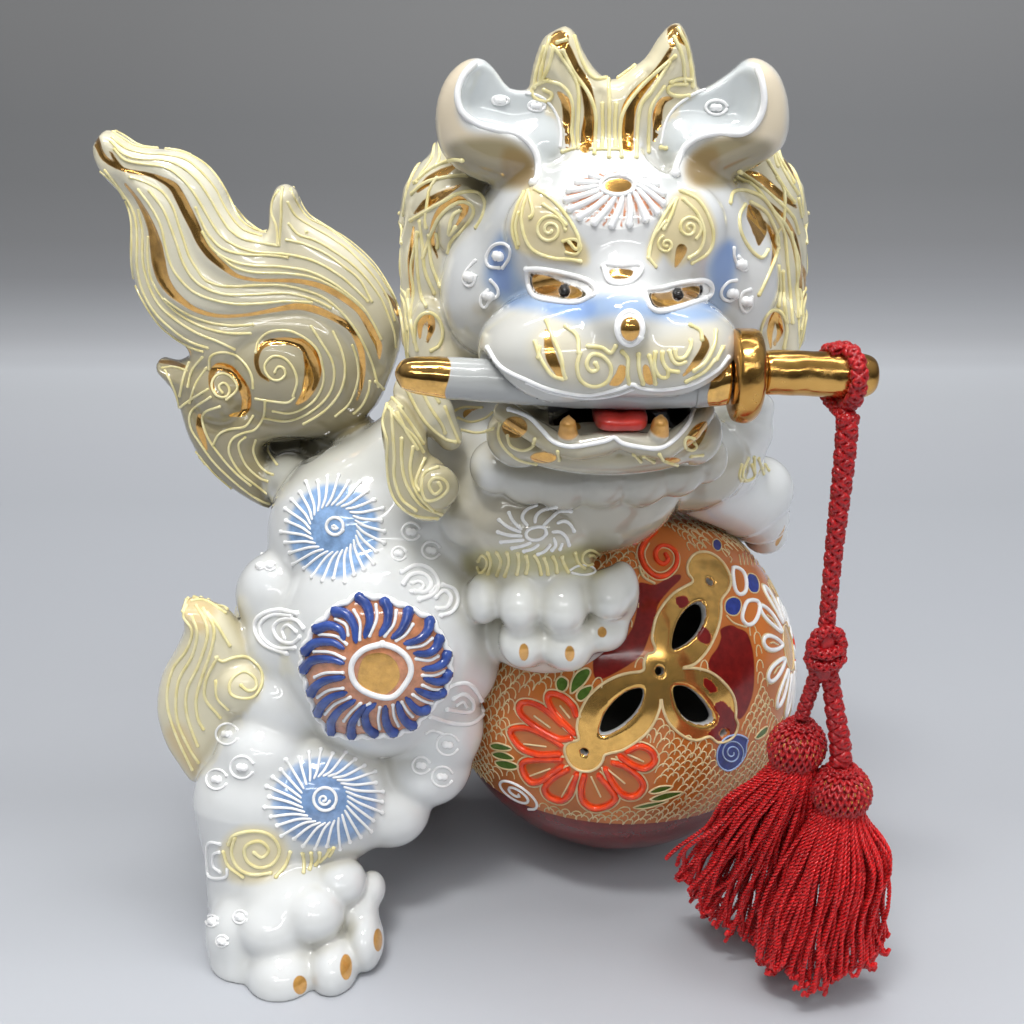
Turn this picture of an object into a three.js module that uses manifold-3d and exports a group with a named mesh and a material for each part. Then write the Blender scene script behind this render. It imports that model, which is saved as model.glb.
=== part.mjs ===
// Guardian lion figurine: a glazed porcelain lion standing with its forepaws on an openwork ball,
// a porcelain sword held in its mouth, and a doubled red cord with two tassels looped on the hilt.
// Units are millimetres, +Z is up, the origin is on the resting plane under the middle of the figure.
// +X is the side that the lion walks towards (viewer's right), -Y is the side that its face looks to.
// "right" and "left" in the names are the lion's own sides: its right flank faces -Y.
import * as THREE from "three";
import { mergeVertices } from "three/addons/utils/BufferGeometryUtils.js";
import Module from "manifold-3d";

const wasm = await Module();
wasm.setup();

// ---- driving dimensions ----
const GAP = 0.35; // clearance between neighbouring pieces
const BALL_CENTRE = [52.6, 19, 65]; // centre of the ball, its base cut flat by the resting plane
const BALL_RADIUS = 65.5;
const BALL_RADIUS_Z = 66.7;
const BALL_WALL = 4.6; // cast wall of the ball
const LEAF_LENGTH = 18; // openings in the ball, pointed ovals
const LEAF_WIDTH = 8;
const SWORD_Y = -67; // sword axis, parallel to X
const SWORD_Z = 199.6;
const GUARD_RADIUS = 13.2;
const HILT_RADIUS = 6.2;
const HILT_START = 82.4;
const HILT_END = 113.0;
const CORD_X = 103.6; // where the cord hangs
const CORD_RADIUS = 2.6;
const LOOP_OUTER = 10.4;
const LOOP_WIDTH = 10.6;
const KNOT_Z = 118;
const FLOOR_CLEAR = 0.6; // thread ends stay this far above the resting plane

// ---- shape tables ----
// 'e' x, y, z, rx, ry, rz, turn about Y in degrees : rounded lump (capital letter: cut away)
// 't' [x, y, z, r], ... : tapering rounded limb through the stations
// 's' y, half thickness, [[x, z], ...] : flat flame cut to an outline
const SHAPES = {
  torso: [
    ['e', -41, -4, 131, 36, 33, 37],
    ['e', -1, 0, 140, 44, 31, 38],
    ['e', 37, 2, 155, 38, 33, 42],
    ['e', 10.7, -22, 146.6, 20, 18, 20],
    ['e', 72.7, -8, 145.2, 19, 18, 20],
    ['t', [41.8, -15, 154.5, 34], [45, -8, 199.4, 38]]
  ],
  hind_leg_right: [
    ['e', -30, -27, 103, 36, 30, 36],
    ['e', -58.7, -22, 96.4, 20, 18, 20],
    ['e', -64, -28, 76.8, 17, 17, 17],
    ['e', -69.9, -38, 61.4, 16, 16, 16],
    ['e', -11.6, -28, 67.2, 15, 16, 18],
    ['e', -6.2, -26, 90.9, 15, 16, 18],
    ['e', -16.9, -30, 54.6, 16, 15, 14],
    ['e', -51.7, -38, 44.7, 25, 21, 24],
    ['e', -28.8, -36, 40.6, 14, 14, 13],
    ['t', [-72.1, -38, 43.9, 23], [-72.6, -43, 23.2, 19.5], [-72.4, -48, -1.8, 21]],
    ['e', -59, -51, 17, 25, 25, 18],
    ['e', -70.5, -60, 7.8, 15, 14, 15],
    ['e', -55.9, -66, 22.4, 12.5, 12.5, 12.5],
    ['e', -41.7, -62, 24.1, 12, 12, 12],
    ['e', -58.6, -76, 4.9, 12, 12, 12],
    ['e', -44.7, -76, 10.8, 11.5, 11.5, 11.5],
    ['e', -35.7, -69, 15, 11, 11, 11]
  ],
  hind_leg_left: [
    ['e', -37, 24, 100, 33, 26, 35],
    ['e', -49, 30, 56, 23, 20, 26],
    ['t', [-53, 30, 60, 19], [-55, 32, 30, 17], [-53, 34, 15, 16]],
    ['e', -47, 36, 14, 25, 22, 15],
    ['e', -23, 37, 10.5, 11, 11, 11]
  ],
  thigh_tuft_right: [
    ['s', -29, 9, [[-95, 113.2], [-90.6, 114.3], [-85.5, 112.5], [-81.1, 109.9], [-77, 104.1], [-72.6, 96.1], [-68.9, 86.8], [-69.5, 77.3], [-74.3, 71.6], [-81.3, 68.9], [-88.5, 63.8], [-96.3, 49.3], [-101.9, 56], [-105.5, 65], [-106.8, 76.6], [-104, 87.9], [-98.8, 96.8], [-95, 105.2]]],
    ['e', -77, -33, 84, 9, 8, 9]
  ],
  foreleg_right: [
    ['t', [10.7, -16, 154.8, 21], [17.2, -26, 137.7, 18], [24.7, -30, 123.6, 15]],
    ['e', 20.3, -32, 138.3, 19, 15, 16],
    ['e', 25, -28, 102, 26, 20, 15],
    ['e', 17.1, -46, 119.5, 12, 12, 12],
    ['e', 31.8, -46, 119.5, 12, 12, 12]
  ],
  foreleg_left: [
    ['t', [74.7, 5, 140.7, 22], [95.6, 20, 124, 18]],
    ['e', 104.8, 24, 134.2, 13, 13, 14],
    ['e', 107.7, 28, 119.1, 13, 14, 12],
    ['e', 95, 24, 116.7, 12, 12, 10],
    ['e', 113.2, 38, 106, 12, 14, 11]
  ],
  ball: [
    ['e', 52.6, 19, 65, 65.5, 65.5, 66.7]
  ],
  head: [
    ['e', 43.4, -20, 226.4, 43, 36, 38],
    ['e', 42.5, -28, 237.7, 38, 30, 30],
    ['e', 4.1, -34, 218.1, 14, 16, 20],
    ['e', 79, -32, 220.8, 14, 16, 20],
    ['e', 40.3, -54, 204.5, 37, 24, 18.5],
    ['e', 26.3, -63, 203.7, 22, 17, 14],
    ['e', 54.5, -63, 205.1, 21, 17, 14],
    ['e', 23.9, -50, 235.6, 12.5, 11, 12.5, -25],
    ['e', 60.3, -50, 235.6, 11.5, 11, 12.5, 22],
    ['T', [-32, -66.5, 199, 8.3], [42, -66.5, 196.5, 8.5], [118, -66.5, 198, 8.3]],
    ['E', 43, -70, 187.5, 27, 20, 5.2]
  ],
  mane_left: [
    ['e', -6, -12, 238.9, 17, 17, 17],
    ['e', -10.4, -10, 221.9, 14, 17, 20],
    ['e', -12.9, -12, 203.4, 13, 16, 18],
    ['e', 0.2, -10, 249.1, 14, 15, 14],
    ['e', -9.7, -16, 194.6, 13, 15, 14]
  ],
  mane_right: [
    ['e', 89.6, -12, 238.9, 15, 17, 17],
    ['e', 94.3, -10, 221.9, 13, 17, 20],
    ['e', 96.2, -12, 203.4, 12, 16, 18],
    ['e', 84.1, -10, 249.1, 14, 15, 13]
  ],
  mane_back: [
    ['e', 42, 12, 238, 38, 20, 24],
    ['e', 42, 20, 205, 44, 22, 30],
    ['e', 23, 24, 172, 34, 20, 28]
  ],
  crest: [
    ['s', -32, 8.5, [[18.7, 256.4], [17.5, 265.1], [17.8, 272.6], [18.9, 279.2], [21.3, 285.8], [24.4, 288.1], [28, 289.4], [30.8, 287.3], [32.8, 283.2], [35.4, 279.2], [38.6, 276.3], [41.9, 275.5], [45.5, 277.9], [50.2, 281.1], [53.6, 286.3], [56.8, 289.7], [59.5, 289.9], [61.9, 286.3], [63.9, 280], [65.1, 272.6], [65.2, 265.1], [64, 256.4], [55.5, 252.2], [26.8, 252.2]]]
  ],
  ear_left: [
    ['e', 6.8, -34, 265.2, 17, 10, 17, -20],
    ['t', [21, -30, 259, 12], [18.2, -32, 249.4, 10]],
    ['E', 8.9, -44, 270.3, 13, 8, 10, 15]
  ],
  ear_right: [
    ['e', 76, -34, 265.2, 17, 10, 17, 20],
    ['t', [61.2, -30, 259, 12], [64.3, -32, 249.4, 10]],
    ['E', 71.8, -44, 270.3, 13, 8, 10, -15]
  ],
  lower_jaw: [
    ['e', 40.7, -50, 176.1, 31, 22, 9.5],
    ['e', 15.4, -48, 176.2, 11, 12, 10],
    ['e', 65.7, -48, 176.2, 10, 12, 10],
    ['e', 33.4, -50, 159.6, 11, 11, 11],
    ['e', 46.8, -50, 159.6, 11, 11, 11]
  ],
  shoulder_lock: [
    ['s', -40, 8, [[-25.2, 183.2], [-20.6, 186.3], [-13.1, 184.7], [-5.7, 178.5], [-2.2, 169.1], [-3.6, 159.4], [-5.6, 151.3], [-9.4, 146.3], [-14, 149], [-21.6, 152.9], [-25, 162.7], [-26.1, 173.8]]]
  ],
  tail: [
    ['s', 12, 10, [[-119.7, 256.6], [-116.4, 259.7], [-111.7, 256.6], [-103, 254.1], [-93.4, 253.2], [-86.4, 249.5], [-81.4, 243.6], [-78.1, 236.3], [-73.9, 230.9], [-68.9, 228], [-66.1, 230.9], [-64.6, 237.9], [-61.1, 242.6], [-57.6, 241.4], [-55.6, 236.6], [-54.5, 233.5], [-49.1, 229.9], [-41.5, 225.1], [-33.6, 217.9], [-28.9, 211.4], [-25.4, 203.7], [-23.6, 196.9], [-24.9, 188.4], [-29.3, 178.7], [-33.8, 169.6], [-39.5, 163.9], [-48, 159.5], [-59.9, 156.7], [-66.8, 152.3], [-69.9, 142], [-72.6, 133.4], [-82.9, 138.3], [-92.7, 147.5], [-98.4, 158.1], [-100.8, 169.2], [-102.3, 175.9], [-106.6, 180.4], [-106.4, 185.7], [-97.6, 185.7], [-94.6, 188.8], [-101.5, 194.6], [-107.9, 202], [-111.3, 210.7], [-112.5, 221.2], [-111.2, 230.9], [-112.1, 237.9], [-116.6, 243.6], [-119.9, 248.9], [-121, 253.5]]],
    ['t', [-49.9, 10, 157.3, 12], [-39.4, 5, 148, 14]]
  ],
  scabbard: [
    ['t', [-14, -67, 199, 5], [-4.1, -67, 198.1, 6], [26.3, -67, 196.1, 6.3], [48.4, -67, 195.3, 6.1], [71.1, -67, 195.6, 5.6]]
  ],
  sword_guard: [
    ['e', 79.2, -67, 197.6, 3.8, 12.8, 13.4]
  ],
  sword_hilt: [
    ['t', [83.6, -67, 197.8, 6.3], [110, -67, 199, 6.1]]
  ],
  tongue: [
    ['e', 43.2, -64, 185.6, 8.6, 16, 3.6]
  ],
  thigh_tuft_left: [
    ['s', 27, 8, [[-97, 113], [-88, 108], [-77, 99], [-70, 88], [-70, 76], [-79, 68], [-90, 60], [-98, 48], [-106, 62], [-109, 80], [-104, 97]]]
  ],
};

// ---- solids from shapes ----
const toSolid = (geometry) => {
  const g = geometry.index ? geometry.toNonIndexed() : geometry.clone();
  g.deleteAttribute("normal");
  g.deleteAttribute("uv");
  const m = mergeVertices(g, 1e-3);
  const index = m.index.array;
  const keep = [];
  for (let i = 0; i < index.length; i += 3)
    if (index[i] !== index[i + 1] && index[i + 1] !== index[i + 2] && index[i] !== index[i + 2])
      keep.push(index[i], index[i + 1], index[i + 2]);
  return new wasm.Manifold(
    new wasm.Mesh({
      numProp: 3,
      vertProperties: m.attributes.position.array,
      triVerts: new Uint32Array(keep),
    }),
  );
};

const segmentsFor = (r) => (r < 9 ? [6, 4] : r < 15 ? [7, 5] : r < 27 ? [9, 6] : [12, 8]);

function lump(x, y, z, rx, ry, rz, turn = 0) {
  const [w, h] = segmentsFor(Math.max(rx, ry, rz));
  const g = new THREE.SphereGeometry(1, w, h);
  g.rotateX(Math.PI / 2); // poles along Z
  g.scale(rx, ry, rz);
  if (turn) g.rotateY(THREE.MathUtils.degToRad(turn));
  g.translate(x, y, z);
  return toSolid(g);
}

// one tapering length with round ends
function limbLength(a, b) {
  const A = new THREE.Vector3(...a), B = new THREE.Vector3(...b);
  const length = A.distanceTo(B), ra = a[3], rb = b[3];
  const arc = Math.max(ra, rb) > 10 ? 3 : 2;
  const profile = [];
  for (let i = 0; i <= arc; i++) {
    const t = (Math.PI / 2) * (i / arc);
    profile.push(new THREE.Vector2(i ? ra * Math.sin(t) : 0, -ra * Math.cos(t)));
  }
  for (let i = 0; i <= arc; i++) {
    const t = (Math.PI / 2) * (i / arc);
    profile.push(new THREE.Vector2(i < arc ? rb * Math.cos(t) : 0, length + rb * Math.sin(t)));
  }
  const g = new THREE.LatheGeometry(profile, Math.max(ra, rb) > 10 ? 10 : 8);
  const turn = new THREE.Quaternion().setFromUnitVectors(
    new THREE.Vector3(0, 1, 0), B.clone().sub(A).normalize());
  g.applyQuaternion(turn);
  g.translate(A.x, A.y, A.z);
  return toSolid(g);
}

function limb(stations) {
  let made = null;
  for (let i = 0; i + 1 < stations.length; i++) {
    const s = limbLength([...stations[i].slice(0, 3), stations[i][3]], stations[i + 1]);
    made = made ? made.add(s) : s;
  }
  return made;
}

function flame(y, half, outline, grow = 0) {
  const bevel = 2.2;
  const shape = new THREE.Shape(outline.map(([x, z]) => new THREE.Vector2(x, z)));
  const g = new THREE.ExtrudeGeometry(shape, {
    depth: 2 * (half + grow - bevel),
    bevelEnabled: true,
    bevelThickness: bevel,
    bevelSize: bevel,
    bevelOffset: grow - bevel,
    bevelSegments: 1,
    steps: 1,
  });
  g.rotateX(Math.PI / 2);
  g.translate(0, y + half + grow - bevel, 0);
  return toSolid(g);
}

const union = (list) => list.reduce((a, b) => (a ? a.add(b) : b), null);

// grow > 0 makes the shape fatter all round, which leaves the clearance when it is cut from a neighbour
function fromTable(rows, grow = 0) {
  let made = null;
  for (const row of rows) {
    const cut = row[0] === "E" || row[0] === "T";
    const g = cut ? -grow : grow;
    let s;
    if (row[0] === "e" || row[0] === "E")
      s = lump(row[1], row[2], row[3], row[4] + g, row[5] + g, row[6] + g, row[7] || 0);
    else if (row[0] === "t" || row[0] === "T")
      s = limb(row.slice(1).map((p) => [p[0], p[1], p[2], p[3] + g]));
    else s = flame(row[1], row[2], row[3], g);
    if (!made) made = s;
    else made = cut ? made.subtract(s) : made.add(s);
  }
  return made;
}

const boxSolid = (x0, y0, z0, x1, y1, z1) => {
  const g = new THREE.BoxGeometry(x1 - x0, y1 - y0, z1 - z0);
  g.translate((x0 + x1) / 2, (y0 + y1) / 2, (z0 + z1) / 2);
  return toSolid(g);
};
const underFloor = boxSolid(-300, -300, -200, 300, 300, 0);

// ---- the ball: a thin shell with pointed-oval openings arranged in a three-leaf rosette ----
// direction from the ball's centre for a point given by its turn to +X and its lift, both in degrees, from -Y
const ballDirection = (turn, lift) => {
  const t = THREE.MathUtils.degToRad(turn), l = THREE.MathUtils.degToRad(lift);
  return new THREE.Vector3(Math.sin(t) * Math.cos(l), -Math.cos(t) * Math.cos(l), Math.sin(l));
};
const ROSETTE = [
  { tip: [32.2, 44.1], root: [14.5, 32.8] },
  { tip: [-9.6, 7.2], root: [3.4, 20.7] },
  { tip: [23.5, 9.1], root: [12.8, 21.0] },
];
function radialCut(from, towards, length, width, inner, outer) {
  const n = from.clone().normalize();
  const along = towards.clone().sub(n.clone().multiplyScalar(towards.dot(n))).normalize();
  const side = new THREE.Vector3().crossVectors(n, along);
  const outline = [];
  const steps = 8;
  for (let i = 0; i < steps; i++) {
    const t = (2 * Math.PI * i) / steps;
    outline.push(new THREE.Vector2((length / 2) * Math.cos(t), (width / 2) * Math.sin(t) * (0.75 + 0.25 * Math.abs(Math.sin(t)))));
  }
  const g = new THREE.ExtrudeGeometry(new THREE.Shape(outline), { depth: outer - inner, bevelEnabled: false });
  const m = new THREE.Matrix4().makeBasis(along, side, n);
  g.translate(0, 0, inner);
  g.applyMatrix4(m);
  g.translate(...BALL_CENTRE);
  return toSolid(g);
}
const shell = (r, rz) => {
  const g = new THREE.SphereGeometry(1, 20, 14);
  g.rotateX(Math.PI / 2);
  g.scale(r, r, rz);
  g.translate(...BALL_CENTRE);
  return toSolid(g);
};
function ballShell() {
  let made = shell(BALL_RADIUS, BALL_RADIUS_Z).subtract(
    shell(BALL_RADIUS - BALL_WALL, BALL_RADIUS_Z - BALL_WALL));
  for (const leaf of ROSETTE) {
    const a = ballDirection(...leaf.tip), b = ballDirection(...leaf.root);
    made = made.subtract(
      radialCut(a.clone().add(b), a.clone().sub(b), LEAF_LENGTH, LEAF_WIDTH, BALL_RADIUS - 9, BALL_RADIUS + 4));
  }
  return made;
}

// ---- sword fittings and cord ----
const alongX = (g, x, y, z) => {
  g.rotateZ(-Math.PI / 2); // lathe axis onto +X
  g.translate(x, y, z);
  return toSolid(g);
};
const V2 = (x, y) => new THREE.Vector2(x, y);

const guard = alongX(new THREE.LatheGeometry([
  V2(0, -4.6), V2(9.6, -4.4), V2(12.4, -3.2), V2(GUARD_RADIUS, 0), V2(12.4, 3.2), V2(9.2, 4.4), V2(0, 4.6)], 20),
  HILT_START - 5.0, SWORD_Y, SWORD_Z);
const collar = alongX(new THREE.LatheGeometry([
  V2(0, -13), V2(6.4, -13), V2(6.9, -11), V2(6.9, -5.6), V2(6.2, -4.95), V2(0, -4.95)], 16),
  HILT_START - 5.0, SWORD_Y, SWORD_Z - 0.6);
const hilt = alongX(new THREE.LatheGeometry([
  V2(0, 0), V2(HILT_RADIUS, 0), V2(HILT_RADIUS + 0.2, 6), V2(HILT_RADIUS, HILT_END - HILT_START - 3),
  V2(4.6, HILT_END - HILT_START - 0.6), V2(0, HILT_END - HILT_START)], 16),
  HILT_START, SWORD_Y, SWORD_Z);

const loopInner = HILT_RADIUS + 0.2 + GAP;
const loop = alongX(new THREE.LatheGeometry([
  V2(loopInner, -LOOP_WIDTH / 2), V2(LOOP_OUTER - 1.4, -LOOP_WIDTH / 2), V2(LOOP_OUTER, -LOOP_WIDTH / 2 + 1.6),
  V2(LOOP_OUTER, LOOP_WIDTH / 2 - 1.6), V2(LOOP_OUTER - 1.4, LOOP_WIDTH / 2), V2(loopInner, LOOP_WIDTH / 2),
  V2(loopInner, -LOOP_WIDTH / 2)], 20), CORD_X, SWORD_Y, SWORD_Z);

function cordTube(points, radius, sides, steps) {
  const section = new THREE.Shape();
  for (let i = 0; i < sides; i++) {
    const t = (2 * Math.PI * i) / sides;
    if (i) section.lineTo(radius * Math.cos(t), radius * Math.sin(t));
    else section.moveTo(radius, 0);
  }
  const path = new THREE.CatmullRomCurve3(points.map((p) => new THREE.Vector3(...p)));
  return toSolid(new THREE.ExtrudeGeometry(section, { steps, bevelEnabled: false, extrudePath: path }));
}
const CORD_ROUTE = [
  [CORD_X, SWORD_Y - 5.2, SWORD_Z - LOOP_OUTER - GAP], [CORD_X + 0.2, SWORD_Y - 6.6, 172],
  [CORD_X + 0.3, SWORD_Y - 7.4, 150], [CORD_X + 0.4, SWORD_Y - 8, 127.6]];
const stem = cordTube(CORD_ROUTE, CORD_RADIUS, 8, 8);
const knot = lump(CORD_X + 0.5, SWORD_Y - 8.4, KNOT_Z, 6, 5.2, 9.2);
const branchLeft = cordTube([[CORD_X - 1.2, SWORD_Y - 7.8, 108.4], [CORD_X - 2.6, SWORD_Y - 6.6, 101], [CORD_X - 3.6, SWORD_Y - 5.4, 94.4]], 1.9, 8, 4);
const branchRight = cordTube([[CORD_X + 2.8, SWORD_Y - 9, 108.4], [CORD_X + 5.6, SWORD_Y - 10.2, 96], [CORD_X + 7.6, SWORD_Y - 10.9, 82.6]], 2.4, 8, 4);
const HEAD_LEFT = [99.4, -72, 85];
const HEAD_RIGHT = [112.2, -78.6, 73.6];
const headLeft = lump(...HEAD_LEFT, 9.01, 8.4, 8.8);
const headRight = lump(...HEAD_RIGHT, 9.2, 8.8, 8.6);

// a bundle of threads: narrow at the head, spread at the end, its end held clear of the resting plane
function skirt(top, bottom, rTop, rBottom, squash) {
  const A = new THREE.Vector3(...top), B = new THREE.Vector3(...bottom);
  const length = A.distanceTo(B);
  const g = new THREE.LatheGeometry([V2(0, 0), V2(rTop, 0), V2(rTop + 0.3 * (rBottom - rTop), length * 0.25),
    V2(rTop + 0.72 * (rBottom - rTop), length * 0.6), V2(rBottom, length), V2(0, length)], 18);
  g.scale(1, 1, squash);
  g.applyQuaternion(new THREE.Quaternion().setFromUnitVectors(new THREE.Vector3(0, 1, 0), B.clone().sub(A).normalize()));
  g.translate(A.x, A.y, A.z);
  return toSolid(g);
}
const nearFloor = boxSolid(-300, -300, -200, 300, 300, FLOOR_CLEAR);
const skirtLeft = skirt([98.4, -71.4, 79], [86.4, -56.5, -3], 7, 17.5, 0.86).subtract(nearFloor);
const skirtRight = skirt([112.4, -78.8, 66], [113.6, -80.5, -3], 7.2, 18, 0.86).subtract(nearFloor);

// ---- the pieces, in the order in which each keeps its shape and the next ones are cut to clear it ----
const grown = {}, pieces = {};
const largest = (s) => {
  const bodies = s.decompose();
  return bodies.reduce((a, b) => (b.volume() > a.volume() ? b : a));
};
function piece(name, solid, fat, clears) {
  let s = solid;
  for (const other of clears) s = s.subtract(grown[other]);
  s = s.subtract(underFloor);
  pieces[name] = largest(s);
  grown[name] = fat;
}
const table = (name, ...clears) => piece(name, fromTable(SHAPES[name]), fromTable(SHAPES[name], GAP), clears);
const ballFat = shell(BALL_RADIUS + GAP, BALL_RADIUS_Z + GAP);
// the way along which the sword's fittings leave the corner of the mouth
const fittingsWay = alongX(new THREE.LatheGeometry([V2(0, -16.5), V2(7.7, -16.5), V2(7.7, -5.2),
  V2(GUARD_RADIUS + 0.6, -5.2), V2(GUARD_RADIUS + 0.6, 60), V2(0, 60)], 20), HILT_START - 5.0, SWORD_Y, SWORD_Z);

piece("ball", ballShell(), ballFat, []);
piece("head", fromTable(SHAPES.head).subtract(fittingsWay), fromTable(SHAPES.head, GAP), []);
table("torso", "ball", "head");
table("lower_jaw", "head", "torso");
table("tongue", "head", "torso", "lower_jaw");
table("hind_leg_right", "ball", "torso");
table("hind_leg_left", "ball", "torso", "hind_leg_right");
table("foreleg_right", "ball", "torso", "lower_jaw", "hind_leg_right");
table("foreleg_left", "ball", "torso", "lower_jaw");
table("tail", "torso", "hind_leg_right", "hind_leg_left");
table("ear_left", "head");
table("ear_right", "head");
table("crest", "head", "ear_left", "ear_right");
table("mane_left", "head", "torso", "ear_left", "crest", "tail");
table("mane_right", "head", "torso", "ear_right", "crest");
table("mane_back", "head", "torso", "ear_left", "ear_right", "crest", "mane_left", "mane_right", "tail", "ball", "foreleg_left");
table("shoulder_lock", "torso", "head", "foreleg_right", "mane_left", "mane_back", "lower_jaw");
table("thigh_tuft_right", "torso", "hind_leg_right");
table("thigh_tuft_left", "torso", "hind_leg_left", "hind_leg_right");

const rest = { sword_hilt: hilt, sword_guard: guard, sword_collar: collar, scabbard: fromTable(SHAPES.scabbard) };
pieces.sword_hilt = hilt;
pieces.sword_guard = guard;
pieces.sword_collar = collar;
pieces.scabbard = fromTable(SHAPES.scabbard).subtract(
  boxSolid(HILT_START - 18.35, -100, 150, 200, 0, 250));
pieces.cord_loop = loop;
pieces.cord_stem = stem;
pieces.cord_knot = knot;
pieces.cord_branch_left = branchLeft;
pieces.cord_branch_right = branchRight;
pieces.tassel_head_left = headLeft;
pieces.tassel_head_right = headRight;
pieces.tassel_skirt_left = largest(skirtLeft.subtract(lump(...HEAD_LEFT, 9.6, 9.2, 9.6)));
pieces.tassel_skirt_right = largest(skirtRight.subtract(lump(...HEAD_RIGHT, 9.6, 9.2, 9.0)));

// ---- materials ----
const glaze = (color, roughness = 0.18, metalness = 0) =>
  new THREE.MeshStandardMaterial({ color, roughness, metalness });
const WHITE = glaze(0xe6e8e6), CREAM = glaze(0xddd2ac), GOLD = glaze(0xc08a35, 0.22, 1);
const RED_GLAZE = glaze(0x7a1e14, 0.15), TONGUE = glaze(0xc8362e, 0.3), CRIMSON = glaze(0xa80d1c, 0.75);
const MATERIAL = {
  ball: RED_GLAZE, tongue: TONGUE, tail: CREAM, crest: CREAM, mane_left: CREAM, mane_right: CREAM, mane_back: CREAM,
  shoulder_lock: CREAM, thigh_tuft_right: CREAM, thigh_tuft_left: CREAM,
  sword_hilt: GOLD, sword_guard: GOLD, sword_collar: GOLD,
};

// ---- scene graph ----
const lion = new THREE.Group();
const sword = new THREE.Group();
const cord = new THREE.Group();
const OWNER = (name) =>
  name.startsWith("cord_") || name.startsWith("tassel_") ? cord
    : name.startsWith("sword_") || name === "scabbard" ? sword : lion;
for (const [name, solid] of Object.entries(pieces)) {
  const m = solid.getMesh(), n = m.numProp;
  const positions = new Float32Array(m.numVert * 3);
  for (let i = 0; i < m.numVert; i++)
    positions.set(m.vertProperties.subarray(i * n, i * n + 3), i * 3);
  const g = new THREE.BufferGeometry();
  g.setAttribute("position", new THREE.BufferAttribute(positions, 3));
  g.setIndex(new THREE.BufferAttribute(m.triVerts, 1));
  g.computeVertexNormals();
  const owner = OWNER(name);
  const mesh = new THREE.Mesh(g, MATERIAL[name] || (owner === cord ? CRIMSON : WHITE));
  mesh.name = name;
  owner.add(mesh);
}
const figurine = new THREE.Group();
sword.add(cord);
figurine.add(lion, sword);
figurine.position.set(-1.27, 1.3, 0);
export default figurine;
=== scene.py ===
# Guardian lion figurine: looks. Lengths in the sculpting part are millimetres in a working frame whose
# origin is under the camera (x right, y away, z up); make_mesh() carries them to the row frame, in metres.
import bpy, math, time
import numpy as np
from mathutils import Vector, Matrix, Euler


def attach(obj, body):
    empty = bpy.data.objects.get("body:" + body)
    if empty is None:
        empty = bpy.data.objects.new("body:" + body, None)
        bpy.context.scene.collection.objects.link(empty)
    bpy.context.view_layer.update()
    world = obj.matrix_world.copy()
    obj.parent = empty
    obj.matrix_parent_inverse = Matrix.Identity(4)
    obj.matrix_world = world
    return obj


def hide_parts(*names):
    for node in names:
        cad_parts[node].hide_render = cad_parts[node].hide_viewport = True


T0 = time.time()
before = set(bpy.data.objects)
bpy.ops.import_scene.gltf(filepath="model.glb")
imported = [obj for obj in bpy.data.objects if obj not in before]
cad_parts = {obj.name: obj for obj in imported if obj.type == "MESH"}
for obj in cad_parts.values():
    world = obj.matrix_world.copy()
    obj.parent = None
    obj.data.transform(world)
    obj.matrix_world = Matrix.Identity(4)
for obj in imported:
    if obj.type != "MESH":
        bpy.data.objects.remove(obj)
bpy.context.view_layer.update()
OFF = np.array([11.73, -398.7, 0.0])      # working frame to row frame, mm
F = 1236.08                                # focal length in frame pixels
PIT = math.radians(20.0)
CAM_H = 280.0
CO, SI = math.cos(PIT), math.sin(PIT)

# ------------------------------------------------------------------ camera
cam_data = bpy.data.cameras.new("camera")
cam_data.sensor_width = 36.0
cam_data.sensor_height = 36.0
cam_data.sensor_fit = 'AUTO'
cam_data.lens = 36.0 * F / 1024.0
cam_data.clip_start = 0.01
cam_data.clip_end = 20.0
cam = bpy.data.objects.new("camera", cam_data)
bpy.context.scene.collection.objects.link(cam)
cam.location = (OFF[0] / 1000, OFF[1] / 1000, CAM_H / 1000)
cam.rotation_euler = Euler((math.radians(70.0), 0, 0))
bpy.context.scene.camera = cam


def W(px, py, D):
    """the point at distance D whose place in the 1024 frame is (px, py)"""
    v = (512 - py) / F
    u = (px - 512) / F
    k = D / (CO + SI * v)
    return np.array([u * k, D, CAM_H + (-SI + CO * v) * k])

def ray(px, py):
    px = np.asarray(px, float); py = np.asarray(py, float)
    v = (512 - py) / F
    u = (px - 512) / F
    d = np.stack([u, CO + SI * v, -SI + CO * v], -1)
    return d / np.linalg.norm(d, axis=-1, keepdims=True)

def proj(P):
    x = P[..., 0]; y = P[..., 1]; z = P[..., 2] - CAM_H
    t = y * CO - z * SI
    up = y * SI + z * CO
    return 512 + F * x / t, 512 - F * up / t, t

def rot(ax, ay, az):
    ax, ay, az = map(math.radians, (ax, ay, az))
    cx, sx, cy, sy, cz, sz = math.cos(ax), math.sin(ax), math.cos(ay), math.sin(ay), math.cos(az), math.sin(az)
    Rx = np.array([[1, 0, 0], [0, cx, -sx], [0, sx, cx]])
    Ry = np.array([[cy, 0, sy], [0, 1, 0], [-sy, 0, cy]])
    Rz = np.array([[cz, -sz, 0], [sz, cz, 0], [0, 0, 1]])
    return Rz @ Ry @ Rx

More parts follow.
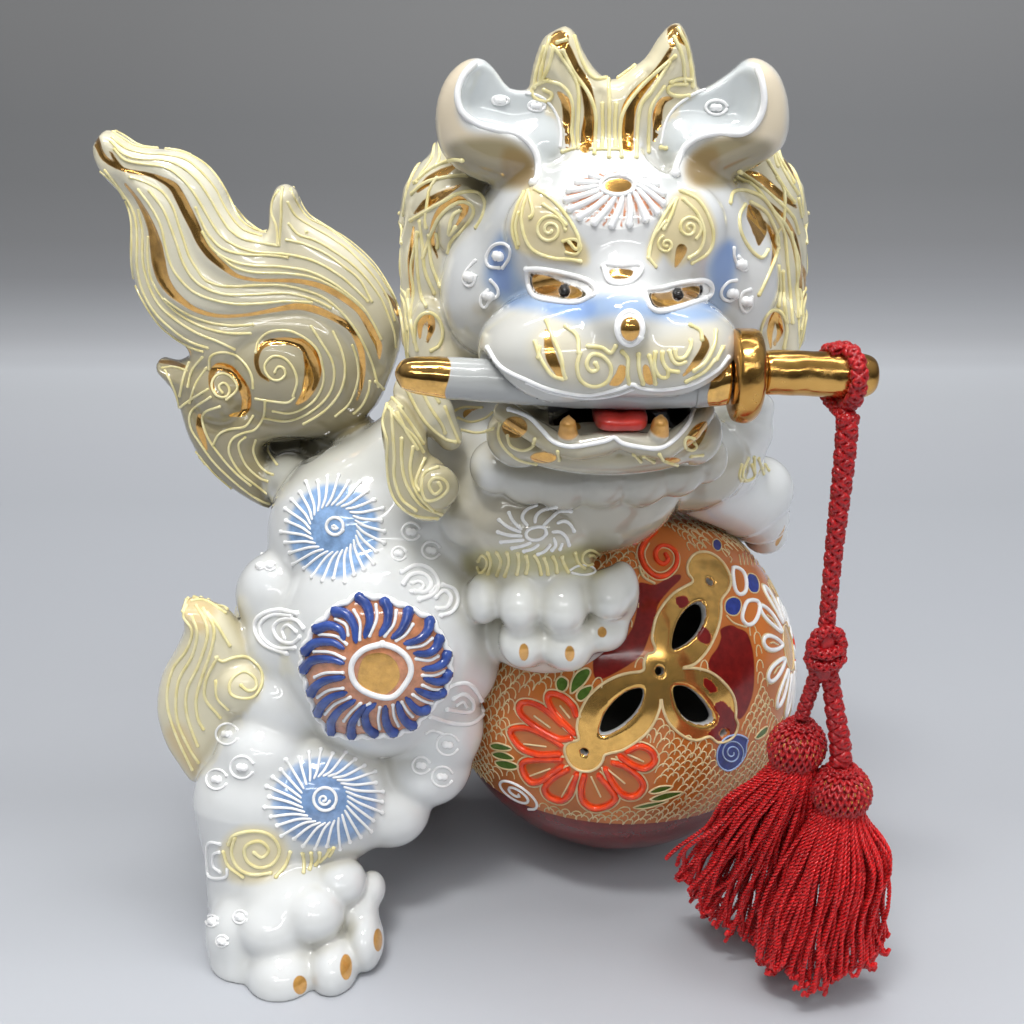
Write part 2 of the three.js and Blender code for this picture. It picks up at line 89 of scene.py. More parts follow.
# ------------------------------------------------------------------ signed distance on a grid
class Grid:
    def __init__(s,lo,hi,h):
        s.lo=np.array(lo,float);s.h=h
        s.n=np.ceil((np.array(hi)-s.lo)/h).astype(int)+1
        s.D=np.full(s.n,60.0,np.float32)
        s.L=np.zeros(s.n,np.uint8)
    def sub(s,lo,hi):
        a=np.maximum(np.floor((np.array(lo)-s.lo)/s.h).astype(int),0)
        b=np.minimum(np.ceil((np.array(hi)-s.lo)/s.h).astype(int)+1,s.n)
        if (b<=a).any(): return None
        sl=tuple(slice(i,j) for i,j in zip(a,b))
        ax=[(s.lo[i]+s.h*np.arange(a[i],b[i])).astype(np.float32) for i in range(3)]
        return sl,ax[0][:,None,None],ax[1][None,:,None],ax[2][None,None,:]
    def put(s,sl,d,k,label,mode='add'):
        D=s.D[sl]
        if mode=='add':
            if label: 
                m=d<D; s.L[sl][m]=label
            if k>0:
                h=np.maximum(k-np.abs(D-d),0)/k
                s.D[sl]=np.minimum(D,d)-h*h*h*k*(1/6.0)
            else: s.D[sl]=np.minimum(D,d)
        elif mode=='cut':
            d=-d
            if k>0:
                h=np.maximum(k-np.abs(D-d),0)/k
                s.D[sl]=np.maximum(D,d)+h*h*h*k*(1/6.0)
            else: s.D[sl]=np.maximum(D,d)
    def ell(s,c,r,R=None,k=4,label=0,mode='add'):
        c=np.array(c,float);r=np.array(r,float)*np.ones(3)
        m=(r.max() if R is not None else r)+k+4
        q=s.sub(c-m,c+m)
        if q is None:return
        sl,x,y,z=q
        x=x-c[0];y=y-c[1];z=z-c[2]
        if R is not None:
            M=np.array(R).T.astype(np.float32)
            x,y,z=(M[0,0]*x+M[0,1]*y+M[0,2]*z, M[1,0]*x+M[1,1]*y+M[1,2]*z, M[2,0]*x+M[2,1]*y+M[2,2]*z)
        x=x/r[0];y=y/r[1];z=z/r[2]
        k0=np.sqrt(x*x+y*y+z*z)
        k1=np.sqrt((x/r[0])**2+(y/r[1])**2+(z/r[2])**2)+1e-6
        d=(k0*(k0-1)/k1).astype(np.float32)
        s.put(sl,d,k,label,mode)
    def tube(s,P,rr,k=4,label=0,mode='add',flat=None):
        # polyline with radii; min over segments of |p-closest|-r(t)
        P=np.array(P,float);rr=np.array(rr,float)*np.ones(len(P))
        m=rr.max()+k+4
        q=s.sub(P.min(0)-m,P.max(0)+m)
        if q is None:return
        sl,x,y,z=q
        d=None
        for i in range(len(P)-1):
            a,b=P[i],P[i+1];ab=b-a;L2=ab@ab+1e-9
            t=np.clip(((x-a[0])*ab[0]+(y-a[1])*ab[1]+(z-a[2])*ab[2])/L2,0,1)
            e=np.sqrt((x-a[0]-t*ab[0])**2+(y-a[1]-t*ab[1])**2+(z-a[2]-t*ab[2])**2)-(rr[i]+t*(rr[i+1]-rr[i]))
            d=e if d is None else np.minimum(d,e)
        s.put(sl,d.astype(np.float32),k,label,mode)
    def slab(s,poly,y0,T,R,k=4,label=0,mode='add',bulge=None,warp=None):
        # poly: outline in (x,z); plane y=y0(x,z) ; half thickness T, edge radius R
        poly=np.array(poly,float)
        lo=np.array([poly[:,0].min()-k-4,0,poly[:,1].min()-k-4]);hi=np.array([poly[:,0].max()+k+4,0,poly[:,1].max()+k+4])
        yy=y0 if np.isscalar(y0) else None
        tm=T if np.isscalar(T) else 22
        if yy is not None: lo[1]=yy-tm-k-6;hi[1]=yy+tm+k+6
        else: lo[1],hi[1]=warp
        q=s.sub(lo,hi)
        if q is None:return
        sl,x,y,z=q
        X=x[:,0,0];Z=z[0,0,:]
        d2=poly_sdf(poly,X[:,None],Z[None,:])
        yc=(yy if yy is not None else y0(X[:,None],Z[None,:]))
        TT=T if np.isscalar(T) else T(X[:,None],Z[None,:],d2)
        yc=np.broadcast_to(yc,d2.shape);TT=np.broadcast_to(TT,d2.shape);RR=np.minimum(R,TT)
        a=np.maximum(d2+RR,0)[:,None,:]
        b=np.abs(y-yc[:,None,:])-(TT-RR)[:,None,:]
        d=np.sqrt(a*a+np.maximum(b,0)**2)+np.minimum(np.maximum(d2[:,None,:]+RR[:,None,:],b),0)-RR[:,None,:]
        s.put(sl,d.astype(np.float32),k,label,mode)
    def sample(s,P):
        q=(P-s.lo)/s.h
        q=np.clip(q,0,np.array(s.n)-1.001)
        i=q.astype(int);f=(q-i).astype(np.float32)
        D=s.D;i0,i1,i2=i[:,0],i[:,1],i[:,2]
        f0,f1,f2=f[:,0],f[:,1],f[:,2]
        c00=D[i0,i1,i2]*(1-f0)+D[i0+1,i1,i2]*f0
        c01=D[i0,i1,i2+1]*(1-f0)+D[i0+1,i1,i2+1]*f0
        c10=D[i0,i1+1,i2]*(1-f0)+D[i0+1,i1+1,i2]*f0
        c11=D[i0,i1+1,i2+1]*(1-f0)+D[i0+1,i1+1,i2+1]*f0
        return (c00*(1-f1)+c10*f1)*(1-f2)+(c01*(1-f1)+c11*f1)*f2
def poly_sdf(poly,x,z):
    x,z=np.broadcast_arrays(x,z)
    d=np.full(x.shape,1e9);sgn=np.ones(x.shape)
    n=len(poly)
    for i in range(n):
        a=poly[i];b=poly[(i+1)%n];e=b-a
        wx=x-a[0];wz=z-a[1]
        t=np.clip((wx*e[0]+wz*e[1])/(e@e+1e-12),0,1)
        bx=wx-e[0]*t;bz=wz-e[1]*t
        d=np.minimum(d,bx*bx+bz*bz)
        c1=z>=a[1];c2=z<b[1];c3=e[0]*wz>e[1]*wx
        fl=(c1&c2&c3)|(~c1&~c2&~c3)
        sgn=np.where(fl,-sgn,sgn)
    return sgn*np.sqrt(d)
def smooth_poly(P,n=4):
    # closed catmull-rom
    P=np.array(P,float);m=len(P);out=[]
    for i in range(m):
        p0,p1,p2,p3=P[i-1],P[i],P[(i+1)%m],P[(i+2)%m]
        for j in range(n):
            t=j/n
            out.append(0.5*((2*p1)+(-p0+p2)*t+(2*p0-5*p1+4*p2-p3)*t*t+(-p0+3*p1-3*p2+p3)*t**3))
    return np.array(out)

# ------------------------------------------------------------------ surface of a distance grid
def gradient(g, P):
    e = g.h * 0.75
    n = np.empty_like(P)
    for i in range(3):
        a = P.copy(); a[:, i] += e
        b = P.copy(); b[:, i] -= e
        n[:, i] = g.sample(a) - g.sample(b)
    n /= 2 * e
    return n

def surface(g):
    """quad mesh of the zero level: vertices (mm), unit normals, quads, label of each vertex"""
    D = g.D
    s = D < 0
    c = np.zeros(tuple(n - 1 for n in D.shape), np.uint8)
    for i in (0, 1):
        for j in (0, 1):
            for k in (0, 1):
                c += s[i:s.shape[0] - 1 + i, j:s.shape[1] - 1 + j, k:s.shape[2] - 1 + k]
    act = (c > 0) & (c < 8)
    ijk = np.argwhere(act)
    idx = np.full(act.shape, -1, np.int32)
    idx[act] = np.arange(len(ijk), dtype=np.int32)
    off = [(i, j, k) for i in (0, 1) for j in (0, 1) for k in (0, 1)]
    vals = [D[ijk[:, 0] + o[0], ijk[:, 1] + o[1], ijk[:, 2] + o[2]] for o in off]
    pos = np.zeros((len(ijk), 3)); cnt = np.zeros(len(ijk))
    for a in range(8):
        for b in range(a + 1, 8):
            if sum(abs(off[a][i] - off[b][i]) for i in range(3)) != 1:
                continue
            va, vb = vals[a], vals[b]
            m = (va < 0) != (vb < 0)
            t = np.where(m, va / np.where(m, va - vb, 1), 0)
            p = np.array(off[a])[None] + t[:, None] * (np.array(off[b]) - np.array(off[a]))[None]
            pos += p * m[:, None]; cnt += m
    V = g.lo + g.h * (ijk + pos / cnt[:, None])
    quads = []
    def add(m, cells, flip):
        w = np.argwhere(m)
        q = np.stack([idx[w[:, 0] + o[0], w[:, 1] + o[1], w[:, 2] + o[2]] for o in cells], 1)
        f = flip[m]
        q[f] = q[f][:, ::-1]
        quads.append(q)
    # edges along x, y and z; w is offset so that w = (i, j-1, k-1) and so on
    m = s[:-1, 1:-1, 1:-1] != s[1:, 1:-1, 1:-1]
    add(m, [(0, 0, 0), (0, 1, 0), (0, 1, 1), (0, 0, 1)], ~s[:-1, 1:-1, 1:-1])
    m = s[1:-1, :-1, 1:-1] != s[1:-1, 1:, 1:-1]
    add(m, [(0, 0, 0), (0, 0, 1), (1, 0, 1), (1, 0, 0)], ~s[1:-1, :-1, 1:-1])
    m = s[1:-1, 1:-1, :-1] != s[1:-1, 1:-1, 1:]
    add(m, [(0, 0, 0), (1, 0, 0), (1, 1, 0), (0, 1, 0)], ~s[1:-1, 1:-1, :-1])
    Q = np.concatenate(quads)
    Q = Q[(Q >= 0).all(1)]
    for _ in range(2):
        n = gradient(g, V)
        d = g.sample(V)
        l2 = np.maximum((n * n).sum(1), 0.25)
        step = np.clip(d / l2, -0.5 * g.h, 0.5 * g.h)
        V -= step[:, None] * n
    n = gradient(g, V)
    n /= np.linalg.norm(n, axis=1, keepdims=True) + 1e-9
    q = np.clip(np.round((V - g.lo) / g.h).astype(int), 0, np.array(g.n) - 1)
    return V, n, Q, g.L[q[:, 0], q[:, 1], q[:, 2]]

def trace(g, O, d, t0=0.0, t1=260.0, step=1.2):
    """first hit of rays with the grid's surface; returns points, unit normals and a mask"""
    O = np.broadcast_to(O, d.shape).astype(float)
    t = np.full(len(d), float(t0)); hit = np.zeros(len(d), bool)
    live = np.arange(len(d))
    prev = np.full(len(d), 1.0)
    while len(live):
        P = O[live] + d[live] * t[live, None]
        s = g.sample(P)
        h = s < 0.04
        hit[live[h]] = True
        t[live] += np.where(h, 0, np.clip(s * 0.8, 0.05, step))
        live = live[(~h) & (t[live] < t1)]
    P = O + d * t[:, None]
    n = gradient(g, P); n /= np.linalg.norm(n, axis=1, keepdims=True) + 1e-9
    return P, n, hit

# ------------------------------------------------------------------ Blender meshes from arrays
def link(obj):
    bpy.context.scene.collection.objects.link(obj)
    return obj

def stand_for(o, node, body):
    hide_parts(node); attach(o, body)

def make_mesh(name, V, faces, mats=(), normals=None, attrs=None, smooth=True, face_mat=None):
    """V in mm in the working frame; faces is a list of equal-width integer arrays"""
    me = bpy.data.meshes.new(name)
    V = (np.asarray(V, float) + OFF) / 1000.0
    me.vertices.add(len(V)); me.vertices.foreach_set("co", V.astype(np.float32).ravel())
    faces = [f for f in faces if len(f)]
    nl = sum(f.size for f in faces); nf = sum(len(f) for f in faces)
    me.loops.add(nl); me.polygons.add(nf)
    me.loops.foreach_set("vertex_index", np.concatenate([f.ravel() for f in faces]).astype(np.int32))
    tot = np.concatenate([np.full(len(f), f.shape[1], np.int32) for f in faces])
    start = np.concatenate([[0], np.cumsum(tot)[:-1]]).astype(np.int32)
    me.polygons.foreach_set("loop_start", start)
    me.polygons.foreach_set("loop_total", tot)
    if face_mat is not None:
        me.polygons.foreach_set("material_index", face_mat.astype(np.int32))
    me.polygons.foreach_set("use_smooth", np.full(nf, smooth))
    me.update(calc_edges=True)
    for k, a in (attrs or {}).items():
        a = np.asarray(a, np.float32)
        if a.ndim == 1:
            at = me.attributes.new(k, 'FLOAT', 'POINT'); at.data.foreach_set("value", a)
        else:
            at = me.attributes.new(k, 'FLOAT_COLOR', 'POINT')
            at.data.foreach_set("color", np.concatenate([a, np.ones((len(a), 1), np.float32)], 1).ravel())
    for m in mats:
        me.materials.append(m)
    if normals is not None:
        me.normals_split_custom_set_from_vertices(np.asarray(normals, np.float32))
    return link(bpy.data.objects.new("fine_" + name, me))

def shell_piece(name, g, V, N, Q, mats, attrs, wall=3.0):
    """one closed thin shell from a patch of the outer surface: the patch, an inner copy and a rim"""
    used = np.unique(Q)
    m = np.full(len(V), -1, np.int64); m[used] = np.arange(len(used))
    q = m[Q]; v = V[used]; n = N[used]
    inner = g.sample(v - wall * n)
    t = np.clip(-inner * 0.8, 0.25, wall)
    vi = v - t[:, None] * n
    k = len(used)
    e = np.concatenate([q[:, [0, 1]], q[:, [1, 2]], q[:, [2, 3]], q[:, [3, 0]]])
    key = e[:, 0] * k + e[:, 1]; rev = e[:, 1] * k + e[:, 0]
    b = e[~np.isin(key, rev)]
    rim = np.stack([b[:, 1], b[:, 0], b[:, 0] + k, b[:, 1] + k], 1) if len(b) else np.zeros((0, 4), int)
    faces = np.concatenate([q, q[:, ::-1] + k, rim])
    at = {a: np.concatenate([x[used], x[used]]) for a, x in attrs.items()}
    return make_mesh(name, np.concatenate([v, vi]), [faces], mats, np.concatenate([n, -n]), at)

# ------------------------------------------------------------------ tubes, strands and braids
def frames(P):
    """unit tangents and two steady normals along a line"""
    P = np.asarray(P, float)
    t = np.gradient(P, axis=0); t /= np.linalg.norm(t, axis=1, keepdims=True) + 1e-12
    a = np.array([0, 0, 1.0]) if abs(t[0][2]) < 0.9 else np.array([0, 1.0, 0])
    u = np.empty_like(P); u[0] = np.cross(a, t[0])
    u[0] = u[0] / np.linalg.norm(u[0]) if np.linalg.norm(u[0]) > 1e-9 else np.array([1.0, 0, 0])
    for i in range(1, len(P)):
        v = u[i - 1] - t[i] * (u[i - 1] @ t[i])
        u[i] = v / (np.linalg.norm(v) + 1e-12)
    return t, u, np.cross(t, u)

def resample(P, n=None, step=None):
    P = np.asarray(P, float)
    s = np.concatenate([[0], np.cumsum(np.linalg.norm(np.diff(P, axis=0), axis=1))])
    if n is None:
        n = max(2, int(round(s[-1] / step)) + 1)
    q = np.linspace(0, s[-1], n)
    return np.stack([np.interp(q, s, P[:, i]) for i in range(P.shape[1])], 1)

def curve_through(P, n=8):
    P = np.array(P, float)
    Q = np.vstack([2 * P[0] - P[1], P, 2 * P[-1] - P[-2]])
    out = []
    for i in range(1, len(Q) - 2):
        p0, p1, p2, p3 = Q[i - 1:i + 3]
        for j in range(n):
            t = j / n
            out.append(0.5 * ((2 * p1) + (-p0 + p2) * t + (2 * p0 - 5 * p1 + 4 * p2 - p3) * t * t + (-p0 + 3 * p1 - 3 * p2 + p3) * t ** 3))
    out.append(P[-1])
    return np.array(out)

class Bag:
    """collects tubes into one mesh"""
    def __init__(s):
        s.V, s.F, s.N, s.A, s.n = [], [], [], [], 0
    def add(s, V, F, N, a=0.0):
        s.V.append(V); s.F.append(F + s.n); s.N.append(N); s.n += len(V)
        s.A.append(np.full(len(V), a) if np.isscalar(a) else a)
    def tube(s, P, r, sides=6, a=0.0, caps=True, flat=None):
        P = np.asarray(P, float); m = len(P)
        t, u, v = frames(P)
        r = np.broadcast_to(np.asarray(r, float), (m,)).copy()
        if caps:
            # round ends: one small ring and a pinched ring at each end
            P = np.vstack([P[0] - t[0] * r[0] * 0.92, P[0] - t[0] * r[0] * 0.6, P, P[-1] + t[-1] * r[-1] * 0.6, P[-1] + t[-1] * r[-1] * 0.92])
            r = np.concatenate([[r[0] * 0.3, r[0] * 0.8], r, [r[-1] * 0.8, r[-1] * 0.3]])
            t = np.vstack([t[:1], t[:1], t, t[-1:], t[-1:]]); u = np.vstack([u[:1], u[:1], u, u[-1:], u[-1:]]); v = np.vstack([v[:1], v[:1], v, v[-1:], v[-1:]])
            m += 4
        ang = np.linspace(0, 2 * np.pi, sides, endpoint=False)
        c, q = np.cos(ang), np.sin(ang)
        n = u[:, None, :] * c[None, :, None] + v[:, None, :] * q[None, :, None]
        V = P[:, None, :] + n * r[:, None, None]
        if flat is not None:
            V = P[:, None, :] + u[:, None, :] * (c[None, :, None] * r[:, None, None]) + v[:, None, :] * (q[None, :, None] * r[:, None, None] * flat)
        i = np.arange(m - 1)[:, None] * sides; j = np.arange(sides)[None, :]; k = (j + 1) % sides
        F = np.stack([i + j, i + k, i + sides + k, i + sides + j], -1).reshape(-1, 4)
        nn = n.copy()
        if caps:
            nn[0] = nn[0] * 0.3 - t[0]; nn[1] = nn[1] * 0.8 - t[0] * 0.6; nn[-1] = nn[-1] * 0.3 + t[-1]; nn[-2] = nn[-2] * 0.8 + t[-1] * 0.6
            nn /= np.linalg.norm(nn, axis=-1, keepdims=True)
        V = V.reshape(-1, 3); nn = nn.reshape(-1, 3)
        # close the two ends with a fan of quads
        k0 = len(V)
        V = np.vstack([V, P[0] - t[0] * r[0] * 0.1, P[-1] + t[-1] * r[-1] * 0.1]); nn = np.vstack([nn, -t[:1], t[-1:]])
        e = np.arange(0, sides, 2)
        if sides % 2 == 0:
            f0 = np.stack([np.full(len(e), k0), (e + 2) % sides, (e + 1) % sides, e], -1)
            b = (m - 1) * sides
            f1 = np.stack([np.full(len(e), k0 + 1), b + e, b + (e + 1) % sides, b + (e + 2) % sides], -1)
            F = np.concatenate([F, f0, f1])
        s.add(V, F, nn, a)
    def strand(s, P, r, pitch=1.5, plies=3, step=0.22, sides=5, a=0.0, phase=0.0):
        """a twisted thread: plies wound round the line"""
        P = resample(curve_through(P, 5), step=step)
        t, u, v = frames(P)
        L = np.arange(len(P)) * step
        for k in range(plies):
            th = 2 * np.pi * (L / pitch + k / plies) + phase
            C = P + (u * np.cos(th)[:, None] + v * np.sin(th)[:, None]) * r * 0.52
            s.tube(C, r * 0.56, sides, a)
    def mesh(s, name, mats, attr=None):
        V = np.vstack(s.V); F = np.vstack(s.F); N = np.vstack(s.N)
        at = {attr: np.concatenate(s.A)} if attr else None
        return make_mesh(name, V, [F], mats, N, at)

def braid(bag, P, R, strands=8, pitch=9.0, r=None, step=0.35, sides=6, squash=1.0, a=0.0):
    """round braid: half of the strands wind each way, over two and under two"""
    P = resample(P, step=step)
    t, u, v = frames(P)
    L = np.arange(len(P)) * step
    R = np.interp(np.linspace(0, 1, len(P)), np.linspace(0, 1, len(np.atleast_1d(R))), np.atleast_1d(R))
    r = R * 0.42 if r is None else np.full(len(P), r)
    half = strands // 2
    for d in (1, -1):
        for k in range(half):
            th = d * 2 * np.pi * L / pitch + 2 * np.pi * k / half + (0 if d > 0 else np.pi / half)
            w = np.sin(half * 2 * np.pi * L / pitch + d * np.pi / 2 + (k % 2) * np.pi)
            rad = R - r * 0.75 + w * r * 0.28
            C = P + u * (np.cos(th) * rad)[:, None] + v * (np.sin(th) * rad * squash)[:, None]
            bag.tube(C, r * 0.82, sides, a)

# ------------------------------------------------------------------ crimson thread
def nodes_of(mat):
    mat.use_nodes = True
    nt = mat.node_tree
    for n in list(nt.nodes):
        nt.nodes.remove(n)
    out = nt.nodes.new("ShaderNodeOutputMaterial")
    b = nt.nodes.new("ShaderNodeBsdfPrincipled")
    nt.links.new(b.outputs[0], out.inputs[0])
    return nt, b

def noise(nt, scale, detail=2.0, rough=0.5, space='Object'):
    tc = nt.nodes.new("ShaderNodeTexCoord")
    n = nt.nodes.new("ShaderNodeTexNoise")
    n.inputs["Scale"].default_value = scale
    n.inputs["Detail"].default_value = detail
    n.inputs["Roughness"].default_value = rough
    nt.links.new(tc.outputs[space], n.inputs["Vector"])
    return n

def ramp(nt, fac, stops, interp='LINEAR'):
    r = nt.nodes.new("ShaderNodeValToRGB")
    r.color_ramp.interpolation = interp
    while len(r.color_ramp.elements) > 1:
        r.color_ramp.elements.remove(r.color_ramp.elements[-1])
    r.color_ramp.elements[0].position = stops[0][0]
    r.color_ramp.elements[0].color = (*stops[0][1], 1)
    for p, c in stops[1:]:
        e = r.color_ramp.elements.new(p); e.color = (*c, 1)
    nt.links.new(fac, r.inputs[0])
    return r

def bump(nt, bsdf, height, strength, dist):
    b = nt.nodes.new("ShaderNodeBump")
    b.inputs["Strength"].default_value = strength
    b.inputs["Distance"].default_value = dist
    nt.links.new(height, b.inputs["Height"])
    nt.links.new(b.outputs[0], bsdf.inputs["Normal"])
    return b

def thread_material(name, dark, mid, light, glints=False):
    m = bpy.data.materials.new(name)
    nt, b = nodes_of(m)
    n = noise(nt, 700, 3, 0.6)
    r = ramp(nt, n.outputs[0], [(0.25, dark), (0.5, mid), (0.75, light)])
    b.inputs["Roughness"].default_value = 0.34
    b.inputs["Specular IOR Level"].default_value = 0.6
    b.inputs["Sheen Weight"].default_value = 0.20
    b.inputs["Sheen Roughness"].default_value = 0.4
    b.inputs["Sheen Tint"].default_value = (1.0, 0.25, 0.22, 1)
    b.inputs["Subsurface Weight"].default_value = 0.0
    nt.links.new(r.outputs[0], b.inputs["Base Color"])
    f = noise(nt, 2600, 1, 0.5)
    bump(nt, b, f.outputs[0], 0.35, 0.0002)
    return m

M_THREAD = thread_material("crimson_thread", (0.26, 0.001, 0.003), (0.60, 0.006, 0.009), (0.88, 0.020, 0.020))
M_BRAID = thread_material("crimson_braid", (0.16, 0.001, 0.003), (0.36, 0.004, 0.007), (0.54, 0.012, 0.014))
M_GLINT = bpy.data.materials.new("gold_thread")
_nt, _b = nodes_of(M_GLINT)
_b.inputs["Base Color"].default_value = (0.85, 0.42, 0.10, 1)
_b.inputs["Metallic"].default_value = 0.85
_b.inputs["Roughness"].default_value = 0.35
_n = noise(_nt, 900)
_r = ramp(_nt, _n.outputs[0], [(0.35, (0.55, 0.16, 0.03)), (0.65, (0.95, 0.55, 0.16))])
_nt.links.new(_r.outputs[0], _b.inputs["Base Color"])

# ------------------------------------------------------------------ cord and tassels (working frame, mm)
def C(x, y, z):
    """a point of the cord's solids, given as in the model's own tables"""
    return np.array([x - 13.0, y + 400.0, z])

def at_px(px, py, D):
    return W(px, py, D)

rng = np.random.default_rng(7)
STEM = curve_through([C(104.9, -73.2, 188.6), C(105.0, -73.5, 180), C(104.9, -73.7, 172), C(104.6, -74.0, 160), C(104.3, -74.4, 150), C(104.2, -74.7, 138), C(104.1, -75.0, 127.0)], 8)
bag = Bag()
braid(bag, STEM, [3.0, 2.85, 2.6, 2.4, 2.3], strands=8, pitch=10.0, squash=0.9)
bag.tube(resample(STEM, step=1.5), 1.5, 8)
cord_stem = bag.mesh("cord_stem", [M_BRAID])

# the loop round the hilt: up behind, over the top and down in front
bag = Bag()
HC = C(103.6, -67.0, 198.6)
ang = np.radians(np.linspace(-112, 250, 60))
lx = np.interp(np.degrees(ang), [-118, -75, -40, 0, 30, 60, 90, 130, 180, 250], [1.2, 1.8, 2.4, 2.9, 2.9, 2.2, 0.8, -1.0, -2.0, -0.6])
loopline = np.array([HC + np.array([x, -8.4 * math.cos(a), 7.8 * math.sin(a)]) for a, x in zip(ang, lx)])
loopline = np.vstack([[HC + np.array([1.5, -5.9, -10.6])], loopline])
braid(bag, curve_through(loopline, 2), [2.6, 2.45, 2.2, 2.1], strands=8, pitch=8.0, squash=0.80)
bag.tube(resample(loopline, step=1.5), 1.5, 8)
# the second pass of the loop, partly beneath the first
ang = np.radians(np.linspace(78, 262, 40))
l2 = np.array([HC + np.array([x, -8.1 * math.cos(a), 7.7 * math.sin(a)]) for a, x in zip(ang, np.interp(np.degrees(ang), [78, 120, 200, 262], [-2.0, -3.2, -3.2, -2.0]))])
l2 = np.vstack([l2, [HC + np.array([0.4, -4.4, -10.4])]])
braid(bag, curve_through(l2, 2), [1.8, 1.9, 1.6], strands=8, pitch=7.5, squash=0.8)
cord_loop = bag.mesh("cord_loop", [M_BRAID])

# the knot: a hood of two bights over a whipped neck
bag = Bag()
K = C(104.1, -75.4, 118.0)
def kp(x, y, z):
    return K + np.array([x, y, z])
braid(bag, curve_through([kp(-3.0, -0.6, -4), kp(-4.1, -1.2, 1.5), kp(-3.0, -1.8, 6.4), kp(0.2, -2.2, 8.4), kp(3.2, -1.8, 6.4), kp(4.1, -1.2, 1.5), kp(3.2, -0.6, -4)], 6), [1.9], strands=8, pitch=7)
braid(bag, curve_through([kp(-4.4, -1.2, 2.6), kp(-2.0, -3.6, 1.4), kp(1.6, -3.7, 2.0), kp(4.4, -1.2, 3.4), kp(2.0, 2.2, 3.0), kp(-2.2, 2.2, 2.4), kp(-4.4, -1.2, 2.6)], 6), [1.75], strands=8, pitch=7)
braid(bag, curve_through([kp(-4.6, -1.0, -1.6), kp(-2.0, -3.9, -2.2), kp(1.8, -3.9, -1.8), kp(4.7, -1.2, -0.8), kp(2.0, 2.3, -1.2), kp(-2.2, 2.3, -1.8), kp(-4.6, -1.0, -1.6)], 6), [1.7], strands=8, pitch=7)
braid(bag, curve_through([kp(-2.2, 0.4, -1), kp(-2.4, -0.6, -5.5), kp(-2.0, 0.6, -9.2)], 6), [1.95, 1.75], strands=8, pitch=7)
braid(bag, curve_through([kp(2.2, 0, -1), kp(2.2, -0.8, -5.5), kp(2.5, -0.6, -9.2)], 6), [2.2, 2.3], strands=8, pitch=7)
bag.tube(curve_through([kp(0, -0.5, 6), kp(0, -0.8, 0), kp(0, -0.4, -6)], 4), 3.1, 10)
cord_knot = bag.mesh("cord_knot", [M_BRAID])

def branch(name, pts, R, pitch):
    bag = Bag()
    line = curve_through(pts, 8)
    braid(bag, line, R, strands=8, pitch=pitch)
    bag.tube(resample(line, step=1.5), R[0] * 0.6, 8)
    return bag.mesh(name, [M_BRAID])

branch_l = branch("cord_branch_left", [C(102.1, -74.8, 109.4), C(101.0, -73.6, 102), C(99.9, -72.6, 95.6)], [2.1, 2.1], 6.5)
branch_r = branch("cord_branch_right", [C(106.6, -76.0, 109.4), C(108.6, -77.0, 99), C(110.6, -77.7, 90), C(111.4, -78.0, 83.0)], [2.5, 2.9, 3.2], 8.5)

# netted head of a tassel: knitted stitches over a round core, with gold thread between
def tassel_head(name, c, r, lean):
    bag = Bag(); gl = Bag()
    r = np.array(r, float)
    def on(th, ph, k=1.0):
        return c + np.array([r[0] * math.cos(ph) * math.sin(th) * k + lean[0] * math.sin(ph), -r[1] * math.cos(ph) * math.cos(th) * k + lean[1] * math.sin(ph), r[2] * math.sin(ph) * k])
    rows = 9
    for i in range(rows):
        ph = math.radians(-50 + 112 * i / (rows - 1))
        m = max(6, int(round(2 * math.pi * math.cos(ph) * r[0] / 2.05)))
        for j in range(m):
            th = 2 * math.pi * (j + 0.5 * (i % 2)) / m
            w = 0.95 / (math.cos(ph) * r[0] + 1e-6)
            dp = 0.95 / r[2]
            p = [on(th - w, ph + dp, 0.97), on(th - w * 0.2, ph - dp * 0.55, 1.035), on(th + w * 0.2, ph - dp * 0.55, 1.035), on(th + w, ph + dp, 0.97)]
            bag.tube(curve_through(p, 3), 0.52, 6, rng.random())
            if rng.random() < 0.50 and i < rows - 2:
                q = on(th + w * 1.1, ph + 0.1 * dp, 1.012)
                gl.tube([q, on(th + w * 1.1, ph + 0.9 * dp, 1.025)], 0.32, 6)
    # folded lip round the crown and a roll at the neck
    ring = np.array([on(t, math.radians(64), 1.02) for t in np.linspace(0, 2 * np.pi, 30)])
    braid(bag, ring, [1.15], strands=6, pitch=4.5, step=0.4)
    ring = np.array([on(t, math.radians(76), 0.99) for t in np.linspace(0, 2 * np.pi, 24)])
    braid(bag, ring, [0.95], strands=6, pitch=4.0, step=0.4)
    ring = np.array([on(t, math.radians(-46), 1.03) for t in np.linspace(0, 2 * np.pi, 36)])
    gl.tube(ring, 0.42, 6, caps=False)
    # round core
    n, m = 14, 24
    V = np.array([on(2 * math.pi * b / m, math.radians(-84 + 168 * a / (n - 1)), 0.93) for a in range(n) for b in range(m)])
    i = np.arange(n - 1)[:, None] * m; j = np.arange(m)[None, :]; k = (j + 1) % m
    F = np.stack([i + j, i + k, i + m + k, i + m + j], -1).reshape(-1, 4)
    N = V - c; N /= np.linalg.norm(N, axis=1, keepdims=True)
    bag.add(V, F, N)
    V = np.vstack(bag.V + gl.V); N = np.vstack(bag.N + gl.N)
    F1 = np.vstack(bag.F); F2 = np.vstack(gl.F) + bag.n
    fm = np.concatenate([np.zeros(len(F1), int), np.ones(len(F2), int)])
    return make_mesh(name, V, [np.vstack([F1, F2])], [M_BRAID, M_GLINT], N, None, face_mat=fm)

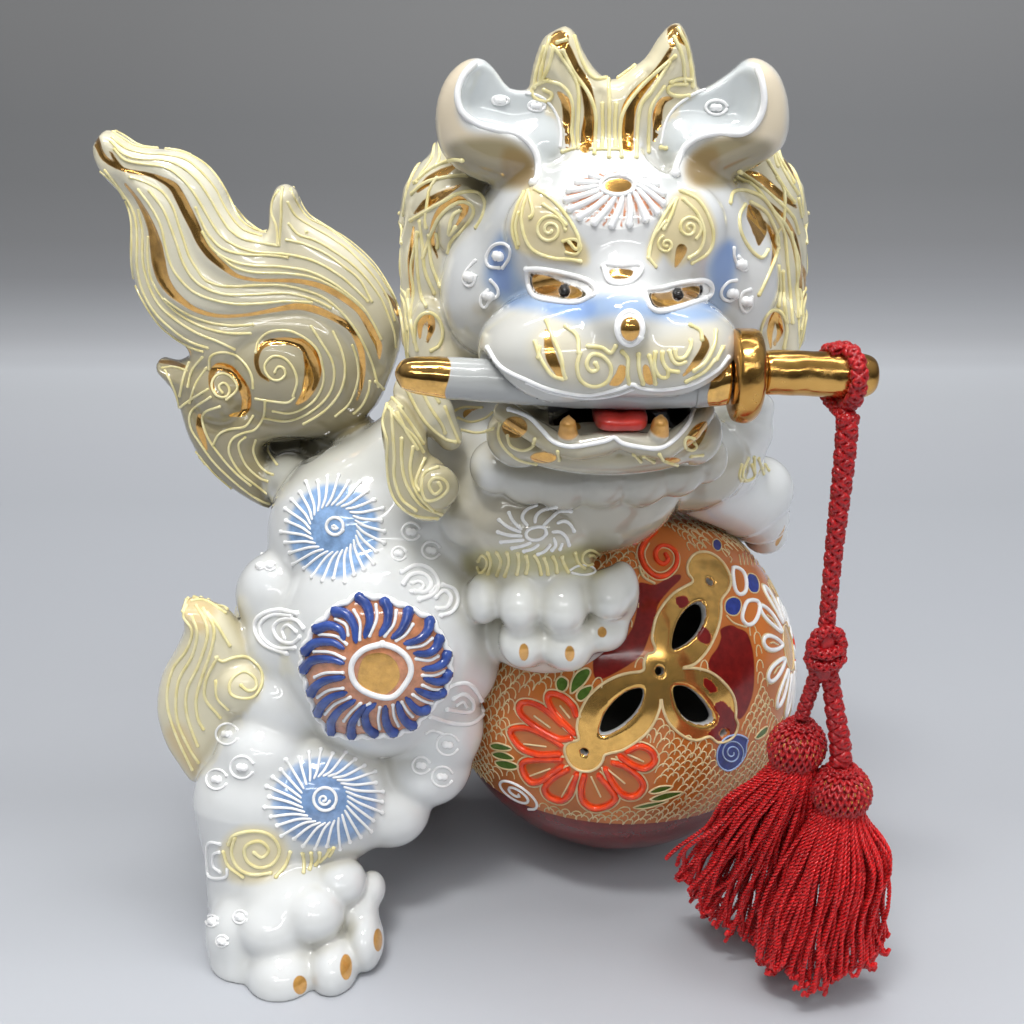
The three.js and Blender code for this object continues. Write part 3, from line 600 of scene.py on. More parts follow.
HL, HR = C(99.4, -72.0, 85.0), C(112.2, -78.6, 73.6)
head_l = tassel_head("tassel_head_left", HL, (8.3, 7.9, 8.3), (0.6, 0))
head_r = tassel_head("tassel_head_right", HR, (8.6, 8.2, 8.2), (-0.3, 0))

# a skirt of twisted threads: each is a thin cord that ends in a small turned loop
def skirt(name, top, ends, count, rt, seed, bend, wave=1.0, flare=(2.6, 2.6)):
    """ends(s, c, R) gives the foot of a thread from its place in the bundle, s to the right and c to the front"""
    R = np.random.default_rng(seed)
    bag = Bag()
    for i in range(count):
        t = 2 * math.pi * ((i * 0.6180339887) % 1.0)
        q = 0.42 + 0.58 * math.sqrt((i + 0.5) / count)
        s, c = q * math.sin(t), q * math.cos(t)
        a = top + np.array([rt * s * 0.8, -rt * 0.75 * c, 3.0])
        b = top + np.array([rt * 1.02 * s, -rt * 0.98 * c, -3.5])
        end = ends(s, c, R)
        w = end - b
        m1 = b + w * 0.30 + np.array([s * (flare[1] if s > 0 else flare[0]), -c * 1.9, 0]) + bend + np.array([R.normal(0, 0.5), R.normal(0, 0.4), 0])
        m2 = b + w * 0.66 + np.array([s * 1.5, -c * 1.0, 0]) + bend * 0.6 + np.array([R.normal(0, 0.8), R.normal(0, 0.6), 0])
        pts = curve_through(np.array([a, b, m1, m2, end]), 5)
        u = np.linspace(0, 1, len(pts))
        A = wave * (0.35 + 1.1 * R.random() ** 2) * np.clip((u - 0.2) * 1.7, 0, 1)
        f, p1, p2 = 0.9 + 1.5 * R.random(), R.random() * 6.28, R.random() * 6.28
        pts[:, 0] += A * (np.sin(6.28 * f * u + p1) - 0.4 * math.sin(p1))
        pts[:, 1] += 0.7 * A * np.sin(6.28 * f * 0.8 * u + p2)
        if R.random() < 0.45:
            h_ = R.choice([-1.0, 1.0])
            pts = np.vstack([pts, pts[-1] + np.array([h_ * 0.9, -0.3, -1.3]), pts[-1] + np.array([h_ * 2.1, -0.5, -1.2 + 0.9 * R.random()])])
        pts[:, 2] = np.maximum(pts[:, 2], 1.3)
        bag.strand(pts, 0.74, pitch=2.6 + R.random() * 0.5, plies=2, step=0.46, sides=4, phase=R.random() * 6, a=R.random())
        e = resample(curve_through(pts, 5), step=0.5)
        bag.tube(np.array([e[-1] + np.array([0.25, 0, 0.5]), e[-1] + np.array([-0.15, 0, -0.35])]), 0.72, 6, 0.5)
    return bag.mesh(name, [M_THREAD], "strand")

def ends_right(s, c, R):
    x = 822 + 66 * s
    y = np.interp(x, [756, 765, 790, 820, 850, 875, 888], [955, 968, 974, 990, 972, 962, 935]) - 7 * (1 - c) + R.normal(0, 4)
    return W(x, y, 319.5 - 11.0 * c)

def ends_left(s, c, R):
    x = 741 + 66 * s
    y = np.interp(x, [672, 680, 690, 700, 720, 740, 765, 800], [858, 872, 890, 905, 925, 936, 948, 950]) - 6 * (1 - c) + R.normal(0, 4)
    return W(x, y, 343.0 - 11.0 * c)

N_THREADS = 112
skirt_r = skirt("tassel_skirt_right", HR + np.array([0.2, -0.2, -6.0]), ends_right, N_THREADS, 8.2, 11, np.array([0.2, -0.6, 0.0]), 1.0, (2.6, 5.2))
skirt_l = skirt("tassel_skirt_left", HL + np.array([-0.8, 0.4, -6.0]), ends_left, N_THREADS, 7.8, 12, np.array([-0.8, 0.4, 0.0]), 1.9, (2.6, 2.6))

for o, body in ((cord_stem, "cord"), (cord_loop, "cord"), (cord_knot, "cord"), (branch_l, "tassel_left"), (head_l, "tassel_left"), (skirt_l, "tassel_left"),
                (branch_r, "tassel_right"), (head_r, "tassel_right"), (skirt_r, "tassel_right")):
    stand_for(o, o.name[5:], body)

# ------------------------------------------------------------------ glazed porcelain with enamel layers
LAYERS = [("lblue", (0.245, 0.395, 0.645), 0, 0.9), ("terra", (0.58, 0.24, 0.12), 0, 0.22), ("cobalt", (0.025, 0.045, 0.26), 0, 0.2),
          ("orange", (0.86, 0.085, 0.010), 0, 0.2), ("dred", (0.185, 0.008, 0.006), 0, 0.2), ("green", (0.085, 0.165, 0.025), 0, 0.2),
          ("cream", (0.72, 0.60, 0.36), 0, 0.2), ("white", (0.84, 0.84, 0.82), 0, 0.2), ("ochre", (0.70, 0.37, 0.095), 0.4, 0.2),
          ("black", (0.012, 0.007, 0.006), 0, 0.2), ("gold", (0.84, 0.49, 0.135), 1, 0.2)]

def porcelain(name, layers=LAYERS, base=(0.80, 0.81, 0.80), tinted=True, rough=0.10, wavy=0.10, coat=0.6, spec=0.55, gmet=1.0, grough=None, gdark=0.72):
    m = bpy.data.materials.new(name)
    nt, b = nodes_of(m)
    L = nt.links
    def attr(n):
        a = nt.nodes.new("ShaderNodeAttribute"); a.attribute_name = n; a.attribute_type = 'GEOMETRY'
        return a
    n = noise(nt, 45, 4, 0.6)
    v = ramp(nt, n.outputs[0], [(0.3, (0.93, 0.94, 0.95)), (0.7, (1, 1, 1))])
    mix = nt.nodes.new("ShaderNodeMix"); mix.data_type = 'RGBA'; mix.blend_type = 'MULTIPLY'
    mix.inputs[0].default_value = 1.0
    if tinted:
        L.new(attr("tint").outputs["Color"], mix.inputs[6])
    else:
        mix.inputs[6].default_value = (*base, 1)
    L.new(v.outputs[0], mix.inputs[7])
    col = mix.outputs[2]; metal = None
    mott = noise(nt, 320, 3, 0.6)
    for lay, c, met, soft in layers:
        a = attr(lay)
        f = nt.nodes.new("ShaderNodeMapRange"); f.interpolation_type = 'SMOOTHSTEP'
        f.inputs["From Min"].default_value = 0.5 - soft * 0.5; f.inputs["From Max"].default_value = 0.5 + soft * 0.5
        L.new(a.outputs["Fac"], f.inputs["Value"])
        dark = tuple(x * (gdark if met else 0.72) for x in c); lite = tuple(min(1, x * 1.18) for x in c)
        cr = ramp(nt, mott.outputs[0], [(0.32, dark), (0.68, lite)])
        x = nt.nodes.new("ShaderNodeMix"); x.data_type = 'RGBA'
        L.new(f.outputs[0], x.inputs[0]); L.new(col, x.inputs[6]); L.new(cr.outputs[0], x.inputs[7])
        col = x.outputs[2]
        if met:
            g = nt.nodes.new("ShaderNodeMix"); g.data_type = 'FLOAT'
            g.inputs[3].default_value = float(met) * (gmet if lay == "gold" else 1.0)
            L.new(f.outputs[0], g.inputs[0])
            if metal is not None:
                L.new(metal, g.inputs[2])
            metal = g.outputs[0]
        elif metal is not None:
            g = nt.nodes.new("ShaderNodeMix"); g.data_type = 'FLOAT'; g.inputs[3].default_value = 0.0
            L.new(f.outputs[0], g.inputs[0]); L.new(metal, g.inputs[2]); metal = g.outputs[0]
    L.new(col, b.inputs["Base Color"])
    if metal is not None:
        L.new(metal, b.inputs["Metallic"])
    rn = noise(nt, 130, 2, 0.5)
    rr = nt.nodes.new("ShaderNodeMapRange")
    rr.inputs["From Min"].default_value = 0.3; rr.inputs["From Max"].default_value = 0.7
    rr.inputs["To Min"].default_value = rough * 0.75; rr.inputs["To Max"].default_value = rough * 1.5
    L.new(rn.outputs[0], rr.inputs["Value"]); L.new(rr.outputs[0], b.inputs["Roughness"])
    if grough is not None:
        gr = nt.nodes.new("ShaderNodeMix"); gr.data_type = 'FLOAT'; gr.inputs[3].default_value = grough
        L.new(f.outputs[0], gr.inputs[0]); L.new(rr.outputs[0], gr.inputs[2]); L.new(gr.outputs[0], b.inputs["Roughness"])
    b.inputs["IOR"].default_value = 1.52
    b.inputs["Specular IOR Level"].default_value = spec
    b.inputs["Coat Weight"].default_value = coat
    b.inputs["Coat Roughness"].default_value = 0.03
    bn = noise(nt, 38, 3, 0.5)
    bump(nt, b, bn.outputs[0], wavy, 0.004)
    return m

M_LION = porcelain("white_porcelain", layers=[l if l[0] != "gold" else ("gold", (0.80, 0.445, 0.11), 1, 0.2) for l in LAYERS], rough=0.09, coat=1.0, gmet=0.92, grough=0.14, gdark=0.8)
M_BALL = porcelain("ball_enamel", rough=0.12, coat=0.15, spec=0.4, gmet=0.86, gdark=0.86)
M_PLAIN = porcelain("plain_porcelain", layers=[], tinted=False)

def enamel(name, base, dark, rough=0.22):
    m = bpy.data.materials.new(name)
    nt, b = nodes_of(m)
    n = noise(nt, 260, 2, 0.5)
    r = ramp(nt, n.outputs[0], [(0.3, dark), (0.65, base)])
    nt.links.new(r.outputs[0], b.inputs["Base Color"])
    b.inputs["Roughness"].default_value = rough
    b.inputs["Coat Weight"].default_value = 0.4
    b.inputs["Coat Roughness"].default_value = 0.08
    n2 = noise(nt, 900, 2, 0.5)
    bump(nt, b, n2.outputs[0], 0.15, 0.0003)
    return m

E_WHITE = enamel("raised_white", (0.95, 0.95, 0.94), (0.88, 0.885, 0.89))
E_YELLOW = enamel("raised_yellow", (0.88, 0.80, 0.46), (0.80, 0.70, 0.32))
E_CREAM = enamel("raised_cream", (0.80, 0.64, 0.36), (0.64, 0.48, 0.24))
E_COBALT = enamel("raised_cobalt", (0.045, 0.095, 0.36), (0.025, 0.050, 0.20))
E_LBLUE = enamel("raised_light_blue", (0.42, 0.55, 0.80), (0.30, 0.42, 0.72))
E_ORANGE = enamel("raised_orange", (0.90, 0.075, 0.010), (0.72, 0.042, 0.008))
E_BLACK = enamel("black_enamel", (0.012, 0.010, 0.010), (0.006, 0.005, 0.005), 0.3)
E_GREEN = enamel("raised_green", (0.08, 0.26, 0.07), (0.03, 0.14, 0.035))
E_BROWN = enamel("raised_brown", (0.42, 0.16, 0.05), (0.28, 0.09, 0.03))
E_RED = enamel("raised_red", (0.42, 0.03, 0.02), (0.26, 0.012, 0.008))
E_TONGUE = enamel("red_enamel", (0.50, 0.035, 0.022), (0.36, 0.020, 0.014), 0.30)

# ------------------------------------------------------------------ gold, and the sword
def gold_material(name, base=(0.80, 0.48, 0.145), dark=(0.57, 0.30, 0.075), rough=0.16, wavy=0.5):
    m = bpy.data.materials.new(name)
    nt, b = nodes_of(m)
    n = noise(nt, 60, 3, 0.55)
    r = ramp(nt, n.outputs[0], [(0.35, dark), (0.62, base)])
    nt.links.new(r.outputs[0], b.inputs["Base Color"])
    b.inputs["Metallic"].default_value = 1.0
    n2 = noise(nt, 240, 2, 0.5)
    rr = nt.nodes.new("ShaderNodeMapRange")
    rr.inputs["From Min"].default_value = 0.3; rr.inputs["From Max"].default_value = 0.7
    rr.inputs["To Min"].default_value = rough * 0.7; rr.inputs["To Max"].default_value = rough * 1.8
    nt.links.new(n2.outputs[0], rr.inputs["Value"])
    nt.links.new(rr.outputs[0], b.inputs["Roughness"])
    n3 = noise(nt, 110, 2, 0.5)
    bump(nt, b, n3.outputs[0], wavy, 0.0012)
    return m

M_GOLD = gold_material("gold_lustre")
M_BRONZE = gold_material("bronze_gold", (0.66, 0.36, 0.10), (0.42, 0.20, 0.05), 0.16, 0.35)

def revolve_x(rows, centre, sides=48, wob=0.0, seed=1, squash=1.0):
    """closed body of revolution about x; rows are (x, radius, z offset)"""
    R = np.random.default_rng(seed)
    rows = np.array(rows, float)
    m = len(rows); th = np.linspace(0, 2 * np.pi, sides, endpoint=False)
    ph = R.random(6) * 6
    V = []
    for x, r, dz in rows:
        w = 1 + wob * (0.5 * np.sin(2 * th + x * 0.35 + ph[0]) + 0.3 * np.sin(3 * th - x * 0.55 + ph[1]) + 0.4 * np.sin(x * 0.45 + ph[2]) + 0.3 * np.sin(th + x * 0.9 + ph[3]))
        V.append(np.stack([np.full(sides, x), np.cos(th) * r * w, np.sin(th) * r * w * squash + dz], 1))
    V = np.concatenate(V) + centre
    i = np.arange(m - 1)[:, None] * sides; j = np.arange(sides)[None, :]; k = (j + 1) % sides
    F = np.stack([i + j, i + k, i + sides + k, i + sides + j], -1).reshape(-1, 4)
    a = len(V); V = np.vstack([V, V[:sides].mean(0), V[-sides:].mean(0)])
    e = np.arange(0, sides, 2)
    F = np.concatenate([F, np.stack([np.full(len(e), a), (e + 2) % sides, e + 1, e], -1), np.stack([np.full(len(e), a + 1), (m - 1) * sides + e, (m - 1) * sides + e + 1, (m - 1) * sides + (e + 2) % sides], -1)])
    return V, F

def smooth_rows(pts, n=8):
    return curve_through(np.array(pts, float), n)

SY = 333.0
# hilt: a plain round grip, a little uneven, with a domed end
rows = smooth_rows([(69.6, 4.6, 0.2), (69.9, 6.0, 0.2), (74, 6.25, 0.0), (82, 6.2, -0.2), (90, 6.35, -0.6), (95.5, 6.3, -0.8), (98.3, 5.6, -0.8), (100.0, 4.1, -0.8), (100.7, 1.7, -0.8), (100.8, 0.3, -0.8)], 8)
V, Fq = revolve_x(rows, np.array([0, SY, 199.6]), 56, 0.028, 3)
hilt = make_mesh("sword_hilt", V, [Fq], [M_GOLD])
# guard: a thick rounded disc with an uneven hand-modelled edge
rows = smooth_rows([(60.0, 6.6, -0.4), (60.1, 10.2, -0.6), (60.9, 12.6, -0.8), (62.6, 13.2, -0.8), (65.6, 12.9, -0.6), (67.6, 11.6, -0.4), (68.6, 8.8, -0.1), (69.3, 6.2, 0)], 8)
V, Fq = revolve_x(rows, np.array([0, SY, 199.6]), 64, 0.03, 5)
guard = make_mesh("sword_guard", V, [Fq], [M_GOLD])
# collar between scabbard and guard
rows = smooth_rows([(50.6, 5.0, -3.4), (50.8, 6.0, -3.4), (53.5, 6.2, -2.9), (55.4, 6.5, -2.4), (57.5, 7.3, -1.6), (59.4, 7.3, -1.2), (59.7, 5.6, -1.2)], 8)
V, Fq = revolve_x(rows, np.array([0, SY, 199.2]), 48, 0.03, 9)
collar_V, collar_F = V, Fq
# scabbard: a gently curved flattened tube, gold cap on its end
pts = [(-32.2, 0.6, 199.4), (-31.6, 2.2, 199.3), (-30.0, 4.2, 199.1), (-27, 5.2, 198.9), (-22, 5.6, 198.5), (-17.1, 5.95, 198.1), (0, 6.2, 197.0), (13.3, 6.3, 196.2), (24, 6.25, 195.6), (35.4, 6.15, 195.3), (46, 5.8, 195.4), (50.6, 5.6, 195.6), (50.9, 4.0, 195.6)]
rows = smooth_rows([(x, r, z - 199.6) for x, r, z in pts], 16)
V, Fq = revolve_x(rows, np.array([0, SY, 199.6]), 72, 0.015, 4, 0.98)
edge = -17.6 + 0.9 * np.sin((V[:, 2] - 198) * 0.42 + 0.4) + 0.35 * np.sin(V[:, 1] * 0.9)
M_SCAB = porcelain("scabbard_porcelain", layers=[l for l in LAYERS if l[0] == "gold"], base=(0.42, 0.43, 0.42), tinted=False)
cedge = 54.2 + 0.7 * np.sin((collar_V[:, 2] - 198) * 0.5) + 0.4 * np.sin(collar_V[:, 1] * 0.8)
collar = make_mesh("sword_collar", collar_V, [collar_F], [M_SCAB], attrs={"gold": np.clip(0.5 + (collar_V[:, 0] - cedge) / 2.4, 0, 1)})
scab = make_mesh("scabbard", V, [Fq], [M_SCAB], attrs={"gold": np.clip(0.5 - (V[:, 0] - edge) / 2.4, 0, 1)})
for o in (hilt, guard, collar):
    stand_for(o, o.name[5:], "sword")
stand_for(scab, "scabbard", "sword")
# the tongue: a soft rounded slab with a shallow furrow
tu = np.linspace(-np.pi / 2 + 0.03, np.pi / 2 - 0.03, 25); tv = np.linspace(-np.pi, np.pi, 49)[:-1]
def sp(a, e):
    return np.sign(a) * np.abs(a) ** e
U_, V_2 = np.meshgrid(tu, tv, indexing='ij')
TX = 7.5 * sp(np.cos(U_), 0.5) * sp(np.cos(V_2), 0.42)
TY = 13.0 * sp(np.cos(U_), 0.55) * sp(np.sin(V_2), 0.55)
TZ = 2.5 * sp(np.sin(U_), 0.6)
TZ = TZ - 0.7 * np.exp(-(TX / 1.6) ** 2) * (TZ > 0) * np.clip(TZ / 2.5, 0, 1)
TV = np.stack([TX + 30.2, TY + 337.3, TZ + 186.8], -1).reshape(-1, 3)
i = np.arange(24)[:, None] * 48; j = np.arange(48)[None, :]; k = (j + 1) % 48
TQ = np.stack([i + j, i + k, i + 48 + k, i + 48 + j], -1).reshape(-1, 4)
caps = np.stack([np.arange(48)[::-1], 24 * 48 + np.arange(48)])
tongue = make_mesh("tongue", TV, [TQ, caps], [E_TONGUE])
stand_for(tongue, "tongue", "lion")

# ------------------------------------------------------------------ the lion's forms
LAB = dict(torso=1, head=2, lower_jaw=3, ear_left=4, ear_right=5, crest=6, mane_left=7, mane_right=8, mane_back=9,
           tail=10, hind_leg_right=11, hind_leg_left=12, thigh_tuft_right=13, foreleg_right=14, foreleg_left=15,
           shoulder_lock=17, thigh_tuft_left=23)

def seg_dist(P, X, Z):
    """distance in the x-z plane to an open line"""
    d = np.full(np.broadcast(X, Z).shape, 1e9)
    for a, b in zip(P[:-1], P[1:]):
        e = b - a
        t = np.clip(((X - a[0]) * e[0] + (Z - a[1]) * e[1]) / (e @ e + 1e-9), 0, 1)
        d = np.minimum(d, np.hypot(X - a[0] - t * e[0], Z - a[1] - t * e[1]))
    return d

def smooth_line(P, n=6):
    P = np.array(P, float)
    if len(P) < 3:
        t = np.linspace(0, 1, n + 1)[:, None]
        return P[0] * (1 - t) + P[-1] * t
    out = []
    Q = np.vstack([2 * P[0] - P[1], P, 2 * P[-1] - P[-2]])
    for i in range(1, len(Q) - 2):
        p0, p1, p2, p3 = Q[i - 1:i + 3]
        for j in range(n):
            t = j / n
            out.append(0.5 * ((2 * p1) + (-p0 + p2) * t + (2 * p0 - 5 * p1 + 4 * p2 - p3) * t * t + (-p0 + 3 * p1 - 3 * p2 + p3) * t ** 3))
    out.append(P[-1])
    return np.array(out)

def plane_px(pts, D):
    return np.array([W(x, y, D)[[0, 2]] for x, y in pts])

TAIL = [(97,140),(106,130),(120,134),(135,144),(152,148),(180,151),(203,163),(220,182),(232,205),(246,222),(262,232),(269,226),(270,205),(276,188),(286,184),(296,190),(301,204),(308,215),(326,227),(350,242),(372,262),(387,284),(397,305),(403,325),(400,350),(390,378),(378,404),(360,420),(338,432),(312,438),(287,440),(270,441),(267,450),(274,458),(283,464),(280,476),(275,488),(272,506),(240,490),(210,465),(191,436),(181,405),(174,388),(166,378),(158,368),(161,358),(176,361),(190,354),(186,344),(168,330),(150,310),(138,284),(131,252),(132,222),(127,200),(111,182),(99,165),(94,150)]
BAND1 = [(105,150),(130,165),(165,180),(185,205),(195,235),(215,265),(245,280),(300,283),(340,297),(370,325),(380,360)]
BAND2 = [(125,180),(145,210),(155,245),(160,280),(180,305),(220,315),(280,308),(320,310),(350,335),(365,370),(360,400)]
CREST = [(532,150),(528,118),(529,90),(533,65),(542,40),(553,31),(566,26),(576,34),(583,50),(592,65),(603,76),(615,79),(628,70),(645,58),(658,38),(670,25),(680,24),(688,38),(694,62),(697,90),(696,118),(690,150),(660,165),(560,165)]
EAR_L = [(480,58),(462,62),(445,80),(436,108),(437,138),(449,162),(478,180),(512,186),(540,182),(560,150),(556,115),(535,92),(510,88),(494,68)]
CUP_L = [(487,46),(465,82),(461,108),(475,126),(500,133),(524,142),(537,160),(552,168),(575,150),(580,110),(560,70),(520,50)]
EAR_R = [(748,58),(766,62),(780,78),(788,108),(785,140),(766,160),(738,174),(706,186),(676,182),(662,150),(664,115),(680,95),(705,88),(730,72)]
CUP_R = [(742,46),(757,66),(763,92),(757,122),(737,135),(702,137),(682,150),(675,168),(662,172),(642,150),(650,110),(668,70),(705,46)]
LOCK = [(384,408),(393,398),(405,403),(415,418),(426,436),(430,454),(441,462),(452,476),(456,491),(451,507),(440,517),(424,519),(407,512),(394,500),(387,478),(384,450),(381,428)]
CURLS = [(6, 245, 11), (29, 250, 12), (52, 245, 11), (-2, 222, 12), (22, 226, 13), (45, 224, 13), (64, 218, 11), (-8, 196, 12), (14, 200, 13), (38, 200, 13), (60, 194, 12), (-16, 172, 12), (6, 174, 13), (30, 174, 13), (54, 170, 12), (-4, 152, 11), (18, 150, 12), (42, 150, 11)]
TUFT_FAR = [(-92, 103), (-85, 101), (-76, 95), (-70, 87), (-70, 76), (-79, 68), (-90, 60), (-98, 48), (-106, 62), (-107, 78), (-101, 92)]

def curl_y(x, z):
    return 431 + (6 if z < 230 else 0) - abs(x - 26) * 0.22
TUFT = [(183,603),(196,600),(212,605),(226,612),(240,628),(255,650),(268,675),(268,700),(258,718),(240,738),(226,756),(198,777),(178,755),(165,732),(158,702),(163,672),(176,648),(185,625)]

def sculpt(h, lo=(-142, 300, -2), hi=(125, 476, 298)):
    g = Grid(lo, hi, h)
    A = LAB
    def E(label, px, py, D, r, k=4, R=None, mode='add'):
        g.ell(W(px, py, D), r, R, k, A.get(label, 0), mode)
    def EW(label, c, r, k=4, R=None, mode='add'):
        g.ell(c, r, R, k, A.get(label, 0), mode)
    def T(label, pts, rr, k=4, mode='add'):
        g.tube([W(*p) for p in pts], rr, k, A.get(label, 0), mode)
    def TW(label, pts, rr, k=4, mode='add'):
        g.tube(pts, rr, k, A.get(label, 0), mode)
    def S(label, pxs, D, T_, R, k=4, mode='add', n=3, warp=None):
        P = smooth_poly(plane_px(pxs, D), n)
        g.slab(P, D, T_, R, k, A.get(label, 0), mode, warp=warp)
    # trunk
    EW('torso', (-51, 396, 127), (32.5, 32, 33), 8)
    EW('torso', (-14, 400, 140), (44, 31, 38), 14)
    EW('torso', (24, 402, 158), (36, 31, 36), 12)
    T('torso', [(596, 462, 385), (612, 330, 392)], [30, 38], 10)
    E('torso', 290, 480, 409, (9, 12, 10), 4)
    T('torso', [(272, 459, 425), (300, 452, 426), (345, 444, 422)], [9.5, 9.5, 9], 4)
    E('torso', 505, 500, 378, (20, 18, 20), 8)
    E('torso', 690, 462, 394, (19, 17, 16), 8)
    # near hind leg: haunch and its bulges, lower leg, foot and toes
    H = 'hind_leg_right'
    EW(H, (-43, 374, 99), (36, 30, 37), 6)
    E(H, 378, 690, 371, (25, 21, 23), 8)
    for px, py, D, r in [(300, 640, 378, (20, 18, 20)), (278, 595, 380, (14, 14, 15)), (285, 700, 372, (17, 17, 17)),
                         (265, 755, 362, (16, 16, 16)), (440, 725, 372, (15, 16, 18)), (455, 660, 374, (15, 16, 18)),
                         (425, 765, 370, (16, 15, 14)), (322, 798, 362, (25, 21, 24)), (390, 808, 364, (14, 14, 13))]:
        E(H, px, py, D, r, 4.5)
    T(H, [(262, 800, 362), (262, 860, 357), (267, 930, 352)], [23, 19.0, 19.5], 6)
    EW(H, (-72, 350, 16), (22, 24, 16), 6)
    E(H, 245, 930, 340, (13, 14, 14), 4)
    E(H, 312, 922, 345, (17, 15, 15), 5)
    E(H, 250, 957, 337, (13, 14, 12), 5)
    E(H, 274, 925, 335, (12.5, 12, 10.5), 3)
    E(H, 315, 914, 334, (9.8, 9.5, 9.4), 2.4)
    E(H, 341, 882, 343, (8.6, 9, 7.8), 2.4)
    E(H, 359, 911, 341, (6.4, 7, 6.2), 2.6)
    E(H, 371, 889, 347, (5.0, 7, 5.6), 2.6)
    E(H, 308, 958, 336, (9, 10, 12), 5)
    E(H, 284, 972, 328, (12.2, 13.4, 11.2), 4.5)
    E(H, 334, 966, 328, (8.0, 11.4, 9.6), 3.6)
    E(H, 366, 941, 335, (6.0, 10, 9.6), 3.4)
    # far hind leg
    H = 'hind_leg_left'
    EW(H, (-50, 424, 100), (33, 26, 35), 6)
    for c, r in [((-70, 432, 82), (17, 15, 17)), ((-28, 432, 78), (15, 14, 16)), ((-62, 430, 56), (23, 20, 26)), ((-38, 430, 50), (13, 13, 12))]:
        EW(H, c, r, 4.5)
    TW(H, [(-66, 430, 60), (-68, 432, 30), (-66, 434, 15)], [19, 17, 16], 6)
    EW(H, (-60, 436, 14), (25, 22, 15), 5)
    for x, y, r in [(-40, 424, 10.5), (-36, 437, 11), (-40, 450, 10.5), (-52, 455, 10)]:
        EW(H, (x, y, 10.5), r, 2.5)
        EW(H, (x - 9, y, 20), r * 0.9, 3)
    # flame tufts behind the thighs
    tl = np.array([W(x, y, 371)[[0, 2]] for x, y in TUFT])
    def tuft_T(X, Z, d2):
        d = np.clip(-d2 / 11.0, 0, 1)
        return 3.0 + 6.5 * np.sqrt(1 - (1 - d) ** 2)
    S('thigh_tuft_right', TUFT, 371, tuft_T, 3, 3)
    E('thigh_tuft_right', 242, 688, 364, (9, 7, 9), 2)
    g.slab(smooth_poly(TUFT_FAR, 4), 427, tuft_T, 3, 3, A['thigh_tuft_left'])
    # near foreleg and paw on the ball
    H = 'foreleg_right'
    T(H, [(505, 470, 384), (525, 530, 374), (548, 575, 370)], [21, 18, 15], 7)
    E(H, 530, 525, 368, (20, 15, 12), 5)
    E(H, 466, 512, 372, (9, 11, 11), 3)
    EW(H, (12, 375, 103), (24, 18.5, 15), 4)
    for px, py, D, r in [(484, 598, 363, (6.0, 9.5, 8.0)), (520, 603, 357.5, (7.2, 10, 9.0)), (563, 605, 356.5, (7.8, 10, 9.2)), (609, 594, 359.5, (7.4, 10.5, 7.8)), (622, 592, 365, (5.6, 9, 10))]:
        E(H, px, py, D, r, 5.0)
    for px, py, D, r in [(524, 641, 358.5, (8.0, 9, 8.6)), (568, 644, 357.5, (8.4, 9, 8.8)), (604, 628, 362, (7.8, 9, 7.4))]:
        E(H, px, py, D, r, 5.0)
    # far foreleg and paw
    H = 'foreleg_left'
    T(H, [(690, 470, 405), (745, 500, 420)], [15, 13], 7)
    T(H, [(726, 464, 403), (748, 432, 402), (758, 408, 402)], [11, 8.5, 5.5], 6)
    E(H, 722, 442, 420, (15, 20, 17), 9)
    for px, py, D, r in [(760, 490, 424, (12, 13, 12.5)), (758, 515, 428, (11.5, 13, 10.5)), (738, 508, 424, (12, 12, 9.5)), (764, 532, 436, (8.5, 11, 8))]:
        E(H, px, py, D, r, 3.5)
    for c, r in [((76, 444, 121), 8), ((92, 446, 114), 9), ((96, 438, 114), 7.5), ((86, 452, 112), 8)]:
        EW(H, c, r, 2.5)
    # head
    H = 'head'
    E(H, 612, 250, 380, (43, 36, 38), 8)
    E(H, 610, 292, 386, (50, 30, 27), 10)
    E(H, 612, 232, 371, (38, 30, 27), 10)
    E(H, 484, 290, 373, (13, 15, 19), 12)
    E(H, 733, 282, 374, (13, 15, 19), 12)
    E(H, 608, 345, 346, (37, 24, 18.5), 6)
    E(H, 560, 355, 337, (22, 17, 14), 6)
    E(H, 662, 350, 337, (21, 17, 14), 6)
    E(H, 622, 322, 334, (12, 13, 11), 5)
    E(H, 620, 285, 346, (13, 12, 12), 6)
    E(H, 549, 230, 351.5, (12.0, 6.5, 12.0), 4, rot(0, -25, 0))
    E(H, 684, 230, 351.5, (11.0, 6.5, 12.0), 4, rot(0, 22, 0))
    E(H, 630, 329, 321.5, (4.2, 3.5, 4.0), 1.5)
    # crest with upright hair
    grooves = [plane_px(l, 368) for l in ([(560, 60), (562, 100), (566, 150)], [(577, 75), (585, 110), (590, 150)], [(600, 95), (603, 150)],
                                          [(645, 75), (630, 105), (625, 150)], [(668, 60), (655, 100), (655, 150)], [(545, 60), (540, 110), (545, 150)], [(685, 60), (682, 110), (675, 150)])]
    def crest_T(X, Z, d2):
        d = np.clip(-d2 / 9.0, 0, 1)
        t = 3.0 + 5.5 * np.sqrt(1 - (1 - d) ** 2)
        for p in grooves:
            t = t - 1.0 * np.exp(-(seg_dist(p, X, Z) / 1.4) ** 2)
        return t
    S('crest', CREST, 368, crest_T, 3, 3)
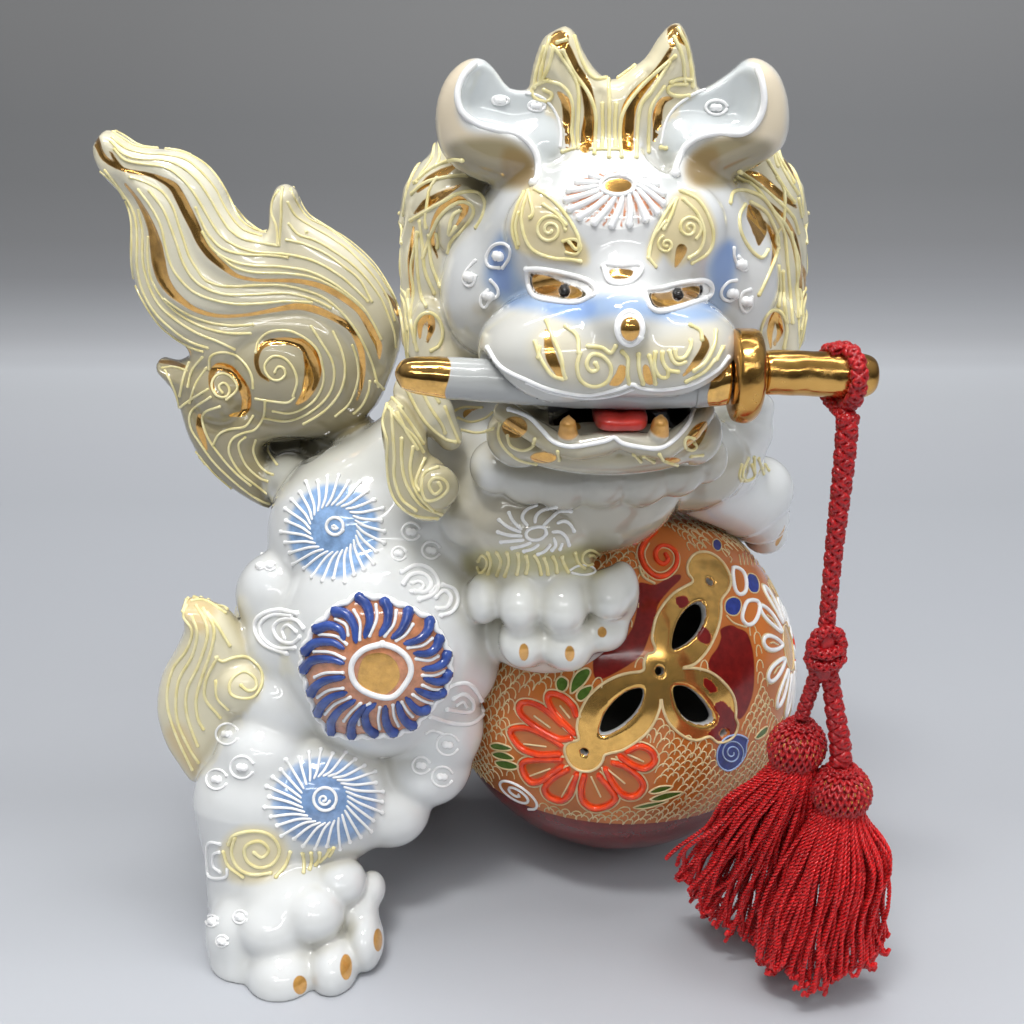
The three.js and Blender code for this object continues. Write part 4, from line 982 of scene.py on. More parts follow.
    # mane: lumps under the curls
    for px, py, D, r in [(455, 207, 388, (16, 17, 17)), (444, 260, 390, (13, 17, 20)), (438, 320, 388, (11.5, 16, 18)), (474, 170, 390, (14, 15, 14)), (446, 350, 384, (12, 15, 14))]:
        E('mane_left', px, py, D, r, 3)
    for px, py, D, r in [(752, 207, 388, (15, 17, 17)), (761, 260, 390, (13, 17, 20)), (765, 320, 388, (12, 16, 18)), (736, 170, 390, (14, 15, 13))]:
        E('mane_right', px, py, D, r, 3)
    locks = [[(440, 262, 381), (431, 245, 379), (432, 222, 375), (445, 203, 372), (463, 196, 370), (477, 206, 369), (478, 228, 370), (467, 246, 371)],
             [(458, 214, 371), (450, 224, 371), (450, 240, 373)],
             [(462, 161, 386), (432, 170, 386), (414, 192, 388), (409, 222, 390)],
             [(462, 182, 380), (437, 190, 380), (420, 208, 382), (411, 240, 385), (411, 290, 386), (412, 340, 386)],
             [(424, 217, 380), (426, 245, 378), (431, 280, 378), (438, 300, 379)],
             [(441, 356, 374), (443, 335, 373), (437, 315, 373), (427, 309, 373), (420, 325, 374), (419, 352, 375)],
             [(431, 330, 374), (430, 352, 375)]]
    for l in locks:
        T('mane_left', l, 3.3, 1.8)
        T('mane_right', [(1207 - a, b - 2, c) for a, b, c in l], 3.3, 1.8)
    T('mane_left', [(416, 392, 369), (434, 414, 367), (450, 438, 366)], [7, 6.5, 4], 3)
    for x, y, z, r in [(29, 412, 238, (38, 20, 24)), (29, 420, 205, (44, 22, 30)), (10, 424, 172, (34, 20, 28)), (-8, 426, 165, (26, 16, 22)), (48, 424, 172, (26, 20, 28))]:
        EW('mane_back', (x, y, z), r, 5)
    for x, z, r in CURLS:
        EW('mane_back', (x, curl_y(x, z), z), (r, 8, r * 1.1), 2)
    # ears
    S('ear_left', EAR_L, 367, 9.5, 8.5, 3)
    S('ear_left', CUP_L, 354, 9, 7, 1.5, mode='cut')
    T('ear_left', [(540, 150, 369), (530, 180, 368)], [11, 10], 5)
    S('ear_right', EAR_R, 367, 9.5, 8.5, 3)
    S('ear_right', CUP_R, 354, 9, 7, 1.5, mode='cut')
    T('ear_right', [(682, 150, 369), (690, 180, 368)], [11, 10], 5)
    # lower jaw with its lip, corner swirls and the ruff under the chin
    H = 'lower_jaw'
    E(H, 606, 437, 350, (31, 22, 9.5), 4)
    E(H, 520, 435, 350, (10, 12, 9.5), 3)
    E(H, 690, 433, 350, (9.5, 12, 9.5), 3)
    T(H, [(505, 412, 342), (530, 428, 334), (552, 442, 330), (578, 448, 328), (602, 443, 328), (620, 436, 328), (640, 444, 328), (665, 448, 329), (690, 430, 334), (703, 412, 341)], 3.4, 2.5)
    for px, py, D, r in [(497, 466, 362, 8.5), (528, 474, 360, 9.5), (562, 478, 359, 10), (600, 476, 359, 10), (640, 474, 360, 10), (675, 468, 361, 9), (702, 458, 364, 8)]:
        E(H, px, py, D, r, 2.2)
    # fangs
    fangs = [[(568, 417, 327), (568, 425, 327), (568, 434, 327.4)], [(661, 416, 327), (660, 424, 327), (659, 433, 327.4)]]
    # the mouth: the channel that the sword lies in, and the gape
    g.tube([(-45, 333.5, 199), (29, 333.5, 196.5), (105, 333.5, 198)], [7.6, 7.8, 7.6], 1, 0, 'cut')
    g.ell((30, 332, 188.6), (25, 22, 4.2), None, 2, 0, 'cut')
    for f in fangs:
        T(H, f, [0.7, 2.4, 3.0], 0.6)
    # room for the guard and collar to leave the corner of the mouth
    g.tube([(75, 333.5, 199.6), (122, 333.5, 199.6)], [14.2, 14.2], 1, 0, 'cut')
    # long lock of hair on the near shoulder
    def lock_T(X, Z, d2):
        d = np.clip(-d2 / 8.0, 0, 1)
        return 3.0 + 5.5 * np.sqrt(1 - (1 - d) ** 2)
    S('shoulder_lock', LOCK, 360, lock_T, 3, 4)
    E('shoulder_lock', 436, 487, 354, (7, 6, 7), 2)
    # tail: a thick flame whose gold bands lie in grooves
    b1, b2 = smooth_line(plane_px(BAND1, 412)), smooth_line(plane_px(BAND2, 412))
    s1, s2 = W(280, 372, 412)[[0, 2]], W(224, 388, 412)[[0, 2]]
    def tail_T(X, Z, d2):
        d = np.clip(-d2 / 20.0, 0, 1)
        t = 3.5 + 9.5 * np.sqrt(1 - (1 - d) ** 2)
        for p in (b1, b2):
            t = t - 1.9 * np.exp(-(seg_dist(p, X, Z) / 3.0) ** 2)
        r1 = np.hypot(X - s1[0], Z - s1[1]); r2 = np.hypot(X - s2[0], Z - s2[1])
        t = t + 3.0 * np.exp(-(r1 / 9) ** 2) - 1.6 * np.exp(-((r1 - 14.5) / 2.5) ** 2)
        t = t + 3.0 * np.exp(-(r2 / 6) ** 2) - 1.6 * np.exp(-((r2 - 9.5) / 2.2) ** 2)
        return t
    S('tail', TAIL, 412, tail_T, 3.2, 3, n=3, warp=(388, 436))
    TW('tail', [W(310, 456, 425), W(352, 436, 413), W(372, 462, 405)], [8.5, 9, 12], 5)
    g.ell(W(304, 450, 401), (13, 9, 3.4), rot(0, 8, 0), 1.5, 0, 'cut')
    # everything stands on z = 0
    Z = (g.lo[2] + g.h * np.arange(g.n[2])).astype(np.float32)
    g.D = np.maximum(g.D, -Z[None, None, :])
    return g

# ------------------------------------------------------------------ the lion's surface
H = 0.8
G = sculpt(H)
LV, LN, LQ, LL = surface(G)
# give each quad the label most of its corners have
ql = LL[LQ]
QL = np.where(ql[:, 0] == ql[:, 1], ql[:, 0], np.where(ql[:, 2] == ql[:, 3], ql[:, 2], np.where(ql[:, 0] == ql[:, 2], ql[:, 0], ql[:, 1])))
CAMP = np.array([0, 0, CAM_H])
PX, PY, PT = proj(LV)
view = CAMP - LV; view /= np.linalg.norm(view, axis=1, keepdims=True)
FACE = (LN * view).sum(1)                      # above 0 where the surface looks at the camera
BACK = LN[:, 1]                                # above 0 where it looks away from the front
INV = {v: k for k, v in LAB.items()}
PXMM = F / PT                                  # pixels per mm at each vertex

def has(*names):
    m = np.zeros(len(LV), bool)
    for n in names:
        m |= LL == LAB[n]
    return m

def blur(w, n):
    """average over neighbouring quads, n times"""
    w = np.asarray(w, float)
    c = np.maximum(np.bincount(LQ.ravel(), minlength=len(LV)), 1)
    for _ in range(n):
        w = np.bincount(LQ.ravel(), np.repeat(w[LQ].mean(1), 4), len(LV)) / c
    return w

def hasf(*names):
    return blur(has(*names), max(2, int(2.4 / H)))

def smoothstep(a, b, x):
    t = np.clip((x - a) / (b - a), 0, 1)
    return t * t * (3 - 2 * t)

# soft airbrushed tints; the same colour also carries painted shade and painted light
WHITE = np.array([0.70, 0.712, 0.705]); KHAKI = np.array([0.50, 0.42, 0.24]); SAND = np.array([0.66, 0.58, 0.38]); BLUE = np.array([0.30, 0.42, 0.74])
TINT = np.tile(WHITE, (len(LV), 1))
def wash(mask_w, colour, amount=1.0):
    w = np.clip(mask_w * amount, 0, 1)[:, None]
    TINT[:] = TINT * (1 - w) + np.asarray(colour) * w

# ------------------------------------------------------------------ painted layers and raised lines
def enc(sd_mm, soft=1.0):
    """a signed distance in mm as a value that is 0.5 on the edge and 1 inside"""
    return np.clip(0.5 - sd_mm / (2.4 * soft), 0, 1)

LAYER = {k: np.zeros(len(LV)) for k, *_ in LAYERS}

def cr(pts, x0=490.0, y0=530.0, s=4.84):
    return [(x0 + x / s, y0 + y / s) for x, y in pts]

def put(layer, sd, m, arr=None):
    a = (arr or LAYER)[layer]
    a[m] = np.maximum(a[m], enc(sd))

def near_line(P, w, X, Y):
    """distance to an open line with a width that varies along it, in the units given"""
    P = np.asarray(P, float); w = np.broadcast_to(np.asarray(w, float), (len(P),))
    d = np.full(X.shape, 1e9)
    for a, b, wa, wb in zip(P[:-1], P[1:], w[:-1], w[1:]):
        e = b - a
        t = np.clip(((X - a[0]) * e[0] + (Y - a[1]) * e[1]) / (e @ e + 1e-9), 0, 1)
        d = np.minimum(d, np.hypot(X - a[0] - t * e[0], Y - a[1] - t * e[1]) - (wa + t * (wb - wa)) / 2)
    return d

def select(labels, lo, hi, back=False):
    m = has(*labels) & (PX > lo[0]) & (PX < hi[0]) & (PY > lo[1]) & (PY < hi[1])
    return m & ((FACE > 0.02) if not back else (BACK > 0.05))

def fill_px(layer, pts, labels, smooth=4, back=False):
    P = smooth_poly(np.array(pts, float), smooth) if smooth else np.array(pts, float)
    m = select(labels, P.min(0) - 8, P.max(0) + 8, back)
    if m.any():
        put(layer, poly_sdf(P, PX[m], PY[m]) / PXMM[m], m)

def band_px(layer, pts, w, labels, back=False, n=5):
    P = curve_through(pts, n); w = np.interp(np.linspace(0, 1, len(P)), np.linspace(0, 1, len(np.atleast_1d(w))), np.atleast_1d(w))
    m = select(labels, P.min(0) - 14, P.max(0) + 14, back)
    if m.any():
        put(layer, near_line(P, w, PX[m], PY[m]) / PXMM[m], m)

THICK = {"raised_yellow": 1.38, "raised_white": 1.36, "raised_cobalt": 1.25}

class Raised:
    """raised enamel: thin tubes half sunk in the glaze, gathered by colour and piece"""
    def __init__(s):
        s.jobs = []
    def line(s, pts, mat, group, r=0.42, back=None, n=6, taper=1.0, blob=(1.25, 1.25), smooth=True):
        P = curve_through(pts, n) if smooth and len(pts) > 2 else resample(pts, n=max(2, n))
        s.jobs.append((P, mat, group, r * THICK.get(mat.name, 1.3), back, taper, blob))
    def finish(s, body, g=None):
        g = G if g is None else g
        rays_o, rays_d, lens = [], [], []
        jobs = []
        for job in s.jobs:
            P, mat, group, r, back, taper, blob = job
            L = np.linalg.norm(np.diff(P, axis=0), axis=1).sum()
            P = resample(P, n=max(3, int(L / 2.2) + 2))
            if back is None:
                O = np.tile(CAMP, (len(P), 1)).astype(float); D = ray(P[:, 0], P[:, 1])
            elif back == "mirror":
                # the near surface's own place in x and height, seen from behind
                O0 = np.tile(CAMP, (len(P), 1)).astype(float); D0 = ray(P[:, 0], P[:, 1])
                s0 = (g.lo[1] + 2) / np.maximum(D0[:, 1], 0.1)
                Q, _n, h0 = trace(g, O0 + D0 * s0[:, None], D0)
                O = Q.copy(); O[:, 1] = 520.0; D = np.tile([0, -1.0, 0], (len(P), 1))
                O[~h0, 0] = 400.0
            elif back in ("east", "west"):
                # points are depth and height in mm, traced from that side
                sg = 1.0 if back == "east" else -1.0
                O = np.stack([np.full(len(P), 110.0 if sg > 0 else -66.0), P[:, 0], P[:, 1]], 1); D = np.tile([-sg, 0, 0], (len(P), 1))
            else:
                # the same place in x and z, seen from behind
                Q = np.array([W(x, y, back) for x, y in P])
                O = Q.copy(); O[:, 1] = 520.0; D = np.tile([0, -1.0, 0], (len(P), 1))
            rays_o.append(O); rays_d.append(D); lens.append(len(P)); jobs.append(job)
        if not jobs:
            return
        O = np.concatenate(rays_o); D = np.concatenate(rays_d)
        # start near the surface's box so that little of the way is walked
        t0 = np.where(np.abs(D[:, 1]) > 0.5, np.where(D[:, 1] > 0, (g.lo[1] + 2) / np.maximum(D[:, 1], 0.1), (520 - (g.lo[1] + g.h * (g.n[1] - 3)))), 0)
        P, N, hit = trace(g, O + D * t0[:, None], D)
        bags = {}
        i = 0
        for job, m in zip(jobs, lens):
            p, nn, h = P[i:i + m], N[i:i + m], hit[i:i + m]; i += m
            _, mat, group, r, back, taper, blob = job
            # break the line where it leaves the surface or jumps in depth
            step = np.linalg.norm(np.diff(p, axis=0), axis=1)
            cut = np.where((step > 3.2) | ~h[1:] | ~h[:-1])[0] + 1
            for seg in np.split(np.arange(m), cut):
                seg = seg[h[seg]]
                if len(seg) < 2:
                    continue
                q, qn = p[seg], nn[seg]
                if len(seg) > 4:
                    q2 = q.copy(); q2[1:-1] = 0.25 * q[:-2] + 0.5 * q[1:-1] + 0.25 * q[2:]; q = q2
                k = len(q)
                w = np.ones(k) * r
                u = np.linspace(0, 1, k)
                w = w * (1 + (taper - 1) * u)
                c = q + qn * (w * 0.06)[:, None]
                b = bags.setdefault((mat.name, group), (Bag(), mat))[0]
                ww = w.copy(); ww[0] *= blob[0]; ww[-1] *= blob[1]
                b.tube(c, ww, 6)
        for (mn, group), (b, mat) in sorted(bags.items()):
            o = b.mesh("enamel_%s_%s" % (mn.replace("raised_", "").replace("_lustre", ""), group), [mat])
            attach(o, body)
        s.jobs = []

RAISED = Raised()

# ------------------------------------------------------------------ decoration of the lion
def tl_(pts): return cr(pts, 85, 120, 3.75)
def hd(pts): return cr(pts, 395, 20, 3.571)
def bd(pts): return cr(pts, 150, 460, 3.57)
def jw(pts): return cr(pts, 370, 390, 3.49)

def soft_px(pts, labels, colour, amount, blur, back=False):
    """soft patch, used for airbrushed tints and for painted shade: full inside, fading over blur pixels"""
    P = smooth_poly(np.array(pts, float), 4)
    m = select(labels, P.min(0) - blur, P.max(0) + blur, back)
    if m.any():
        w = np.zeros(len(LV)); w[m] = smoothstep(blur, -blur * 0.6, poly_sdf(P, PX[m], PY[m]))
        wash(w, colour, amount)

def swirl(cx, cy, r0, r1, a0, turns, kx=1.0, ky=1.0, n=26):
    return [(cx + kx * r * math.cos(a), cy + ky * r * math.sin(a)) for r, a in zip(np.linspace(r0, r1, n), np.linspace(a0, a0 + turns * 2 * math.pi, n))]

def dot_ring(cx, cy, r, mat=None, group="body", gap=0.5, ln=None):
    """a bead inside an open ring"""
    mat = mat or E_WHITE
    ln = ln or RAISED.line
    ln([(cx + r * math.cos(a), cy + 0.95 * r * math.sin(a)) for a in np.linspace(gap, gap + 5.4, 12)], mat, group, 0.34)
    ln([(cx - r * 0.18, cy), (cx + r * 0.18, cy + 0.4)], mat, group, 0.85, smooth=False, n=3)

LION = tuple(LAB)
ALLCREAM = ("tail", "mane_left", "mane_right", "mane_back", "crest", "shoulder_lock", "thigh_tuft_right", "thigh_tuft_left")
# grounds: cream fades to khaki low in the hair
wash(hasf(*ALLCREAM), (0.70, 0.64, 0.46), 0.9)
zt = LV[:, 2]
m_t = hasf("tail")
wash(m_t * smoothstep(222, 170, zt), (0.27, 0.225, 0.115), 0.85)
wash(m_t * smoothstep(180, 250, zt) * (0.5 + 0.5 * np.sin(LV[:, 0] * 0.11)), (0.80, 0.78, 0.66), 0.7)
wash(hasf("mane_left", "mane_right", "mane_back") * (0.5 + 0.5 * np.sin(LV[:, 2] * 0.16 + LV[:, 0] * 0.05)), (0.73, 0.69, 0.52), 0.70)
wash(hasf("crest") * smoothstep(255, 285, zt), (0.80, 0.72, 0.48), 0.7)
wash(hasf("crest") * smoothstep(268, 258, zt), (0.78, 0.78, 0.74), 0.6)
wash(hasf("thigh_tuft_right", "thigh_tuft_left"), (0.74, 0.68, 0.48), 0.8)
wash(hasf("shoulder_lock"), (0.50, 0.44, 0.25), 0.75)
# painted shade: creases and low parts of the white body at the front, under the head, are greyer and warmer; the lower
# jaw is khaki above the ruff
wash(hasf("torso", "foreleg_right", "lower_jaw") * smoothstep(190, 150, zt) * smoothstep(-40, 10, LV[:, 0]), (0.66, 0.66, 0.60), 0.5)
wash(hasf("lower_jaw") * smoothstep(164, 176, zt), (0.50, 0.455, 0.33), 0.75)

# painted shadow and shade: dark patches in the crease and the hollow under the tail, grey on the rump below them, and
# warm grey on the chest under the head
soft_px([(262,452),(285,436),(330,436),(372,420),(392,385),(400,400),(372,436),(340,452),(318,468),(295,478),(272,490)], ("torso", "tail"), (0.22, 0.20, 0.13), 0.60, 12)
soft_px([(263,444),(280,440),(300,437),(345,437),(340,445),(315,456),(290,463),(278,464),(264,454)], ("torso", "tail"), (0.15, 0.147, 0.115), 0.90, 10)
soft_px([(262,440),(350,436),(400,448),(385,476),(330,482),(285,482),(260,466)], ("torso",), (0.52, 0.52, 0.46), 0.6, 16)
soft_px([(480,500),(600,486),(700,470),(745,452),(760,490),(700,520),(620,560),(500,560),(455,530)], ("torso", "lower_jaw", "foreleg_right"), (0.46, 0.42, 0.32), 0.80, 16)
# ---- tail
def tail_line(pts, r=0.34, mat=None, blob=(1.2, 1.2)):
    RAISED.line(tl_(pts), mat or E_YELLOW, "tail", r, blob=blob)
    RAISED.line(tl_(pts), mat or E_YELLOW, "tail_back", r, back=412, blob=blob)
def tail_gold(pts, w):
    for b in (False, True):
        band_px("gold", tl_(pts), np.array(w) / 3.75, ("tail",), b)
tail_gold([(45,95),(70,140),(110,170),(160,190),(240,205),(290,225),(330,250),(355,290),(385,350),(410,400),(435,455),(470,505),(520,550),(570,585),(640,600),(720,602),(800,605),(870,620),(930,645),(985,680),(1030,720),(1060,765),(1085,810),(1102,850),(1103,895)],
          [20,22,18,14,14,22,36,40,42,40,38,34,26,16,12,14,18,22,26,24,22,26,30,26,8])
tail_gold([(150,240),(190,290),(225,350),(250,410),(265,470),(275,530),(290,590),(320,640),(365,680),(420,715),(500,735),(600,732),(700,715),(790,700),(860,710),(930,740),(990,775),(1020,820),(1038,880),(1042,940),(1035,1000),(1020,1050)],
          [8,12,20,30,46,52,46,36,24,18,14,12,16,26,30,26,26,26,24,20,14,6])
tail_gold([(1125,650),(1150,680),(1180,735),(1195,790)], [10,20,20,8])
tail_gold([(430,1110),(430,1150),(440,1190),(456,1235)], [18,28,24,8])
tail_gold([(42,55),(50,90),(60,120)], [14,18,8])
tail_gold([(95,120),(120,160),(150,190)], [8,14,8])
tail_gold([(280,905),(330,910),(375,925)], [10,18,10])
tail_gold([(690,978),(655,950),(642,900),(660,850),(710,830),(780,832),(830,850),(850,890),(855,940),(845,990),(825,1035),(795,1065)], [8,14,18,22,24,28,46,60,62,54,36,12])
tail_gold([(500,1040),(475,1000),(475,950),(500,925),(540,935),(575,975),(600,1020),(605,1065),(590,1100),(545,1108)], [8,18,22,26,30,36,38,34,22,12])
for p in ([(105,45),(150,75),(200,100),(300,108),(380,125),(450,165),(500,220),(540,290),(580,370),(630,408),(680,422)],
          [(100,65),(150,105),(220,125),(300,130),(380,150),(440,200),(490,260),(520,320),(560,380),(600,415),(660,435)],
          [(95,80),(140,125),(200,145),(290,150),(360,175),(420,225),(465,290),(500,350),(540,410),(590,445),(650,460),(720,470)],
          [(110,110),(150,150),(220,165),(290,175),(340,200),(390,250),(430,310),(465,370),(505,430),(560,470),(640,495),(760,505),(860,530),(950,580),(1010,630),(1060,680)],
          [(415,330),(440,390),(470,440),(520,485),(600,505),(700,508),(760,515)],
          [(440,420),(480,485),(540,525),(620,545),(730,550),(830,565),(910,600),(970,640),(1040,700),(1080,760),(1110,820)],
          [(500,505),(560,552),(640,572),(750,575),(850,590),(930,625),(1000,670),(1050,715)],
          [(725,265),(705,300),(700,350),(718,400),(722,465)], [(740,255),(735,310),(735,380),(728,470)],
          [(770,260),(800,320),(840,370),(900,400),(960,440),(1020,490),(1080,550),(1130,620),(1170,690),(1182,735)],
          [(760,310),(790,360),(850,400),(920,440),(990,490),(1050,550),(1100,610),(1140,680),(1160,750)],
          [(765,390),(800,430),(860,450),(930,490),(1000,540),(1060,600),(1110,670),(1140,740),(1160,800),(1165,850)],
          [(755,450),(820,465),(900,500),(970,550),(1030,600),(1075,680)],
          [(170,215),(230,235),(290,270),(330,330),(350,390),(370,450),(390,510),(420,560),(450,600),(500,620),(560,625),(640,620),(740,620),(830,640),(900,670),(960,720),(1010,780),(1045,840),(1075,910),(1100,1000)],
          [(200,262),(250,330),(285,400),(300,470),(320,540),(350,590),(400,640),(470,672),(560,690),(660,688),(760,680),(850,685)],
          [(240,265),(290,330),(320,400),(345,470),(365,530),(400,590),(450,630),(530,655),(640,655),(760,650),(860,675),(920,705)],
          [(1003,845),(1020,900),(1025,960),(1010,1020),(985,1070),(940,1110)], [(1068,980),(1063,1020),(1040,1070),(1008,1100)],
          [(60,195),(110,240),(150,300),(172,370),(175,450),(175,540),(190,620),(230,700),(280,770),(340,820),(400,855),(440,868)],
          [(75,190),(130,260),(170,320),(190,380),(195,460),(195,550),(215,640),(260,720),(320,780),(390,830),(460,855)],
          [(200,340),(215,420),(215,520),(235,610),(275,690),(340,750),(420,800),(500,832),(560,860)],
          [(236,440),(235,520),(250,600),(300,680),(370,740),(450,780),(540,800),(620,800)],
          [(300,672),(345,705),(400,735),(470,760),(550,772),(630,768)],
          [(640,870),(650,830),(690,795),(760,790),(820,815),(870,860),(890,920),(895,980),(870,1040),(830,1075),(770,1100),(705,1092)],
          [(848,775),(890,840),(925,900),(935,960),(920,1020),(880,1070),(820,1110),(750,1130),(670,1118)],
          [(930,795),(960,860),(975,930),(965,1000),(930,1060),(880,1105),(820,1140)],
          [(640,1045),(700,1055),(760,1060),(783,1042)],
          [(780,1035),(795,980),(780,930),(745,892),(700,888),(672,925),(690,965),(722,977),(750,958),(745,930),(722,925),(712,945)],
          [(530,1048),(570,1012),(560,975),(520,950),(485,965),(475,1000),(495,1035),(530,1038),(542,1010),(522,985),(500,1000),(514,1022)],
          [(465,935),(470,888),(510,872),(560,880),(600,915),(625,960),(630,1005)],
          [(675,1055),(670,1110),(640,1160),(590,1175),(550,1200),(540,1250),(580,1320),(640,1370),(680,1400)],
          [(600,1190),(575,1220),(600,1290),(650,1340),(685,1355)], [(640,1200),(630,1240),(650,1290),(680,1320),(705,1330)], [(690,1210),(685,1240),(720,1292)],
          [(470,1040),(400,1090),(395,1150),(430,1210),(480,1280),(540,1340),(600,1390),(660,1430),(690,1440)],
          [(505,1075),(450,1095),(440,1130),(460,1190),(500,1250),(560,1320),(620,1370)],
          [(460,1010),(380,1060),(350,1100),(380,1190),(430,1260),(490,1330),(560,1390)],
          [(390,910),(370,960),(355,1035)], [(300,940),(330,1000),(350,1060),(362,1130),(400,1220),(450,1290)],
          [(440,890),(400,940),(385,1000)], [(455,930),(415,990),(392,1060)], [(380,940),(330,925),(290,930)],
          [(630,1110),(600,1150),(540,1160),(500,1180),(482,1215)]):
    tail_line(p)

# ---- crest
def gold(pts, w, labels, k=3.571, conv=hd, back=False):
    band_px("gold", conv(pts), np.array(w) / k, labels, back)
CR_ = ("crest", "head")
gold([(590,50),(620,110),(650,170),(690,230),(712,300)], [20,28,24,20,8], CR_)
gold([(670,240),(692,290),(698,340),(690,400),(680,455)], [16,40,44,48,40], CR_)
gold([(585,260),(612,300),(618,370),(610,445)], [14,36,38,30], CR_)
gold([(990,95),(950,165),(905,220),(860,270),(835,320),(828,390),(832,455)], [12,24,30,42,50,50,40], CR_)
gold([(1000,272),(955,292),(938,340),(940,400),(932,455)], [8,26,34,36,30], CR_)
fill_px("gold", hd([(552,88),(560,52),(592,36),(622,58),(604,104),(582,98)]), CR_)
fill_px("gold", hd([(972,34),(1008,16),(1034,50),(1042,92),(1012,80),(986,104)]), CR_)
CRL = [[(640,60),(665,140),(705,205),(762,206)], [(600,110),(640,190),(690,260),(715,330),(716,400),(712,478)], [(570,100),(620,170),(652,240),(656,320),(652,400),(655,458)],
       [(530,215),(590,230),(625,270),(637,330),(632,400),(640,458)], [(762,212),(766,300),(765,400),(765,490)], [(800,206),(870,150),(935,70)],
       [(1000,130),(930,190),(860,260),(815,330),(804,400),(810,490)], [(980,150),(920,250),(880,300),(866,380),(862,490)], [(960,240),(915,310),(905,400),(905,470)],
       [(545,215),(492,240),(500,280),(545,290),(562,265),(532,250)], [(1040,230),(985,232),(975,258),(1010,272),(1050,270)], [(1012,30),(1042,95),(1058,172),(1064,236)], [(998,62),(1026,130),(1036,220)],
       [(532,98),(506,182),(497,240)], [(552,66),(528,150),(516,225)], [(565,105),(548,170),(520,220)], [(598,470),(640,460)], [(950,455),(968,458)], [(700,462),(800,462)],
       [(1060,215),(1020,210),(985,222)], [(580,80),(610,70)], [(740,300),(742,400),(738,460)], [(790,300),(785,380),(788,455)]]
for p in CRL:
    RAISED.line(hd(p), E_YELLOW, "crest", 0.42)
    RAISED.line(hd(p), E_YELLOW, "crest_back", 0.42, back=368)

# ---- ears
EARS = ("ear_left", "ear_right")
for ear_, mir in (("ear_left", False), ("ear_right", True)):
    def mx_(pts):
        return [(1221 - x, y - 1) for x, y in pts] if mir else pts
    soft_px(mx_([(436,100),(445,75),(465,58),(474,62),(460,82),(456,112),(468,132),(500,138),(520,148),(534,165),(531,186),(500,186),(470,173),(448,160),(438,140)]), (ear_, "head"), (0.76, 0.61, 0.38), 0.70, 7)
    soft_px(mx_([(450,146),(480,139),(510,142),(528,155),(533,175),(520,186),(490,186),(462,170)]), (ear_, "head"), (0.20, 0.165, 0.075), 0.80, 9)
    soft_px(mx_([(505,150),(527,155),(534,170),(525,184),(505,178)]), (ear_, "head"), (0.25, 0.15, 0.045), 0.6, 6)
    soft_px(mx_([(470,64),(487,62),(505,84),(530,94),(550,110),(558,150),(545,170),(536,150),(515,132),(480,126),(463,112),(461,85)]), (ear_,), (0.62, 0.66, 0.665), 0.85, 5)
    soft_px(mx_([(540,180),(556,150),(560,160),(556,186)]), (ear_, "head"), (0.48, 0.50, 0.47), 0.6, 7)
eb = hasf("ear_left", "ear_right") * smoothstep(0.1, 0.5, BACK)
wash(eb, (0.68, 0.60, 0.46), 0.6)
wash(eb * smoothstep(258, 240, zt), (0.24, 0.19, 0.09), 0.7)
RAISED.line(hd([(284,157),(262,178),(238,212),(223,270),(240,330),(290,370),(360,392),(430,405),(478,438),(508,490),(510,555),(496,580)]), E_WHITE, "head", 0.75, blob=(1, 1.6))
RAISED.line(hd([(470,262),(505,268),(545,292),(578,340),(593,400),(590,450)]), E_WHITE, "head", 0.34)
RAISED.line(hd([(1294,176),(1310,220),(1317,300),(1290,368),(1240,405),(1150,405),(1080,420),(1030,460),(1005,520),(1000,548)]), E_WHITE, "head", 0.75, blob=(1, 1.6))
RAISED.line(hd([(1105,250),(1060,268),(1000,312),(965,368),(950,440)]), E_WHITE, "head", 0.34)
for x, y, rx, ry in ((375, 287, 30, 15), (505, 307, 30, 18), (1147, 312, 38, 26)):
    RAISED.line(hd(swirl(x, y, rx, rx, 0.3, 0.92, 1, ry / rx)), E_WHITE, "head", 0.34)
    RAISED.line(hd([(x - 8, y), (x + 8, y + 1)]), E_WHITE, "head", 0.7, smooth=False, n=3)

# ---- face
FA = ("head",)
soft_px([(430,332),(470,308),(530,302),(600,318),(640,318),(700,306),(735,326),(735,350),(700,385),(620,395),(520,390),(450,366)], FA, (0.54, 0.53, 0.475), 0.75, 14)
soft_px([(520,218),(600,212),(700,216),(694,258),(640,276),(560,270),(520,250)], FA, (0.655, 0.66, 0.655), 0.85, 14)
soft_px(hd([(330,880),(375,770),(415,790),(425,880),(470,960),(560,1005),(700,985),(790,990),(890,1000),(1000,1030),(1100,1010),(1125,950),(1120,880),(1190,790),(1218,860),(1200,960),(1160,1050),(1040,1075),(900,1060),(780,1050),(640,1075),(520,1035),(400,1015),(335,950)]), FA, (0.24, 0.375, 0.61), 0.82, 9)
soft_px(hd([(345,850),(380,800),(400,880),(410,960),(370,960)]), FA, (0.12, 0.24, 0.62), 0.6, 7)
soft_px(hd([(1150,830),(1200,800),(1200,900),(1170,980),(1140,930)]), FA, (0.14, 0.27, 0.64), 0.5, 7)
soft_px(hd([(560,1000),(700,1010),(700,1050),(600,1055),(540,1030)]), FA, (0.16, 0.30, 0.66), 0.5, 6)
